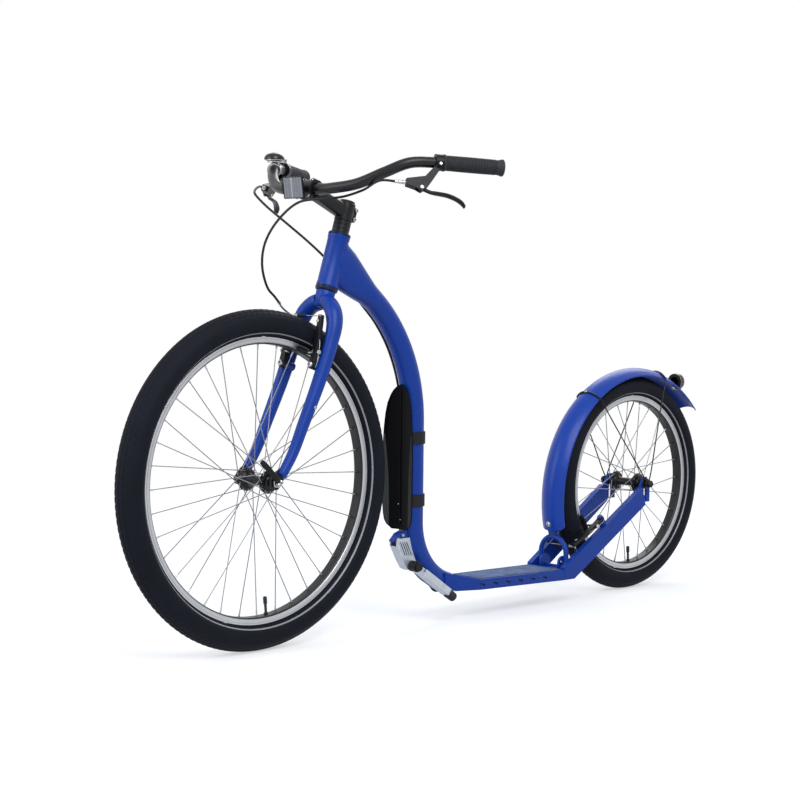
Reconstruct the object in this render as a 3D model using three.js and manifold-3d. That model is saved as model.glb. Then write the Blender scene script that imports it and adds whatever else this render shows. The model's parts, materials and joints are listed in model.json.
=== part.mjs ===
// A kick bike: a big front wheel, a small rear wheel and a low footboard between them.
// Millimetres. X points forward, Y to the rider's left, Z up, and the wheels stand on Z = 0.
// The origin lies on the ground under the middle of the bike.
import * as THREE from "three";
import { mergeVertices } from "three/addons/utils/BufferGeometryUtils.js";
import Module from "manifold-3d";

const wasm = await Module();
wasm.setup();

// Driving sizes
const wheelbase = 1160;
const frontWheelRadius = 339.5;
const rearWheelRadius = 257;
const steeringTilt = 17.5; // degrees from vertical, top to the rear
const forkOffset = 57.7;
const frontTyreHeight = 54; // rim edge to tread
const rearTyreHeight = 48;
const crownGap = 71.5; // top of the fork crown above the front tyre, along the steering axis
const headTubeLength = 110;
const hubWidth = 100; // between the dropouts, both wheels
const seatGap = 0.3; // between pieces that seat on each other
const cutOverrun = 5; // how far a cutting tool runs past what it cuts
const weldDistance = 0.0005;

// Wheels
const wheelSteps = 48;
const frontTyreWidth = 60;
const frontSpokes = 36;
const frontCrossings = 3;
const rearTyreWidth = 54;
const rearSpokes = 28;
const rearCrossings = 3;
const rimWidth = 28;
const rimDepth = 15;
const rimWall = 1.8;
const rimBedDrop = 7;
const rimEdgeRadius = 4;
const tyreOutlineShares = [
  [0.45, 1],
  [0.82, 0.84],
  [1, 0.5],
  [0.88, 0.18],
]; // half width, height above the rim edge
const hubBarrelRadius = 14;
const hubFlangeRadius = 23;
const hubFlangeWidth = 4;
const hubFlangeInset = 17; // from the dropout face to the flange middle
const hubHoleInset = 3.6;
const hubEndRadius = 10;
const spokeRadius = 1;
const spokeSideStep = 2.4; // spokes lie on both sides of a flange
const spokeSides = 4;
const frontAxleRadius = 4.5;
const rearAxleRadius = 5;
const valveRadius = 3;
const valveCapRadius = 4;
const valveLength = 36;
const valveCapLength = 15;
const frontValveAngle = 185; // degrees from straight up, towards the front
const rearValveAngle = 183;

// Main tube
const mainTubeRadius = 23.5;
const tubeTopSlope = 40; // degrees below level, behind the head tube
const wheelTubeGap = 68.75; // front tyre to the upright tube
const flareReach = 114.43; // upper bend to the middle of the head tube, level
const flareRise = 79.872;
const lowerBendRadius = 150;
const lowerBendAngle = 74;
const tubeEndDrop = 7.189; // lower end of the tube below the deck's top
const tubeFlareHeight = 43; // half height of the flare at the head tube
const tubeFlareWidth = 20;
const flareShares = [
  [0.18, 0.08],
  [0.37, 0.34],
  [0.7, 0.86],
  [1, 1],
]; // way to the head tube, growth of the flare
const headTubeRadius = 22;
const headTubeBore = 18;
const tubeSides = 16;

// Steering column
const steererRadius = 14.3;
const steererSides = 20;
const upperCupHeight = 5;
const lowerCupHeight = 8;
const cupRadius = 23.5;
const cupSkirtLength = 9;
const spacerHeight = 26;
const spacerRadius = 18;
const spacerCount = 3;
const spacerGroove = 1.2;
const topCapHeight = 5;
const crownRadius = 20;
const crownHeight = 31;
const crownTaperShare = 0.9;

// Fork blades
const bladeSpread = 56; // blade middle from the wheel plane
const bladeTopRadius = 15;
const bladeFootRadius = 10;
const bladeSides = 12;
const bladeTaperShare = 0.6; // of the height, where the blade has its full size
const bladeFlatShare = 0.92;
const bladeRouteShares = [
  [0.045, 1, 0.82],
  [0.16, 1, 0.58],
  [0.31, 1, 0.42],
  [0.53, 1, 0.19],
  [0.73, 1, 0.06],
  [0.83, 0.97, 0.04],
  [0.89, 0.82, 0.06],
  [0.93, 0.54, 0.05],
  [0.95, 0.24, 0],
]; // height to the crown, spread, share of the fork offset
const dropoutThickness = 6;
const dropoutRadius = 16;
const dropoutShare = 0.8; // of the radius, to the plate's corners
const skewerNutRadius = 9;
const skewerNutWidth = 11;
const quickLeverLength = 60;
const quickLeverAngle = 48; // degrees above level, pointing forward
const quickLeverShares = [
  [0.04, 0, 1],
  [0.2, 0.03, 1],
  [0.45, 0, 0.9],
  [0.8, -0.06, 1],
  [1, -0.12, 0.8],
]; // way along the lever, way outwards, width
const quickLeverFlatShare = 0.6;
const nutTaperShare = 0.75;
const lobeShare = 0.7;
const camPinShare = 0.8;
const camSlotShare = 0.3;

// Stem and handlebar
const stemLength = 105.4;
const stemRise = 11.4;
const stemClampHeight = 38;
const stemClampRadius = 18.5;
const stemHalfWidth = 15;
const stemHalfHeight = 16;
const stemReachShare = 0.9; // of the way to the bar, up to where the clamp takes over
const stemTaperShare = 0.85;
const stemEndShare = 0.7;
const stemPower = 0.7; // squareness of the stem's section
const stemBoltShares = [0.25, 0.75]; // of the clamp height
const stemBoltRadius = 4;
const barRadius = 11.1;
const barClampRadius = 12.7;
const barClampWidth = 44;
const barClampWall = 7;
const faceBoltShare = 1.6; // of the wall, from the bar's middle forward
const barHalfWidth = 300;
const barSetback = 247;
const barRise = 53;
const barRouteShares = [
  [0, 0.03, 0],
  [0, 0.075, 0],
  [0, 0.12, 0],
  [0.012, 0.22, 0.03],
  [0.077, 0.4, 0.175],
  [0.19, 0.56, 0.585],
  [0.332, 0.683, 0.95],
  [0.534, 0.777, 0.98],
]; // setback, half width, rise, up to the grip
const barEndRiseShare = 0.83;
const barSides = 10;
const barSteps = 30;
const barTaper = 20;
const gripRadius = 15.5;
const gripEndRadius = 17;
const gripCap = 4;

// Brake levers
const leverClampRadius = 16.5;
const leverClampWidth = 16;
const leverDrop = 58; // from the bar to the lever pivot
const leverInset = 37; // from the clamp inboard to the pivot
const leverReach = 87;
const leverOpening = 27; // how much farther from the bar the tip is
const leverTilt = 20.4; // degrees of the lever plane from straight down, forward
const leverBodyHalf = 8;
const leverSlotShare = 0.76;
const perchOutlineShares = [
  [0.14, -0.1],
  [0.14, 0.1],
  [0.69, -0.2],
  [1.03, -0.4],
  [1.13, -0.54],
  [1.03, -0.69],
  [0.93, -0.97],
  [0.72, -0.97],
  [0.66, -0.71],
  [0.59, -0.43],
]; // drop, way from the clamp to the barrel
const bladeShares = [
  [0.02, 0.02, 0.55],
  [0.22, 0.26, 0.55],
  [0.32, 0.36, 1],
  [0.58, 0.62, 1],
  [0.82, 0.85, 0.95],
  [0.95, 0.97, 1.05],
  [1, 1, 0.7],
]; // reach, opening, width
const bladeHalfWidth = 7;
const bladeHalfThickness = 3.4;
const bladeLeanShare = 0.3;
const leverPinRadius = 2.5;
const leverHubRadius = 6.5;
const leverHubHalf = 4;
const barrelLength = 16;
const barrelRadius = 4;
const barrelNeckShare = 0.7;
const barrelSeatShare = 0.97;
const barrelInset = 33; // from the pivot inboard to the barrel
const barrelRaise = 10;

// Bell and front reflector
const bellRadius = 22;
const bellHeight = 14;
const bellWall = 1.2;
const bellRise = 21.2; // dome edge above the bar middle
const bellPostRadius = 4;
const bellScrewRadius = 2;
const bellClampRadius = 15;
const bellClampWidth = 12;
const bellOutlineShares = [
  [1, 0],
  [0.93, 0.45],
  [0.7, 0.82],
  [0.38, 1],
]; // radius, height
const strikerPinOffset = 9;
const strikerPinRadius = 2;
const strikerHubRadius = 4.2;
const strikerThickness = 2.6;
const strikerReach = 22;
const strikerHalfWidth = 2.6;
const strikerKnobRadius = 2.2;
const reflectorWidth = 58;
const reflectorHeight = 44;
const reflectorRise = 8; // above the bar's middle
const reflectorThickness = 7;
const reflectorReach = 31;
const reflectorTilt = 8; // degrees, top forward
const reflectorClampOffset = 40; // from the middle, to the right
const reflectorClampRadius = 16;
const reflectorClampHalf = 4.5;
const reflectorSide = -6; // middle of the reflector, from the wheel plane
const reflectorPlate = 3;
const reflectorFacetShare = 0.5;

// Brakes
const frontPivotDrop = 37; // brake pivots inside the rim edge
const rearPivotDrop = 38;
const frontPivotSpread = 45; // pivots from the wheel plane
const rearPivotInset = 1; // and inside the dropout face
const brakeTipRise = 13; // arm tips outside the front tyre
const brakeArmWidth = 12;
const brakeArmThickness = 9;
const brakePivotPin = 4;
const brakePivotBoss = 8.5;
const brakeBoltRadius = 6.5;
const brakeBoltHead = 4;
const padRise = 27; // above the pivot
const padLength = 54;
const padHeight = 10;
const padThickness = 9;
const padGap = 2.5; // to the rim with the lever open
const padStudRadius = 3;
const armTipShare = 0.96; // of the arm, up to the cable
const brakeArmShares = [
  [0.6, -0.02],
  [0.62, 0.2],
  [0.34, 0.58],
  [-0.25, 1],
  [-1.05, 1],
  [-0.74, 0.58],
  [-0.5, 0.2],
  [-0.6, -0.02],
]; // arm width, arm length
const brakePlaneForward = 29; // front brake arms in front of the steering axis
const rearBrakeLift = 10; // rear brake arms above the stays

// Footboard
const deckFrontSetback = 56.346; // behind the end of the main tube
const deckHoopGap = 26; // deck to the hoop, which stands on the bridge behind it
const deckTop = 85;
const deckSlope = 1.4; // degrees, rear lower
const deckHalfWidth = 50;
const deckHeight = 23;
const stayPlateStep = 0.388; // inner face of the stay outside that of its end plate
const railWidth = 18;
const deckPlate = 5;
const deckRibs = 2;
const deckRibWidth = 8;
const noseLength = 88;
const noseHalfWidth = 26;
const noseRise = 18;
const deckSlots = 6;
const deckSlotPitchShare = 0.147; // of the deck length
const deckSlotLength = 15;
const deckSlotHeight = 4.5;
const deckSlotDepth = 6;
const deckSlotSlant = 18; // degrees
const firstSlotInset = 6;
const gripTapeThickness = 1.2;
const gripTapeMargin = 7;

// Chain stays, which carry the rear wheel
const stayHeight = 42;
const stayWidth = 14;
const stayFootDrop = 25.83; // stay middle line below the deck's top, at the deck's rear
const stayAxleDrop = 16.5; // stay middle line below the axle, square to the stay
const stayEndInset = 33; // end of the stay before the axle
const hookLength = 44;
const hookWidth = 12;
const rearNutRadius = 9;
const rearNutWidth = 9;
const rearWasherRadius = 13;
const rearWasherWidth = 3;

// Rear hoop, fender and stays
const hoopTubeRadius = 6;
const hoopStayGap = 0.25; // between the hoop's legs and the stays
const hoopTopDrop = 8.2; // below the front end of the fender
const hoopWheelGap = 8.25; // hoop middle in front of the rear tyre
const hoopTabHalf = 11;
const hoopTabThickness = 4;
const fenderBoltRadius = 5;
const fenderBoltHead = 3.5;
const gussetRadius = 16;
const gussetRiseShare = 0.7;
const gussetThickness = 5;
const gussetHalfSpacing = 27;
const bridgeLength = 44; // of the deck's rear bridge, which the hoop stands on
const fenderGap = 17.3; // to the rear tyre, straight above the axle
const fenderBack = 15; // middle of the fender's curve behind the rear axle
const fenderDrop = 28.7; // and below it
const fenderHalfWidth = 33;
const fenderCrown = 16;
const fenderWall = 2;
const fenderFrontAngle = -12.6; // degrees from straight forward
const fenderRearAngle = 138.5;
const fenderBoltAngle = -9.5;
const fenderSteps = 18;
const fenderSideSteps = 3;
const stayWireRadius = 1.5;
const frontStayAngle = 55.5;
const rearStayAngle = 107;
const eyeletRadius = 8;
const eyeletWidth = 3.2;
const stayClipWidth = 12;
const stayClipThickness = 4.6;
const rearReflectorAngle = 123;
const rearReflectorLift = 12;
const rearReflectorRadius = 20;
const rearReflectorDepth = 16;
const rearLensDepth = 6;
const rearLensRadius = 18.5;

// Guard in front of the upright tube
const guardBottomDrop = 14; // below the straight part of the tube
const guardTopRise = 79;
const guardRidgeReach = 34; // in front of the tube's middle line
const guardHalfWidth = 45;
const guardWing = 10;
const guardWingPower = 1.5;
const guardWall = 2.5;
const guardOutlineShares = [
  [0.55, 0],
  [0.9, 0.05],
  [1, 0.18],
  [1, 0.8],
  [0.82, 0.9],
  [0.4, 0.98],
  [0.1, 1],
]; // half width, height
const strapHeight = 26;
const strapThickness = 2.2;
const upperStrapShare = 0.631; // of the guard height
const lowerStrapShare = 0.1975;
const strapBridgeHalf = 8;
const strapBridgeThickness = 3;
const strapRibHeight = 5;

// Stand
const standTabHalf = 8;
const standBracketHalf = 11.5;
const standPivotReach = 14; // in front of the upright tube's middle line
const standPivotDrop = 93; // below its straight part
const standPinRadius = 5;
const standHubRadius = 11;
const standHubStart = 14;
const standHubWidth = 20;
const standLegLength = 104;
const standLegWidth = 24;
const standLegHeight = 15;
const standLegWall = 3;
const standLegAngle = 217.3; // degrees in side view, pointing rearward and down
const standSplay = 9; // degrees outwards
const standFootLength = 24;
const standFootRadius = 11;
const standFootTaperShare = 0.9;

// Cables
const cableRadius = 2.5;
const cableSides = 8;
const noodleRadius = 2.3;
const wireRadius = 1.2;
const bootRadius = 4.5;
const bootLength = 26;
const bootTaperShare = 0.7;
const frontNoodleShares = [
  [1.731, 0.538, 0.889],
  [1.192, 0.346, 1.022],
  [0.615, 0.154, 1.044],
  [0.154, 0.038, 0.956],
  [0, 0, 0.8],
  [0, 0, 0.556],
]; // forward and up in boot lengths, side in pivot spreads
const frontCableEndShares = [1.808, 0.5615, 0.8778];
const frontCableShares = [
  [0.9932, 0.6339, 0.3733],
  [0.893, 0.79, 0.26],
  [0.8168, 1.06, 0.16],
  [0.7181, 1.355, 0.0733],
  [0.501, 1.575, 0.0067],
  [0.2494, 1.675, -0.0267],
  [0.015, 1.56, -0.0533],
  [-0.1866, 1.225, -0.0867],
  [-0.2388, 0.9443, -0.1133],
]; // height from the crown to the bar, forward in stem lengths, side in half bar widths
const leadShares = [
  [1.0144, 1.0234, -0.56],
  [0.9349, 1.1396, -0.4933],
  [0.8232, 1.0197, -0.4067],
  [0.6695, 0.7179, -0.2733],
  [0.533, 0.3857, -0.1667],
]; // the same, for the rear brake's cable
const headCableShares = [
  [-0.0965, -0.2494, 1.3702],
  [-0.0126, -0.1843, 1.2],
  [-0.0052, -0.1783, 1.1979],
  [0.1693, -0.0292, 1.166],
  [0.4206, 0.0824, 1.1489],
  [0.7252, 0.1581, 1.1234],
]; // way down the flare, lift in flare heights, side in tube radii
const leadEndRow = 2; // rows of that table that the lead has
const underNoseShares = [
  [0.841, -0.42, 1.5234],
  [0.5682, -0.4, 2.0888],
]; // ahead of the deck in nose lengths, side in half deck widths, drop in cable radii
const underDeckShares = [
  [0.0074, -0.36, 1.7804],
  [0.5221, -0.16, 1.8118],
  [0.9632, 0.16, 2.0388],
]; // the same, with the way to the deck's rear
const deckEndShares = [
  [-4, 0.4286, -0.2294],
  [2.4, 0.5306, -0.0555],
  [5, 0.6224, 0.5966],
]; // behind the bridge in cable radii, side in pivot spreads, rise in deck heights
const rearNoodleShares = [
  [5.2, 0.6327, 0.6619],
  [7.2, 0.6939, 1.1619],
  [8, 0.7551, 1.8575],
  [6, 0.8163, 2.5097],
]; // the same, for the rear noodle
const rearTipShares = [0.8163, 0.6735, 0.5102]; // side in pivot spreads
const cableSideAngle = 55; // degrees from the front of the tube to its right side

// Colours with roughness and metalness
const finishes = {
  blue: [0x2340a8, 0.42, 0.15],
  black: [0x16171b, 0.5, 0.1],
  rubber: [0x1d2026, 0.85, 0],
  silver: [0xb9bdc4, 0.35, 0.85],
  steel: [0x8d9198, 0.35, 0.9],
  tape: [0x6c6f76, 0.95, 0],
  clear: [0xa9adb6, 0.25, 0.1],
  red: [0x8e1812, 0.25, 0.05],
  bronze: [0x4a4038, 0.35, 0.7],
  housing: [0x24262b, 0.55, 0.05],
};

const degrees = THREE.MathUtils.degToRad;
const lerp = THREE.MathUtils.lerp;
const point = (x, y, z) => new THREE.Vector3(x, y, z);

// Places that everything else is worked out from
const overallLength = frontWheelRadius + wheelbase + rearWheelRadius;
const frontAxle = point(overallLength / 2 - frontWheelRadius, 0, frontWheelRadius);
const rearAxle = point(-overallLength / 2 + rearWheelRadius, 0, rearWheelRadius);
const steeringUp = point(-Math.sin(degrees(steeringTilt)), 0, Math.cos(degrees(steeringTilt)));
const steeringForward = point(Math.cos(degrees(steeringTilt)), 0, Math.sin(degrees(steeringTilt)));
const frontRimRadius = frontWheelRadius - frontTyreHeight;
const rearRimRadius = rearWheelRadius - rearTyreHeight;
const frontPivotRadius = frontRimRadius - frontPivotDrop;
const rearPivotRadius = rearRimRadius - rearPivotDrop;
const rearPivotSpread = hubWidth / 2 - rearPivotInset;
const brakeArmLength = frontPivotDrop + frontTyreHeight + brakeTipRise;
const forkLength = frontWheelRadius + crownGap; // axle to crown
const lowerCupBottom = forkLength + seatGap;
const headTubeBottom = lowerCupBottom + lowerCupHeight;
const headTubeTop = headTubeBottom + headTubeLength;
const spacerBottom = headTubeTop + upperCupHeight + seatGap;
const stemBottom = spacerBottom + spacerHeight + seatGap;
const stemTop = stemBottom + stemClampHeight;

// A place given by its height along the steering axis, from the axle, and its distance in front of the axis.
function onSteering(height, forward, side = 0) {
  return frontAxle
    .clone()
    .addScaledVector(steeringUp, height)
    .addScaledVector(steeringForward, forward - forkOffset)
    .add(point(0, side, 0));
}

const headMiddle = onSteering((headTubeBottom + headTubeTop) / 2, 0);
const uprightTubeX = frontAxle.x - frontWheelRadius - wheelTubeGap - mainTubeRadius;
const upperBendReach = headMiddle.x - flareReach - uprightTubeX;
const upperBendRadius = upperBendReach / (1 - Math.sin(degrees(tubeTopSlope)));
const uprightTubeTop = headMiddle.z - flareRise - upperBendRadius * Math.cos(degrees(tubeTopSlope));
const uprightTubeBottom = deckTop - tubeEndDrop + lowerBendRadius * Math.sin(degrees(lowerBendAngle));
const tubeEndX = uprightTubeX - lowerBendRadius * (1 - Math.cos(degrees(lowerBendAngle)));
const hoopX = rearAxle.x + rearWheelRadius + hoopWheelGap;
const deckFront = tubeEndX - deckFrontSetback;
const deckRear = hoopX + deckHoopGap;
const deckLength = deckFront - deckRear;
const stayEndOuter = hubWidth / 2 + seatGap + stayPlateStep + stayWidth;
const deckSpread = (stayEndOuter - deckHalfWidth) / (deckFront - rearAxle.x - stayEndInset);
const railOuter = (x) => deckHalfWidth + (deckFront - x) * deckSpread;
const hoopHalfWidth = railOuter(hoopX) - stayWidth - hoopTubeRadius - hoopStayGap;
const bridgeEnd = deckRear - bridgeLength;
const guardBottom = uprightTubeBottom - guardBottomDrop;
const guardTop = uprightTubeTop + guardTopRise;
const guardRidgeX = uprightTubeX + guardRidgeReach;
const standPivotX = uprightTubeX + standPivotReach;
const standPivotZ = uprightTubeBottom - standPivotDrop;
const fenderRadius = rearWheelRadius + fenderDrop + fenderGap;

const strapMiddle = (share) => lerp(guardBottom, guardTop, share);

// Height of the deck's underside, which falls towards the rear.
const deckUnderside = (x) => deckTop - deckHeight - (deckFront - x) * Math.tan(degrees(deckSlope));

// Solids and meshes

function toSolid(geometry) {
  const bare = geometry.index ? geometry.toNonIndexed() : geometry.clone();
  bare.deleteAttribute("normal");
  bare.deleteAttribute("uv");
  const merged = mergeVertices(bare, weldDistance);
  const index = merged.index.array;
  const kept = [];
  for (let i = 0; i < index.length; i += 3) {
    const [a, b, c] = [index[i], index[i + 1], index[i + 2]];
    if (a !== b && b !== c && c !== a) kept.push(a, b, c);
  }
  const build = (triangles) =>
    new wasm.Manifold(
      new wasm.Mesh({
        numProp: 3,
        vertProperties: new Float32Array(merged.attributes.position.array),
        triVerts: new Uint32Array(triangles),
      }),
    );
  const made = build(kept);
  if (made.volume() > 0) return made;
  for (let i = 0; i < kept.length; i += 3) [kept[i], kept[i + 1]] = [kept[i + 1], kept[i]];
  return build(kept);
}

function toGeometry(solid) {
  const { vertProperties, numProp, triVerts } = solid.getMesh();
  const positions = new Float32Array((vertProperties.length / numProp) * 3);
  for (let i = 0; i < positions.length / 3; i += 1) {
    positions.set(vertProperties.subarray(i * numProp, i * numProp + 3), i * 3);
  }
  const geometry = new THREE.BufferGeometry();
  geometry.setAttribute("position", new THREE.BufferAttribute(positions, 3));
  geometry.setIndex(new THREE.BufferAttribute(new Uint32Array(triVerts), 1));
  geometry.computeVertexNormals();
  return geometry;
}

const join = (...geometries) => geometries.map(toSolid).reduce((sum, next) => sum.add(next));
const cut = (solid, ...geometries) => geometries.map(toSolid).reduce((rest, next) => rest.subtract(next), solid);

function makeMesh(name, shape, finish) {
  const [color, roughness, metalness] = finishes[finish];
  const material = new THREE.MeshStandardMaterial({ color, roughness, metalness });
  const solid = shape instanceof THREE.BufferGeometry ? toSolid(shape) : shape;
  const mesh = new THREE.Mesh(toGeometry(solid), material);
  mesh.name = name;
  return mesh;
}

// Basic shapes

function mirrored(shape) {
  const geometry = shape instanceof THREE.BufferGeometry ? shape : toGeometry(shape);
  return geometry.clone().scale(1, -1, 1);
}

function block(from, to) {
  const size = to.clone().sub(from);
  const middle = from.clone().add(to).multiplyScalar(0.5);
  return new THREE.BoxGeometry(size.x, size.y, size.z).translate(middle.x, middle.y, middle.z);
}

function rod(start, end, radius, sides, endRadius = radius) {
  const axis = end.clone().sub(start);
  const middle = start.clone().add(end).multiplyScalar(0.5);
  const turn = new THREE.Quaternion().setFromUnitVectors(point(0, 1, 0), axis.clone().normalize());
  return new THREE.CylinderGeometry(endRadius, radius, axis.length(), sides)
    .applyQuaternion(turn)
    .translate(middle.x, middle.y, middle.z);
}

// A ring or a turned piece about its own Y axis, moved to start with that axis along direction.
function turned(outline, start, direction, steps) {
  const profile = outline.map(([radius, along]) => new THREE.Vector2(radius, along));
  const turn = new THREE.Quaternion().setFromUnitVectors(point(0, 1, 0), direction.clone().normalize());
  return new THREE.LatheGeometry(profile, steps, Math.PI / steps)
    .applyQuaternion(turn)
    .translate(start.x, start.y, start.z);
}

function ringOutline(inner, outer, from, to) {
  return [
    [inner, from],
    [outer, from],
    [outer, to],
    [inner, to],
    [inner, from],
  ];
}

// An outline in side view, as [x, z], with its thickness along Y.
function sidePlate(outline, fromY, toY) {
  const shape = new THREE.Shape(outline.map(([x, z]) => new THREE.Vector2(x, z)));
  return new THREE.ExtrudeGeometry(shape, { depth: toY - fromY, bevelEnabled: false })
    .rotateX(Math.PI / 2)
    .translate(0, toY, 0);
}

// An outline in plan, as [x, y], with its thickness along Z.
function planPlate(outline, fromZ, toZ) {
  const shape = new THREE.Shape(outline.map(([x, y]) => new THREE.Vector2(x, y)));
  return new THREE.ExtrudeGeometry(shape, { depth: toZ - fromZ, bevelEnabled: false }).translate(0, 0, fromZ);
}

function roundShape(radius, sides) {
  const corners = [];
  for (let i = 0; i < sides; i += 1) {
    const angle = ((i + 0.5) / sides) * Math.PI * 2;
    corners.push(new THREE.Vector2(Math.cos(angle) * radius, Math.sin(angle) * radius));
  }
  return new THREE.Shape(corners);
}

function bentRod(points, radius, sides, steps) {
  const path = new THREE.CatmullRomCurve3(points, false, "centripetal");
  return new THREE.ExtrudeGeometry(roundShape(radius, sides), { extrudePath: path, steps, bevelEnabled: false });
}

// A skin over oval sections, each with its middle, its two half axes and a squareness, closed at both ends.
function loft(sections, sides) {
  const positions = [];
  const ring = (section) => {
    const { middle, across, up, power = 1 } = section;
    for (let i = 0; i < sides; i += 1) {
      const angle = ((i + 0.5) / sides) * Math.PI * 2;
      const [c, s] = [Math.cos(angle), Math.sin(angle)];
      const place = middle
        .clone()
        .addScaledVector(across, Math.sign(c) * Math.abs(c) ** power)
        .addScaledVector(up, Math.sign(s) * Math.abs(s) ** power);
      positions.push(place.x, place.y, place.z);
    }
  };
  sections.forEach(ring);
  const ends = [sections[0].middle, sections[sections.length - 1].middle];
  ends.forEach((end) => positions.push(end.x, end.y, end.z));
  const firstEnd = sections.length * sides;
  const triangles = [];
  for (let i = 0; i < sides; i += 1) {
    const next = (i + 1) % sides;
    for (let row = 0; row < sections.length - 1; row += 1) {
      const [a, b] = [row * sides + i, row * sides + next];
      triangles.push(a, b, a + sides, b, b + sides, a + sides);
    }
    const last = (sections.length - 1) * sides;
    triangles.push(firstEnd, next, i, firstEnd + 1, last + i, last + next);
  }
  const geometry = new THREE.BufferGeometry();
  geometry.setAttribute("position", new THREE.Float32BufferAttribute(positions, 3));
  geometry.setIndex(triangles);
  return geometry;
}

// Straight lines that touch round posts, given as [x, y, radius], at a distance, closed to an outline.
function outlineAround(posts, distance, count) {
  const supports = [];
  for (let i = 0; i < count; i += 1) {
    const angle = (i / count) * Math.PI * 2;
    const [c, s] = [Math.cos(angle), Math.sin(angle)];
    const reach = Math.max(...posts.map(([x, y, radius]) => x * c + y * s + radius));
    supports.push([c, s, reach + distance]);
  }
  return supports.map(([c1, s1, h1], i) => {
    const [c2, s2, h2] = supports[(i + 1) % count];
    const size = c1 * s2 - c2 * s1;
    return [(h1 * s2 - h2 * s1) / size, (c1 * h2 - c2 * h1) / size];
  });
}

// Wheels

function tyreOutline(radius, width, rimRadius) {
  const half = width / 2;
  const beadHalf = rimWidth / 2 - rimWall - seatGap;
  const height = radius - rimRadius;
  const side = tyreOutlineShares.map(([y, z]) => [rimRadius + z * height, y * half]);
  side.push([rimRadius + 2 * seatGap, beadHalf]);
  side.push([rimRadius - rimBedDrop + seatGap, beadHalf]);
  const otherSide = side.map(([r, y]) => [r, -y]).reverse();
  const outline = [...side, ...otherSide];
  return [...outline, outline[0]];
}

function rimOutline(rimRadius) {
  const half = rimWidth / 2;
  const side = [
    [rimRadius - rimBedDrop, half - rimWall],
    [rimRadius, half - rimWall],
    [rimRadius, half],
    [rimRadius - rimDepth + rimEdgeRadius, half],
    [rimRadius - rimDepth, half - rimEdgeRadius],
  ];
  const otherSide = side.map(([r, y]) => [r, -y]).reverse();
  return [...side, ...otherSide, side[0]];
}

function hubOutline(bore) {
  const half = hubWidth / 2 - seatGap;
  const flange = hubWidth / 2 - hubFlangeInset;
  const [inside, outside] = [flange - hubFlangeWidth / 2, flange + hubFlangeWidth / 2];
  const side = [
    [hubBarrelRadius, inside - hubFlangeWidth],
    [hubFlangeRadius, inside],
    [hubFlangeRadius, outside],
    [hubBarrelRadius + hubFlangeWidth, outside + hubFlangeWidth],
    [hubEndRadius, half - hubFlangeWidth],
    [hubEndRadius, half],
    [bore, half],
  ];
  const otherSide = side.map(([r, y]) => [r, -y]).reverse();
  return [...side, ...otherSide, side[0]];
}

// Spokes run from both sides of each flange to the rim, half of them leading and half trailing.
function spokedHub(rimRadius, count, crossings, axleRadius) {
  const hub = turned(hubOutline(axleRadius + seatGap), point(0, 0, 0), point(0, 1, 0), tubeSides);
  const flange = hubWidth / 2 - hubFlangeInset;
  const holeRadius = hubFlangeRadius - hubHoleInset;
  const rimReach = (rimRadius - rimDepth) * Math.cos(Math.PI / wheelSteps) - 2 * seatGap;
  const crossing = (crossings * 4 * Math.PI) / count;
  let solid = toSolid(hub);
  for (let i = 0; i < count; i += 1) {
    const side = i % 2 ? 1 : -1;
    const lead = Math.floor(i / 2) % 2 ? 1 : -1;
    const rimAngle = (i / count) * Math.PI * 2;
    const hubAngle = rimAngle + lead * crossing;
    const holeY = side * (flange + lead * spokeSideStep);
    const start = point(Math.sin(hubAngle) * holeRadius, holeY, Math.cos(hubAngle) * holeRadius);
    const end = point(Math.sin(rimAngle) * rimReach, side * spokeRadius, Math.cos(rimAngle) * rimReach);
    solid = solid.add(toSolid(rod(start, end, spokeRadius, spokeSides)));
  }
  return solid;
}

function valve(rimRadius, angle) {
  const out = point(Math.sin(degrees(angle)), 0, Math.cos(degrees(angle)));
  const seat = (rimRadius - rimDepth) * Math.cos(Math.PI / wheelSteps) - 2 * seatGap;
  const outline = [
    [0, 0],
    [valveCapRadius, 0],
    [valveCapRadius, -valveRadius],
    [valveRadius, -valveRadius],
    [valveRadius, valveCapLength - valveLength],
    [valveCapRadius, valveCapLength - valveLength],
    [valveCapRadius, -valveLength + valveRadius],
    [0, -valveLength],
  ];
  return turned(outline, out.clone().multiplyScalar(seat), out, cableSides);
}

function wheel(name, sizes) {
  const { radius, width, rimRadius, spokes, crossings, axleRadius, valveAngle, axle } = sizes;
  // The flats touch the ground, so the corners reach past it.
  const corner = radius / Math.cos(Math.PI / wheelSteps);
  const group = new THREE.Group();
  const round = (outline) => turned(outline, point(0, 0, 0), point(0, 1, 0), wheelSteps);
  group.add(makeMesh(name + "_tyre", round(tyreOutline(corner, width, rimRadius)), "rubber"));
  group.add(makeMesh(name + "_rim", round(rimOutline(rimRadius)), "silver"));
  group.add(makeMesh(name + "_hub_and_spokes", spokedHub(rimRadius, spokes, crossings, axleRadius), "steel"));
  group.add(makeMesh(name + "_valve", valve(rimRadius, valveAngle), "black"));
  group.position.copy(axle);
  return group;
}

// Main tube

const tubeArcTop = point(
  uprightTubeX + upperBendRadius * (1 - Math.sin(degrees(tubeTopSlope))),
  0,
  uprightTubeTop + upperBendRadius * Math.cos(degrees(tubeTopSlope)),
);

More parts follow.
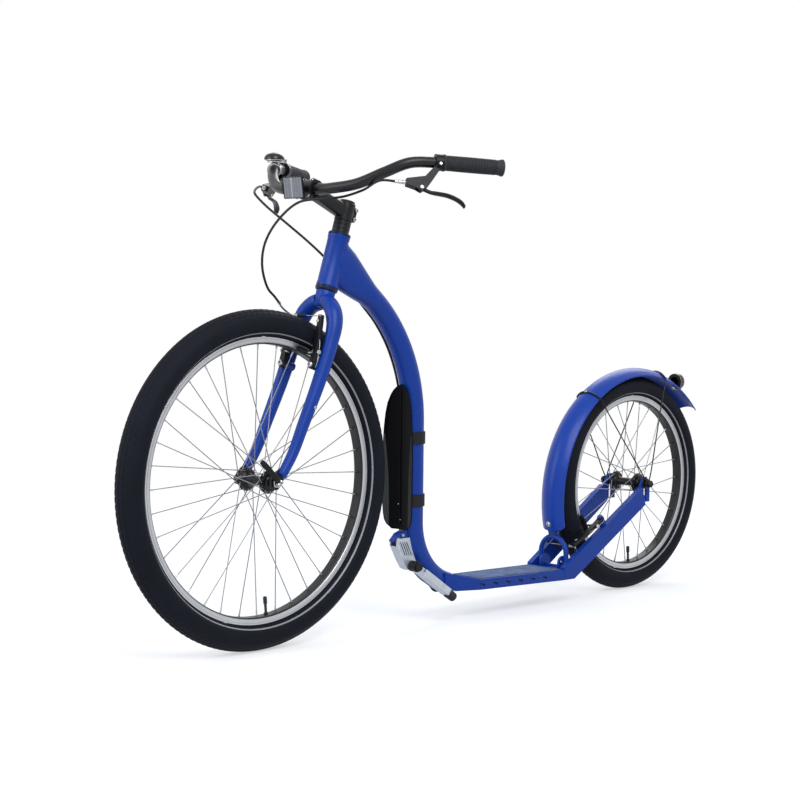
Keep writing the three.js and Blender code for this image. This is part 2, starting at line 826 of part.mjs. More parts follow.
// The middle line of the main tube below the flare, as places with the direction that points out of its front.
function tubeLine() {
  const line = [];
  const upperSteps = 7;
  for (let i = 0; i <= upperSteps; i += 1) {
    const turn = degrees(lerp(90 - tubeTopSlope, 0, i / upperSteps));
    const place = point(
      uprightTubeX + upperBendRadius * (1 - Math.cos(turn)),
      0,
      uprightTubeTop + upperBendRadius * Math.sin(turn),
    );
    line.push({ place, out: point(Math.cos(turn), 0, -Math.sin(turn)) });
  }
  const lowerSteps = 7;
  for (let i = 0; i <= lowerSteps; i += 1) {
    const turn = degrees(lerp(0, lowerBendAngle, i / lowerSteps));
    const place = point(
      uprightTubeX - lowerBendRadius * (1 - Math.cos(turn)),
      0,
      uprightTubeBottom - lowerBendRadius * Math.sin(turn),
    );
    line.push({ place, out: point(Math.cos(turn), 0, -Math.sin(turn)) });
  }
  return line;
}

function tubeSkin(gap) {
  const line = tubeLine();
  const radius = mainTubeRadius + gap;
  const side = point(0, 1, 0);
  const sections = line.map(({ place, out }) => ({
    middle: place,
    across: side.clone().multiplyScalar(radius),
    up: out.clone().multiplyScalar(-radius),
  }));
  const flare = flareShares.map(([way, growth]) => ({
    middle: tubeArcTop.clone().lerp(headMiddle, way),
    across: side.clone().multiplyScalar(lerp(mainTubeRadius, tubeFlareWidth, growth) + gap),
    up: line[0].out
      .clone()
      .negate()
      .lerp(steeringUp, way)
      .normalize()
      .multiplyScalar(lerp(mainTubeRadius, tubeFlareHeight, growth) + gap),
  }));
  return loft([...flare.reverse(), ...sections], tubeSides);
}

// The blue tab that the stand bolts to, on the front of the lower bend.
function standTab() {
  const front = uprightTubeX + mainTubeRadius;
  const outline = [
    [uprightTubeX, guardBottom + standTabHalf],
    [front + 3 * standTabHalf, guardBottom - standTabHalf],
    [front + 5 * standTabHalf, guardBottom - 3 * standTabHalf],
    [uprightTubeX, guardBottom - 4 * standTabHalf],
  ];
  return sidePlate(outline, -standTabHalf, standTabHalf);
}

function mainTube() {
  const head = rod(onSteering(headTubeBottom, 0), onSteering(headTubeTop, 0), headTubeRadius, tubeSides);
  const bore = rod(
    onSteering(headTubeBottom - cutOverrun, 0),
    onSteering(headTubeTop + cutOverrun, 0),
    headTubeBore,
    tubeSides,
  );
  return cut(join(tubeSkin(0), head, standTab()), bore);
}

// Footboard

const deckTurn = (geometry) =>
  geometry.translate(-deckFront, 0, -deckTop).rotateY(-degrees(deckSlope)).translate(deckFront, 0, deckTop);

function deckPlan(margin, front, rear) {
  const corners = [
    [rear + margin, railOuter(rear) - margin],
    [front, deckHalfWidth - margin],
  ];
  if (!margin) {
    const bridgeHalf = railOuter(rear) - stayWidth - seatGap;
    corners.unshift([bridgeEnd, bridgeHalf], [rear, bridgeHalf]);
    corners.push([front + noseLength, noseHalfWidth]);
  }
  const otherSide = corners.map(([x, y]) => [x, -y]).reverse();
  return [...corners, ...otherSide];
}

function deck() {
  const bottom = deckTop - deckHeight;
  const nose = deckFront + noseLength;
  const sideView = [
    [bridgeEnd, deckTop],
    [bridgeEnd, bottom],
    [nose - noseHalfWidth, bottom],
    [nose, bottom + deckHeight / 2],
    [nose, deckTop + noseRise],
    [deckFront + noseHalfWidth, deckTop + deckPlate],
    [deckFront, deckTop],
  ];
  const wide = 2 * deckHalfWidth;
  let solid = toSolid(planPlate(deckPlan(0, deckFront, deckRear), 0, 2 * deckTop));
  solid = solid.intersect(toSolid(sidePlate(sideView, -wide, wide)));
  const pocketFront = deckFront - railWidth;
  const pocketRear = deckRear + railWidth;
  const bays = deckRibs + 1;
  const bayLength = (pocketFront - pocketRear - deckRibs * deckRibWidth) / bays;
  const inner = deckHalfWidth - railWidth;
  for (let i = 0; i < bays; i += 1) {
    const start = pocketRear + i * (bayLength + deckRibWidth);
    const low = point(start, -inner, bottom - cutOverrun);
    const high = point(start + bayLength, inner, deckTop - deckPlate);
    solid = solid.subtract(toSolid(block(low, high)));
  }
  for (const side of [-1, 1]) {
    for (let i = 0; i < deckSlots; i += 1) {
      const x = deckFront - firstSlotInset - i * deckSlotPitchShare * deckLength;
      const y = side * railOuter(x);
      const half = point(deckSlotLength / 2, deckSlotDepth, deckSlotHeight / 2);
      const slot = block(half.clone().negate(), half)
        .rotateY(-degrees(deckSlotSlant))
        .translate(x, y, deckTop - deckHeight / 2);
      solid = solid.subtract(toSolid(slot));
    }
  }
  const tilted = toSolid(deckTurn(toGeometry(solid)));
  return cut(tilted, tubeSkin(seatGap));
}

function gripTape() {
  const plan = deckPlan(gripTapeMargin, deckFront - gripTapeMargin, deckRear);
  const bottom = deckTop + seatGap;
  return deckTurn(planPlate(plan, bottom, bottom + gripTapeThickness));
}

// Chain stays

const stayFoot = point(deckRear, 0, deckTop - stayFootDrop).sub(rearAxle);
const stayFootTurn = Math.asin(stayAxleDrop / stayFoot.length());
const staySlope = Math.atan2(-stayFoot.z, stayFoot.x) - stayFootTurn; // radians
const stayAlong = point(Math.cos(staySlope), 0, -Math.sin(staySlope));
const stayUp = point(Math.sin(staySlope), 0, Math.cos(staySlope));

// A place given by its distance from the rear axle along the stays and square to them.
const onStay = (along, up, side = 0) =>
  rearAxle.clone().addScaledVector(stayAlong, along).addScaledVector(stayUp, up).add(point(0, side, 0));
const flat = (place) => [place.x, place.z];

const brakeLift = -stayAxleDrop + stayHeight / 2 + rearBrakeLift;

function leftStay() {
  const [low, high] = [-stayAxleDrop - stayHeight / 2, -stayAxleDrop + stayHeight / 2];
  const front = deckRear - seatGap;
  const rearTop = deckTop + (deckRear - deckFront) * Math.tan(degrees(deckSlope));
  const topMeet = onStay((front - rearAxle.x - high * stayUp.x) / stayAlong.x, high);
  const rearLow = rearTop - deckHeight;
  const lowReach = (rearAxle.z + low * stayUp.z - rearLow) / -stayAlong.z;
  const outline = [
    flat(onStay(stayEndInset, low)),
    flat(onStay(lowReach, low)),
    [front, rearLow],
    [front, Math.max(topMeet.z, rearTop)],
    flat(onStay(stayEndInset - stayWidth / 2, high)),
    flat(onStay(stayEndInset - stayWidth / 2, -stayAxleDrop)),
  ];
  const turn = Math.atan(deckSpread);
  const outer = railOuter(front);
  const beam = sidePlate(outline, -stayWidth, 0)
    .translate(-front, 0, 0)
    .rotateZ(-turn)
    .translate(front, outer, 0);
  const inside = hubWidth / 2 + seatGap;
  const slotHalf = rearAxleRadius + seatGap;
  const plate = [
    flat(onStay(stayEndInset + stayWidth, high - stayWidth)),
    flat(onStay(stayEndInset + stayWidth, low + stayWidth / 2)),
    [rearAxle.x + slotHalf, rearAxle.z - hookLength],
    [rearAxle.x - slotHalf - hookWidth, rearAxle.z - hookLength],
    [rearAxle.x - slotHalf - hookWidth, rearAxle.z],
    [rearAxle.x - slotHalf, rearAxle.z + dropoutRadius],
    [rearAxle.x + slotHalf, rearAxle.z + dropoutRadius],
  ];
  const slot = block(
    point(rearAxle.x - slotHalf, 0, rearAxle.z - hookLength - cutOverrun),
    point(rearAxle.x + slotHalf, hubWidth, rearAxle.z + slotHalf),
  );
  const hubRoom = rod(rearAxle, rearAxle.clone().setY(inside), hubFlangeRadius, tubeSides);
  const boss = rod(
    onStay(rearPivotRadius, high - stayWidth / 2, rearPivotSpread),
    onStay(rearPivotRadius, brakeLift - seatGap, rearPivotSpread),
    brakePivotBoss,
    cableSides,
  );
  const pin = rod(
    onStay(rearPivotRadius, high, rearPivotSpread),
    onStay(rearPivotRadius, brakeLift + brakeArmThickness + 2 * seatGap, rearPivotSpread),
    brakePivotPin,
    cableSides,
  );
  const head = rod(
    onStay(rearPivotRadius, brakeLift + brakeArmThickness + seatGap, rearPivotSpread),
    onStay(rearPivotRadius, brakeLift + brakeArmThickness + seatGap + brakeBoltHead, rearPivotSpread),
    brakeBoltRadius,
    cableSides,
  );
  const beamSolid = toSolid(beam).subtract(toSolid(hubRoom));
  const plateSolid = toSolid(sidePlate(plate, inside, inside + dropoutThickness));
  return beamSolid.add(plateSolid).subtract(toSolid(slot)).add(join(boss, pin, head));
}

// Fender over the rear wheel, with the hoop that carries its front end

const fenderMiddle = rearAxle.clone().add(point(-fenderBack, 0, -fenderDrop));

function onFender(radius, angle, side = 0) {
  const turn = degrees(angle);
  return fenderMiddle.clone().add(point(radius * Math.cos(turn), side, radius * Math.sin(turn)));
}

const hoopTop = onFender(fenderRadius, fenderFrontAngle).z - hoopTopDrop;
const crownDrop = (side) => fenderCrown * (side / fenderHalfWidth) ** 2;

function fenderSection(from, to) {
  const corners = [];
  for (let i = -fenderSideSteps; i <= fenderSideSteps; i += 1) {
    const side = (i / fenderSideSteps) * fenderHalfWidth;
    corners.push(new THREE.Vector2(side, to - crownDrop(side)));
  }
  for (let i = fenderSideSteps; i >= -fenderSideSteps; i -= 1) {
    const side = (i / fenderSideSteps) * fenderHalfWidth;
    corners.push(new THREE.Vector2(side, from - crownDrop(side)));
  }
  return new THREE.Shape(corners);
}

function fenderArc(fromAngle, toAngle, steps, section) {
  const route = [];
  for (let i = 0; i <= steps; i += 1) route.push(onFender(fenderRadius, lerp(fromAngle, toAngle, i / steps)));
  const path = new THREE.CatmullRomCurve3(route, false, "centripetal");
  return new THREE.ExtrudeGeometry(section, { extrudePath: path, steps, bevelEnabled: false });
}

function fender() {
  const shell = fenderArc(fenderFrontAngle, fenderRearAngle, fenderSteps, fenderSection(-fenderWall, 0));
  const inside = fenderRadius - fenderCrown;
  const hole = rod(
    onFender(inside, fenderBoltAngle),
    onFender(fenderRadius + cutOverrun, fenderBoltAngle),
    hoopTabThickness / 2 + seatGap,
    cableSides,
  );
  return cut(toSolid(shell), hole);
}

function rearHoop() {
  const sideDrop = (deckLength + bridgeLength / 2) * Math.tan(degrees(deckSlope));
  const foot = deckTop - sideDrop + 2 * seatGap;
  const archMiddle = hoopTop - hoopTubeRadius - hoopHalfWidth;
  const route = [point(hoopX, hoopHalfWidth, foot), point(hoopX, hoopHalfWidth, lerp(foot, archMiddle, 1 / 2))];
  const archSteps = 6;
  for (let i = 0; i <= archSteps; i += 1) {
    const turn = (i / archSteps) * Math.PI;
    route.push(point(hoopX, Math.cos(turn) * hoopHalfWidth, archMiddle + Math.sin(turn) * hoopHalfWidth));
  }
  const [last, beforeLast] = [route[0].clone(), route[1].clone()];
  route.push(beforeLast.multiply(point(1, -1, 1)), last.multiply(point(1, -1, 1)));
  const hoop = bentRod(route, hoopTubeRadius, cableSides, 20);
  const gussets = [-1, 1].map((side) => {
    const middleZ = foot + gussetRadius * gussetRiseShare;
    const outline = [
      [hoopX - gussetRadius, foot],
      [hoopX + gussetRadius, foot],
    ];
    const corners = 7;
    for (let i = 0; i < corners; i += 1) {
      const turn = (i / (corners - 1)) * Math.PI;
      outline.push([hoopX + Math.cos(turn) * gussetRadius, middleZ + Math.sin(turn) * gussetRadius]);
    }
    const y = side * gussetHalfSpacing;
    return sidePlate(outline, y - gussetThickness / 2, y + gussetThickness / 2);
  });
  const bridge = block(
    point(hoopX - hoopTubeRadius / 2, -hoopHalfWidth, foot),
    point(hoopX + hoopTubeRadius / 2, hoopHalfWidth, foot + gussetThickness),
  );
  const halfStep = (fenderRearAngle - fenderFrontAngle) / fenderSteps / 2;
  const inner = fenderRadius * Math.cos(degrees(halfStep)) - fenderWall - crownDrop(hoopTabHalf) - seatGap;
  const tabTop = 2 * fenderBoltAngle - fenderFrontAngle;
  const hoopMiddle = point(hoopX, 0, hoopTop - hoopTubeRadius);
  const tabOutline = [
    flat(onFender(inner, tabTop)),
    flat(onFender(inner, fenderFrontAngle)),
    [hoopMiddle.x + hoopTubeRadius / 2, hoopMiddle.z],
    [hoopMiddle.x - hoopTubeRadius / 2, hoopMiddle.z + hoopTubeRadius / 2],
    flat(onFender(inner - hoopTabThickness, fenderFrontAngle)),
    flat(onFender(inner - hoopTabThickness, tabTop)),
  ];
  const tab = sidePlate(tabOutline, -hoopTabHalf, hoopTabHalf);
  const shank = rod(
    onFender(inner - hoopTabThickness / 2, fenderBoltAngle),
    onFender(fenderRadius + fenderBoltHead, fenderBoltAngle),
    hoopTabThickness / 2,
    cableSides,
  );
  const head = rod(
    onFender(fenderRadius + seatGap, fenderBoltAngle),
    onFender(fenderRadius + seatGap + fenderBoltHead, fenderBoltAngle),
    fenderBoltRadius,
    cableSides,
  );
  return join(hoop, bridge, ...gussets, tab, shank, head);
}

// Wire stays from the rear axle over the fender, each held by a clip across it

function wireRoute(angle, eyeletY) {
  const lift = 2 * stayWireRadius;
  const over = [];
  const steps = 4;
  for (let i = -steps; i <= steps; i += 1) {
    const side = (i / steps) * fenderHalfWidth;
    const slope = (2 * fenderCrown * side) / fenderHalfWidth ** 2;
    const size = Math.hypot(slope, 1);
    const radius = fenderRadius - crownDrop(side) + lift / size;
    over.push(onFender(radius, angle, side + (lift * slope) / size));
  }
  const edge = over[over.length - 1];
  const foot = point(rearAxle.x, eyeletY, rearAxle.z);
  const towards = edge.clone().sub(foot).setY(0).normalize();
  const start = foot.clone().addScaledVector(towards, eyeletRadius - stayWireRadius);
  const straight = foot.clone().addScaledVector(towards, rearWasherRadius + eyeletRadius);
  const rise = start.clone().lerp(edge, 3 / 4);
  const bend = edge.clone().addScaledVector(towards, -fenderCrown / 2);
  bend.y = edge.y + stayWireRadius;
  const half = [start, straight, straight.clone().lerp(rise, 1 / 2), rise, bend];
  const other = half.map((place) => place.clone().multiply(point(1, -1, 1)));
  return [...other, ...over, ...half.reverse()];
}

function fenderStay(angle, eyeletStart) {
  const middle = eyeletStart + eyeletWidth / 2;
  const wire = bentRod(wireRoute(angle, middle), stayWireRadius, 5, 46);
  const sides = [-1, 1].map((side) => {
    const y = side * middle;
    const from = point(rearAxle.x, y - eyeletWidth / 2, rearAxle.z);
    return rod(from, from.clone().add(point(0, eyeletWidth, 0)), eyeletRadius, cableSides);
  });
  const bore = rod(
    rearAxle.clone().add(point(0, -hubWidth, 0)),
    rearAxle.clone().add(point(0, hubWidth, 0)),
    rearAxleRadius + seatGap,
    steererSides,
  );
  return cut(join(wire, ...sides), bore);
}

function stayClip(angle) {
  const spread = (stayClipWidth / 2 / fenderRadius) * (180 / Math.PI);
  const section = fenderSection(seatGap, seatGap + stayClipThickness);
  const strip = fenderArc(angle - spread, angle + spread, 1, section);
  const room = bentRod(wireRoute(angle, frontEyelet), stayWireRadius + seatGap, 5, 46);
  return cut(toSolid(strip), room);
}

const rearPlateOuter = hubWidth / 2 + seatGap + dropoutThickness;
const frontEyelet = rearPlateOuter + seatGap + rearWasherWidth + seatGap;
const rearEyelet = frontEyelet + eyeletWidth + seatGap;
const rearNutStart = rearEyelet + eyeletWidth + seatGap;

function rearAxleSet() {
  const across = (from, to, radius, sides) =>
    rod(rearAxle.clone().add(point(0, from, 0)), rearAxle.clone().add(point(0, to, 0)), radius, sides);
  const end = rearNutStart + rearNutWidth;
  const pieces = [across(-end, end, rearAxleRadius, steererSides)];
  for (const side of [-1, 1]) {
    const washerStart = side * (rearPlateOuter + seatGap);
    pieces.push(across(washerStart, washerStart + side * rearWasherWidth, rearWasherRadius, tubeSides));
    pieces.push(across(side * rearNutStart, side * end, rearNutRadius, 6));
  }
  return join(...pieces);
}

// Rear reflector on the fender

function rearReflectorHousing() {
  const middle = onFender(fenderRadius + rearReflectorLift, rearReflectorAngle);
  const half = point(rearReflectorDepth / 2, 0, 0);
  const cup = rod(middle.clone().add(half), middle.clone().sub(half), rearReflectorRadius, tubeSides);
  const foot = block(
    middle.clone().sub(point(rearReflectorDepth / 2, rearReflectorRadius / 2, rearReflectorRadius + rearReflectorLift)),
    middle.clone().add(point(rearReflectorDepth / 2, rearReflectorRadius / 2, 0)),
  );
  const fenderRoom = rod(
    fenderMiddle.clone().add(point(0, -hubWidth, 0)),
    fenderMiddle.clone().add(point(0, hubWidth, 0)),
    fenderRadius + 2 * seatGap,
    4 * wheelSteps,
  );
  return cut(join(cup, foot), fenderRoom);
}

function rearReflectorLens() {
  const middle = onFender(fenderRadius + rearReflectorLift, rearReflectorAngle);
  const seat = middle.clone().sub(point(rearReflectorDepth / 2 + seatGap, 0, 0));
  const outline = [
    [0, 0],
    [rearLensRadius, 0],
    [rearLensRadius, rearLensDepth / 2],
    [rearLensRadius / 2, rearLensDepth],
    [0, rearLensDepth],
  ];
  return turned(outline, seat, point(-1, 0, 0), tubeSides);
}

// Guard in front of the upright tube, with the bridges that its straps hold

function strapPosts() {
  const turn = degrees(cableSideAngle);
  const cableOut = mainTubeRadius + 3 * seatGap + cableRadius;
  const bridgeX = mainTubeRadius + seatGap + strapBridgeThickness / 2;
  return [
    [0, 0, mainTubeRadius],
    [cableOut * Math.cos(turn), -cableOut * Math.sin(turn), cableRadius],
    [bridgeX, strapBridgeHalf - strapBridgeThickness / 2, strapBridgeThickness / 2],
    [bridgeX, strapBridgeThickness / 2 - strapBridgeHalf, strapBridgeThickness / 2],
  ];
}

function guardStrap(middle) {
  const ring = (distance) => outlineAround(strapPosts(), distance, 24).map(([x, y]) => [x + uprightTubeX, y]);
  const [low, high] = [middle - strapHeight / 2, middle + strapHeight / 2];
  const outer = planPlate(ring(3 * seatGap + strapThickness), low, high);
  const inner = planPlate(ring(3 * seatGap), low - cutOverrun, high + cutOverrun);
  return cut(toSolid(outer), inner);
}

function guard() {
  const section = [];
  const steps = 4;
  for (const face of [0, guardWall]) {
    const row = [];
    for (let i = -steps; i <= steps; i += 1) {
      const share = i / steps;
      row.push([guardRidgeX + face + guardWing * Math.abs(share) ** guardWingPower, share * guardHalfWidth]);
    }
    section.push(...(face ? row.reverse() : row));
  }
  const shell = toSolid(planPlate(section, guardBottom, guardTop));
  const height = guardTop - guardBottom;
  const side = guardOutlineShares.map(([y, z]) => [y * guardHalfWidth, guardBottom + z * height]);
  const outline = [...side, ...side.map(([y, z]) => [-y, z]).reverse()];
  const front = new THREE.Shape(outline.map(([y, z]) => new THREE.Vector2(y, z)));
  const reach = guardHalfWidth + guardWing;
  const leaf = new THREE.ExtrudeGeometry(front, { depth: 2 * reach, bevelEnabled: false })
    .rotateX(Math.PI / 2)
    .rotateZ(Math.PI / 2)
    .translate(guardRidgeX - reach, 0, 0);
  let solid = shell.intersect(toSolid(leaf));
  const tubeFront = uprightTubeX + mainTubeRadius + seatGap;
  const overlap = guardWall / 2;
  for (const middle of [upperStrapShare, lowerStrapShare].map(strapMiddle)) {
    const ribReach = strapHeight / 2 + seatGap + strapRibHeight;
    const bridge = block(
      point(tubeFront, -strapBridgeHalf, middle - ribReach),
      point(tubeFront + strapBridgeThickness, strapBridgeHalf, middle + ribReach),
    );
    solid = solid.add(toSolid(bridge));
    for (const way of [-1, 1]) {
      const start = middle + way * (strapHeight / 2 + seatGap);
      const end = start + way * strapRibHeight;
      const rib = block(
        point(tubeFront, -strapBridgeHalf, Math.min(start, end)),
        point(guardRidgeX + overlap, strapBridgeHalf, Math.max(start, end)),
      );
      solid = solid.add(toSolid(rib));
    }
  }
  return solid;
}

// Stand under the lower bend

function standBracket() {
  const front = uprightTubeX + mainTubeRadius;
  const high = uprightTubeBottom - 4 * standTabHalf;
  const outline = [
    [uprightTubeX, high],
    [front + 4 * standTabHalf, high - seatGap],
    [front + 4 * standTabHalf, high - 2 * standTabHalf],
    [standPivotX + 2 * standHubRadius, standPivotZ + standHubRadius],
    [standPivotX + standHubRadius, standPivotZ - standHubRadius / 2],
    [standPivotX, standPivotZ - standHubRadius],
    [standPivotX - standHubRadius, standPivotZ - standHubRadius / 2],
    [uprightTubeX - standHubRadius, standPivotZ + standHubRadius],
  ];
  const body = sidePlate(outline, -standBracketHalf, standBracketHalf);
  const pivot = (from, to, radius) =>
    rod(point(standPivotX, from, standPivotZ), point(standPivotX, to, standPivotZ), radius, tubeSides);
  const end = standHubStart + standHubWidth;
  const pin = pivot(0, end + 2 * seatGap, standPinRadius);
  const head = pivot(end + seatGap, end + seatGap + standPinRadius, standHubRadius - standPinRadius / 2);
  const tabRoom = block(
    point(uprightTubeX, -standTabHalf - seatGap, high - 2 * standTabHalf - seatGap),
    point(front + 6 * standTabHalf, standTabHalf + seatGap, high + cutOverrun),
  );
  return cut(join(body, pin, head), tubeSkin(seatGap), tabRoom);
}

function placeLeg(geometry) {
  const middle = standHubStart + standHubWidth / 2;
  return geometry
    .rotateZ(degrees(-standSplay))
    .rotateX(Math.PI)
    .rotateY(degrees(-standLegAngle))
    .translate(standPivotX, middle, standPivotZ);
}

function standLeg() {
  const [w, h] = [standLegWidth / 2, standLegHeight / 2];
  const start = standHubRadius / 2;
  const beam = placeLeg(block(point(start, -w, -h), point(standLegLength, w, h)));
  const hollow = placeLeg(
    block(
      point(2 * standHubRadius, standLegWall - w, -h + standLegWall),
      point(standLegLength - standLegWall, w - standLegWall, h + cutOverrun),
    ),
  );
  const pivot = (from, to, radius) =>
    rod(point(standPivotX, from, standPivotZ), point(standPivotX, to, standPivotZ), radius, steererSides);
  const end = standHubStart + standHubWidth;
  const hub = pivot(standHubStart, end, standHubRadius);
  const bore = pivot(0, end + cutOverrun, standPinRadius + seatGap);
  const trim = pivot(end, end + 2 * standHubWidth, 2 * standHubRadius);
  const inner = pivot(standHubStart - standHubWidth, standHubStart, 2 * standHubRadius);
  return cut(toSolid(hub).add(cut(toSolid(beam), hollow, trim, inner)), bore);
}

function standFoot() {
  const start = point(standLegLength + seatGap, 0, 0);
  const end = point(standLegLength + standFootLength, 0, 0);
  return placeLeg(rod(start, end, standFootRadius, cableSides, standFootRadius * standFootTaperShare));
}

// Headset and fork

function cup(start, direction, height) {
  const inner = steererRadius + 2 * seatGap;
  const skirt = headTubeBore * Math.cos(Math.PI / tubeSides) - seatGap;
  const outline = [
    [inner, -cupSkirtLength],
    [skirt, -cupSkirtLength],
    [skirt, seatGap],
    [cupRadius, seatGap],
    [cupRadius - seatGap, height / 2],
    [cupRadius - 2, height],
    [inner, height],
    [inner, -cupSkirtLength],
  ];
  return turned(outline, start, direction, steererSides);
}

function forkBlade(side) {
  const places = bladeRouteShares.map(([height, spread, offset]) =>
    onSteering(height * forkLength, offset * forkOffset, side * spread * bladeSpread),
  );
  const sections = places.map((middle, i) => {
    const [before, after] = [places[Math.max(i - 1, 0)], places[Math.min(i + 1, places.length - 1)]];
    const along = after.clone().sub(before).normalize();
    const across = point(0, 1, 0).addScaledVector(along, -along.y).normalize();
    const radius = lerp(bladeFootRadius, bladeTopRadius, Math.min(1, bladeRouteShares[i][0] / bladeTaperShare));
    return {
      middle,
      across: across.clone().multiplyScalar(radius * bladeFlatShare),
      up: along.clone().cross(across).multiplyScalar(radius),
    };
  });
  return loft(sections, bladeSides);
}

function forkDropout(side) {
  const inner = hubWidth / 2 + seatGap;
  const bladeFoot = bladeRouteShares[0][2] * forkOffset;
  const outline = [
    flat(onSteering(2 * dropoutRadius, bladeFoot - bladeFootRadius)),
    flat(onSteering(2 * dropoutRadius, bladeFoot + bladeFootRadius / 2)),
    flat(onSteering(dropoutRadius / 2, forkOffset + dropoutRadius * dropoutShare)),
    flat(onSteering(-dropoutRadius * dropoutShare, forkOffset + dropoutRadius / 2)),
    flat(onSteering(-dropoutRadius * dropoutShare, forkOffset - dropoutRadius / 2)),
    flat(onSteering(dropoutRadius / 2, forkOffset - dropoutRadius)),
  ];
  const from = side > 0 ? inner : -inner - dropoutThickness;
  const plate = sidePlate(outline, from, from + dropoutThickness);
  const half = frontAxleRadius + seatGap;
  const slot = [
    flat(onSteering(half, forkOffset - half)),
    flat(onSteering(half, forkOffset + half)),
    flat(onSteering(-2 * dropoutRadius, forkOffset + half)),
    flat(onSteering(-2 * dropoutRadius, forkOffset - half)),
  ];
  return [plate, sidePlate(slot, from - cutOverrun, from + dropoutThickness + cutOverrun)];
}

function frontBrakeBoss(side) {
  const y = side * frontPivotSpread;
  const at = (forward) => onSteering(frontPivotRadius, forward, y);
  const low = brakePlaneForward - brakeArmThickness / 2;
  const high = brakePlaneForward + brakeArmThickness / 2;
  return join(
    rod(at(0), at(low - seatGap), brakePivotBoss, cableSides),
    rod(at(0), at(high + 2 * seatGap), brakePivotPin, cableSides),
    rod(at(high + seatGap), at(high + seatGap + brakeBoltHead), brakeBoltRadius, cableSides),
  );
}

function fork() {
  const steererFoot = onSteering(forkLength - crownHeight, 0);
  const steerer = rod(steererFoot, onSteering(stemTop - seatGap, 0), steererRadius, steererSides);
  const crown = rod(
    onSteering(forkLength - crownHeight, 0),
    onSteering(forkLength, 0),
    crownRadius * crownTaperShare,
    steererSides,
    crownRadius,
  );
  let solid = join(steerer, crown);
  for (const side of [-1, 1]) {
    const [plate, slot] = forkDropout(side);
    const blade = toSolid(forkBlade(side)).add(toSolid(plate)).subtract(toSolid(slot));
    solid = solid.add(blade).add(frontBrakeBoss(side));
  }
  return solid;
}

function spacers() {
  const inner = steererRadius + 2 * seatGap;
  const outline = [[inner, 0]];
  const each = spacerHeight / spacerCount;
  for (let i = 0; i < spacerCount; i += 1) {
    outline.push([spacerRadius - spacerGroove, i * each]);
    outline.push([spacerRadius, i * each + spacerGroove / 2]);
    outline.push([spacerRadius, (i + 1) * each - spacerGroove / 2]);
  }
  outline.push([spacerRadius - spacerGroove, spacerHeight], [inner, spacerHeight], [inner, 0]);
  return turned(outline, onSteering(spacerBottom, 0), steeringUp, steererSides);
}

function topCap() {
  const outline = [
    [0, seatGap],
    [stemClampRadius - 2, seatGap],
    [stemClampRadius - 2, topCapHeight - spacerGroove],
    [stemClampRadius - 2 - spacerGroove, topCapHeight],
    [stemClampRadius / 3, topCapHeight],
    [stemClampRadius / 3, topCapHeight - spacerGroove],
    [0, topCapHeight - spacerGroove],
  ];
  return turned(outline, onSteering(stemTop, 0), steeringUp, steererSides);
}

// Stem

const stemMiddle = (stemBottom + stemTop) / 2;
const barHeight = stemMiddle + stemRise;
const barMiddle = onSteering(barHeight, stemLength);
const barClampOuter = barClampRadius + barClampWall;

function steeringBlock(lowHeight, highHeight, near, far, halfWidth) {
  const outline = [
    flat(onSteering(lowHeight, near)),
    flat(onSteering(lowHeight, far)),
    flat(onSteering(highHeight, far)),
    flat(onSteering(highHeight, near)),
  ];
  return sidePlate(outline, -halfWidth, halfWidth);
}

function acrossBar(radius, halfWidth, sides = steererSides) {
  const half = point(0, halfWidth, 0);
  return rod(barMiddle.clone().sub(half), barMiddle.clone().add(half), radius, sides);
}

function stem() {
  const clamp = rod(onSteering(stemBottom, 0), onSteering(stemTop, 0), stemClampRadius, steererSides);
  const bore = rod(
    onSteering(stemBottom - cutOverrun, 0),
    onSteering(stemTop + cutOverrun, 0),
    steererRadius + 2 * seatGap,
    steererSides,
  );
  const start = onSteering(stemMiddle, stemClampRadius / 2);
  const along = barMiddle.clone().sub(start).normalize();
  const up = along.clone().cross(point(0, -1, 0)).negate().normalize();
  const arm = [0, 1 / 3, 2 / 3, 1].map((way) => ({
    middle: start.clone().lerp(barMiddle, way * stemReachShare),
    across: point(0, lerp(stemHalfWidth, barClampWidth / 2 - 2, way ** 3), 0),
    up: up.clone().multiplyScalar(lerp(stemHalfHeight, stemHalfHeight * stemTaperShare, way)),
    power: stemPower,
  }));
  const ears = steeringBlock(
    stemBottom + 2,
    stemTop - 2,
    -stemClampRadius - cutOverrun,
    -stemClampRadius / 2,
    stemHalfWidth * stemEndShare,
  );
  const bolts = stemBoltShares.map((share) => {
    const middle = onSteering(lerp(stemBottom, stemTop, share), -stemClampRadius - cutOverrun / 2);
    const half = point(0, stemHalfWidth, 0);
    return rod(middle.clone().sub(half), middle.clone().add(half), stemBoltRadius, cableSides);
  });
  const split = steeringBlock(
    stemBottom - cutOverrun,
    stemTop + cutOverrun,
    -2 * stemClampRadius,
    -steererRadius,
    spacerGroove / 2,
  );
  const front = steeringBlock(
    barHeight - 2 * barClampOuter,
    barHeight + 2 * barClampOuter,
    stemLength + seatGap,
    stemLength + 2 * barClampOuter,
    barClampWidth,
  );
  const body = join(clamp, loft(arm, tubeSides), ears, ...bolts, acrossBar(barClampOuter, barClampWidth / 2));
  return cut(body, bore, acrossBar(barClampRadius + 2 * seatGap, barClampWidth), front, split);
}

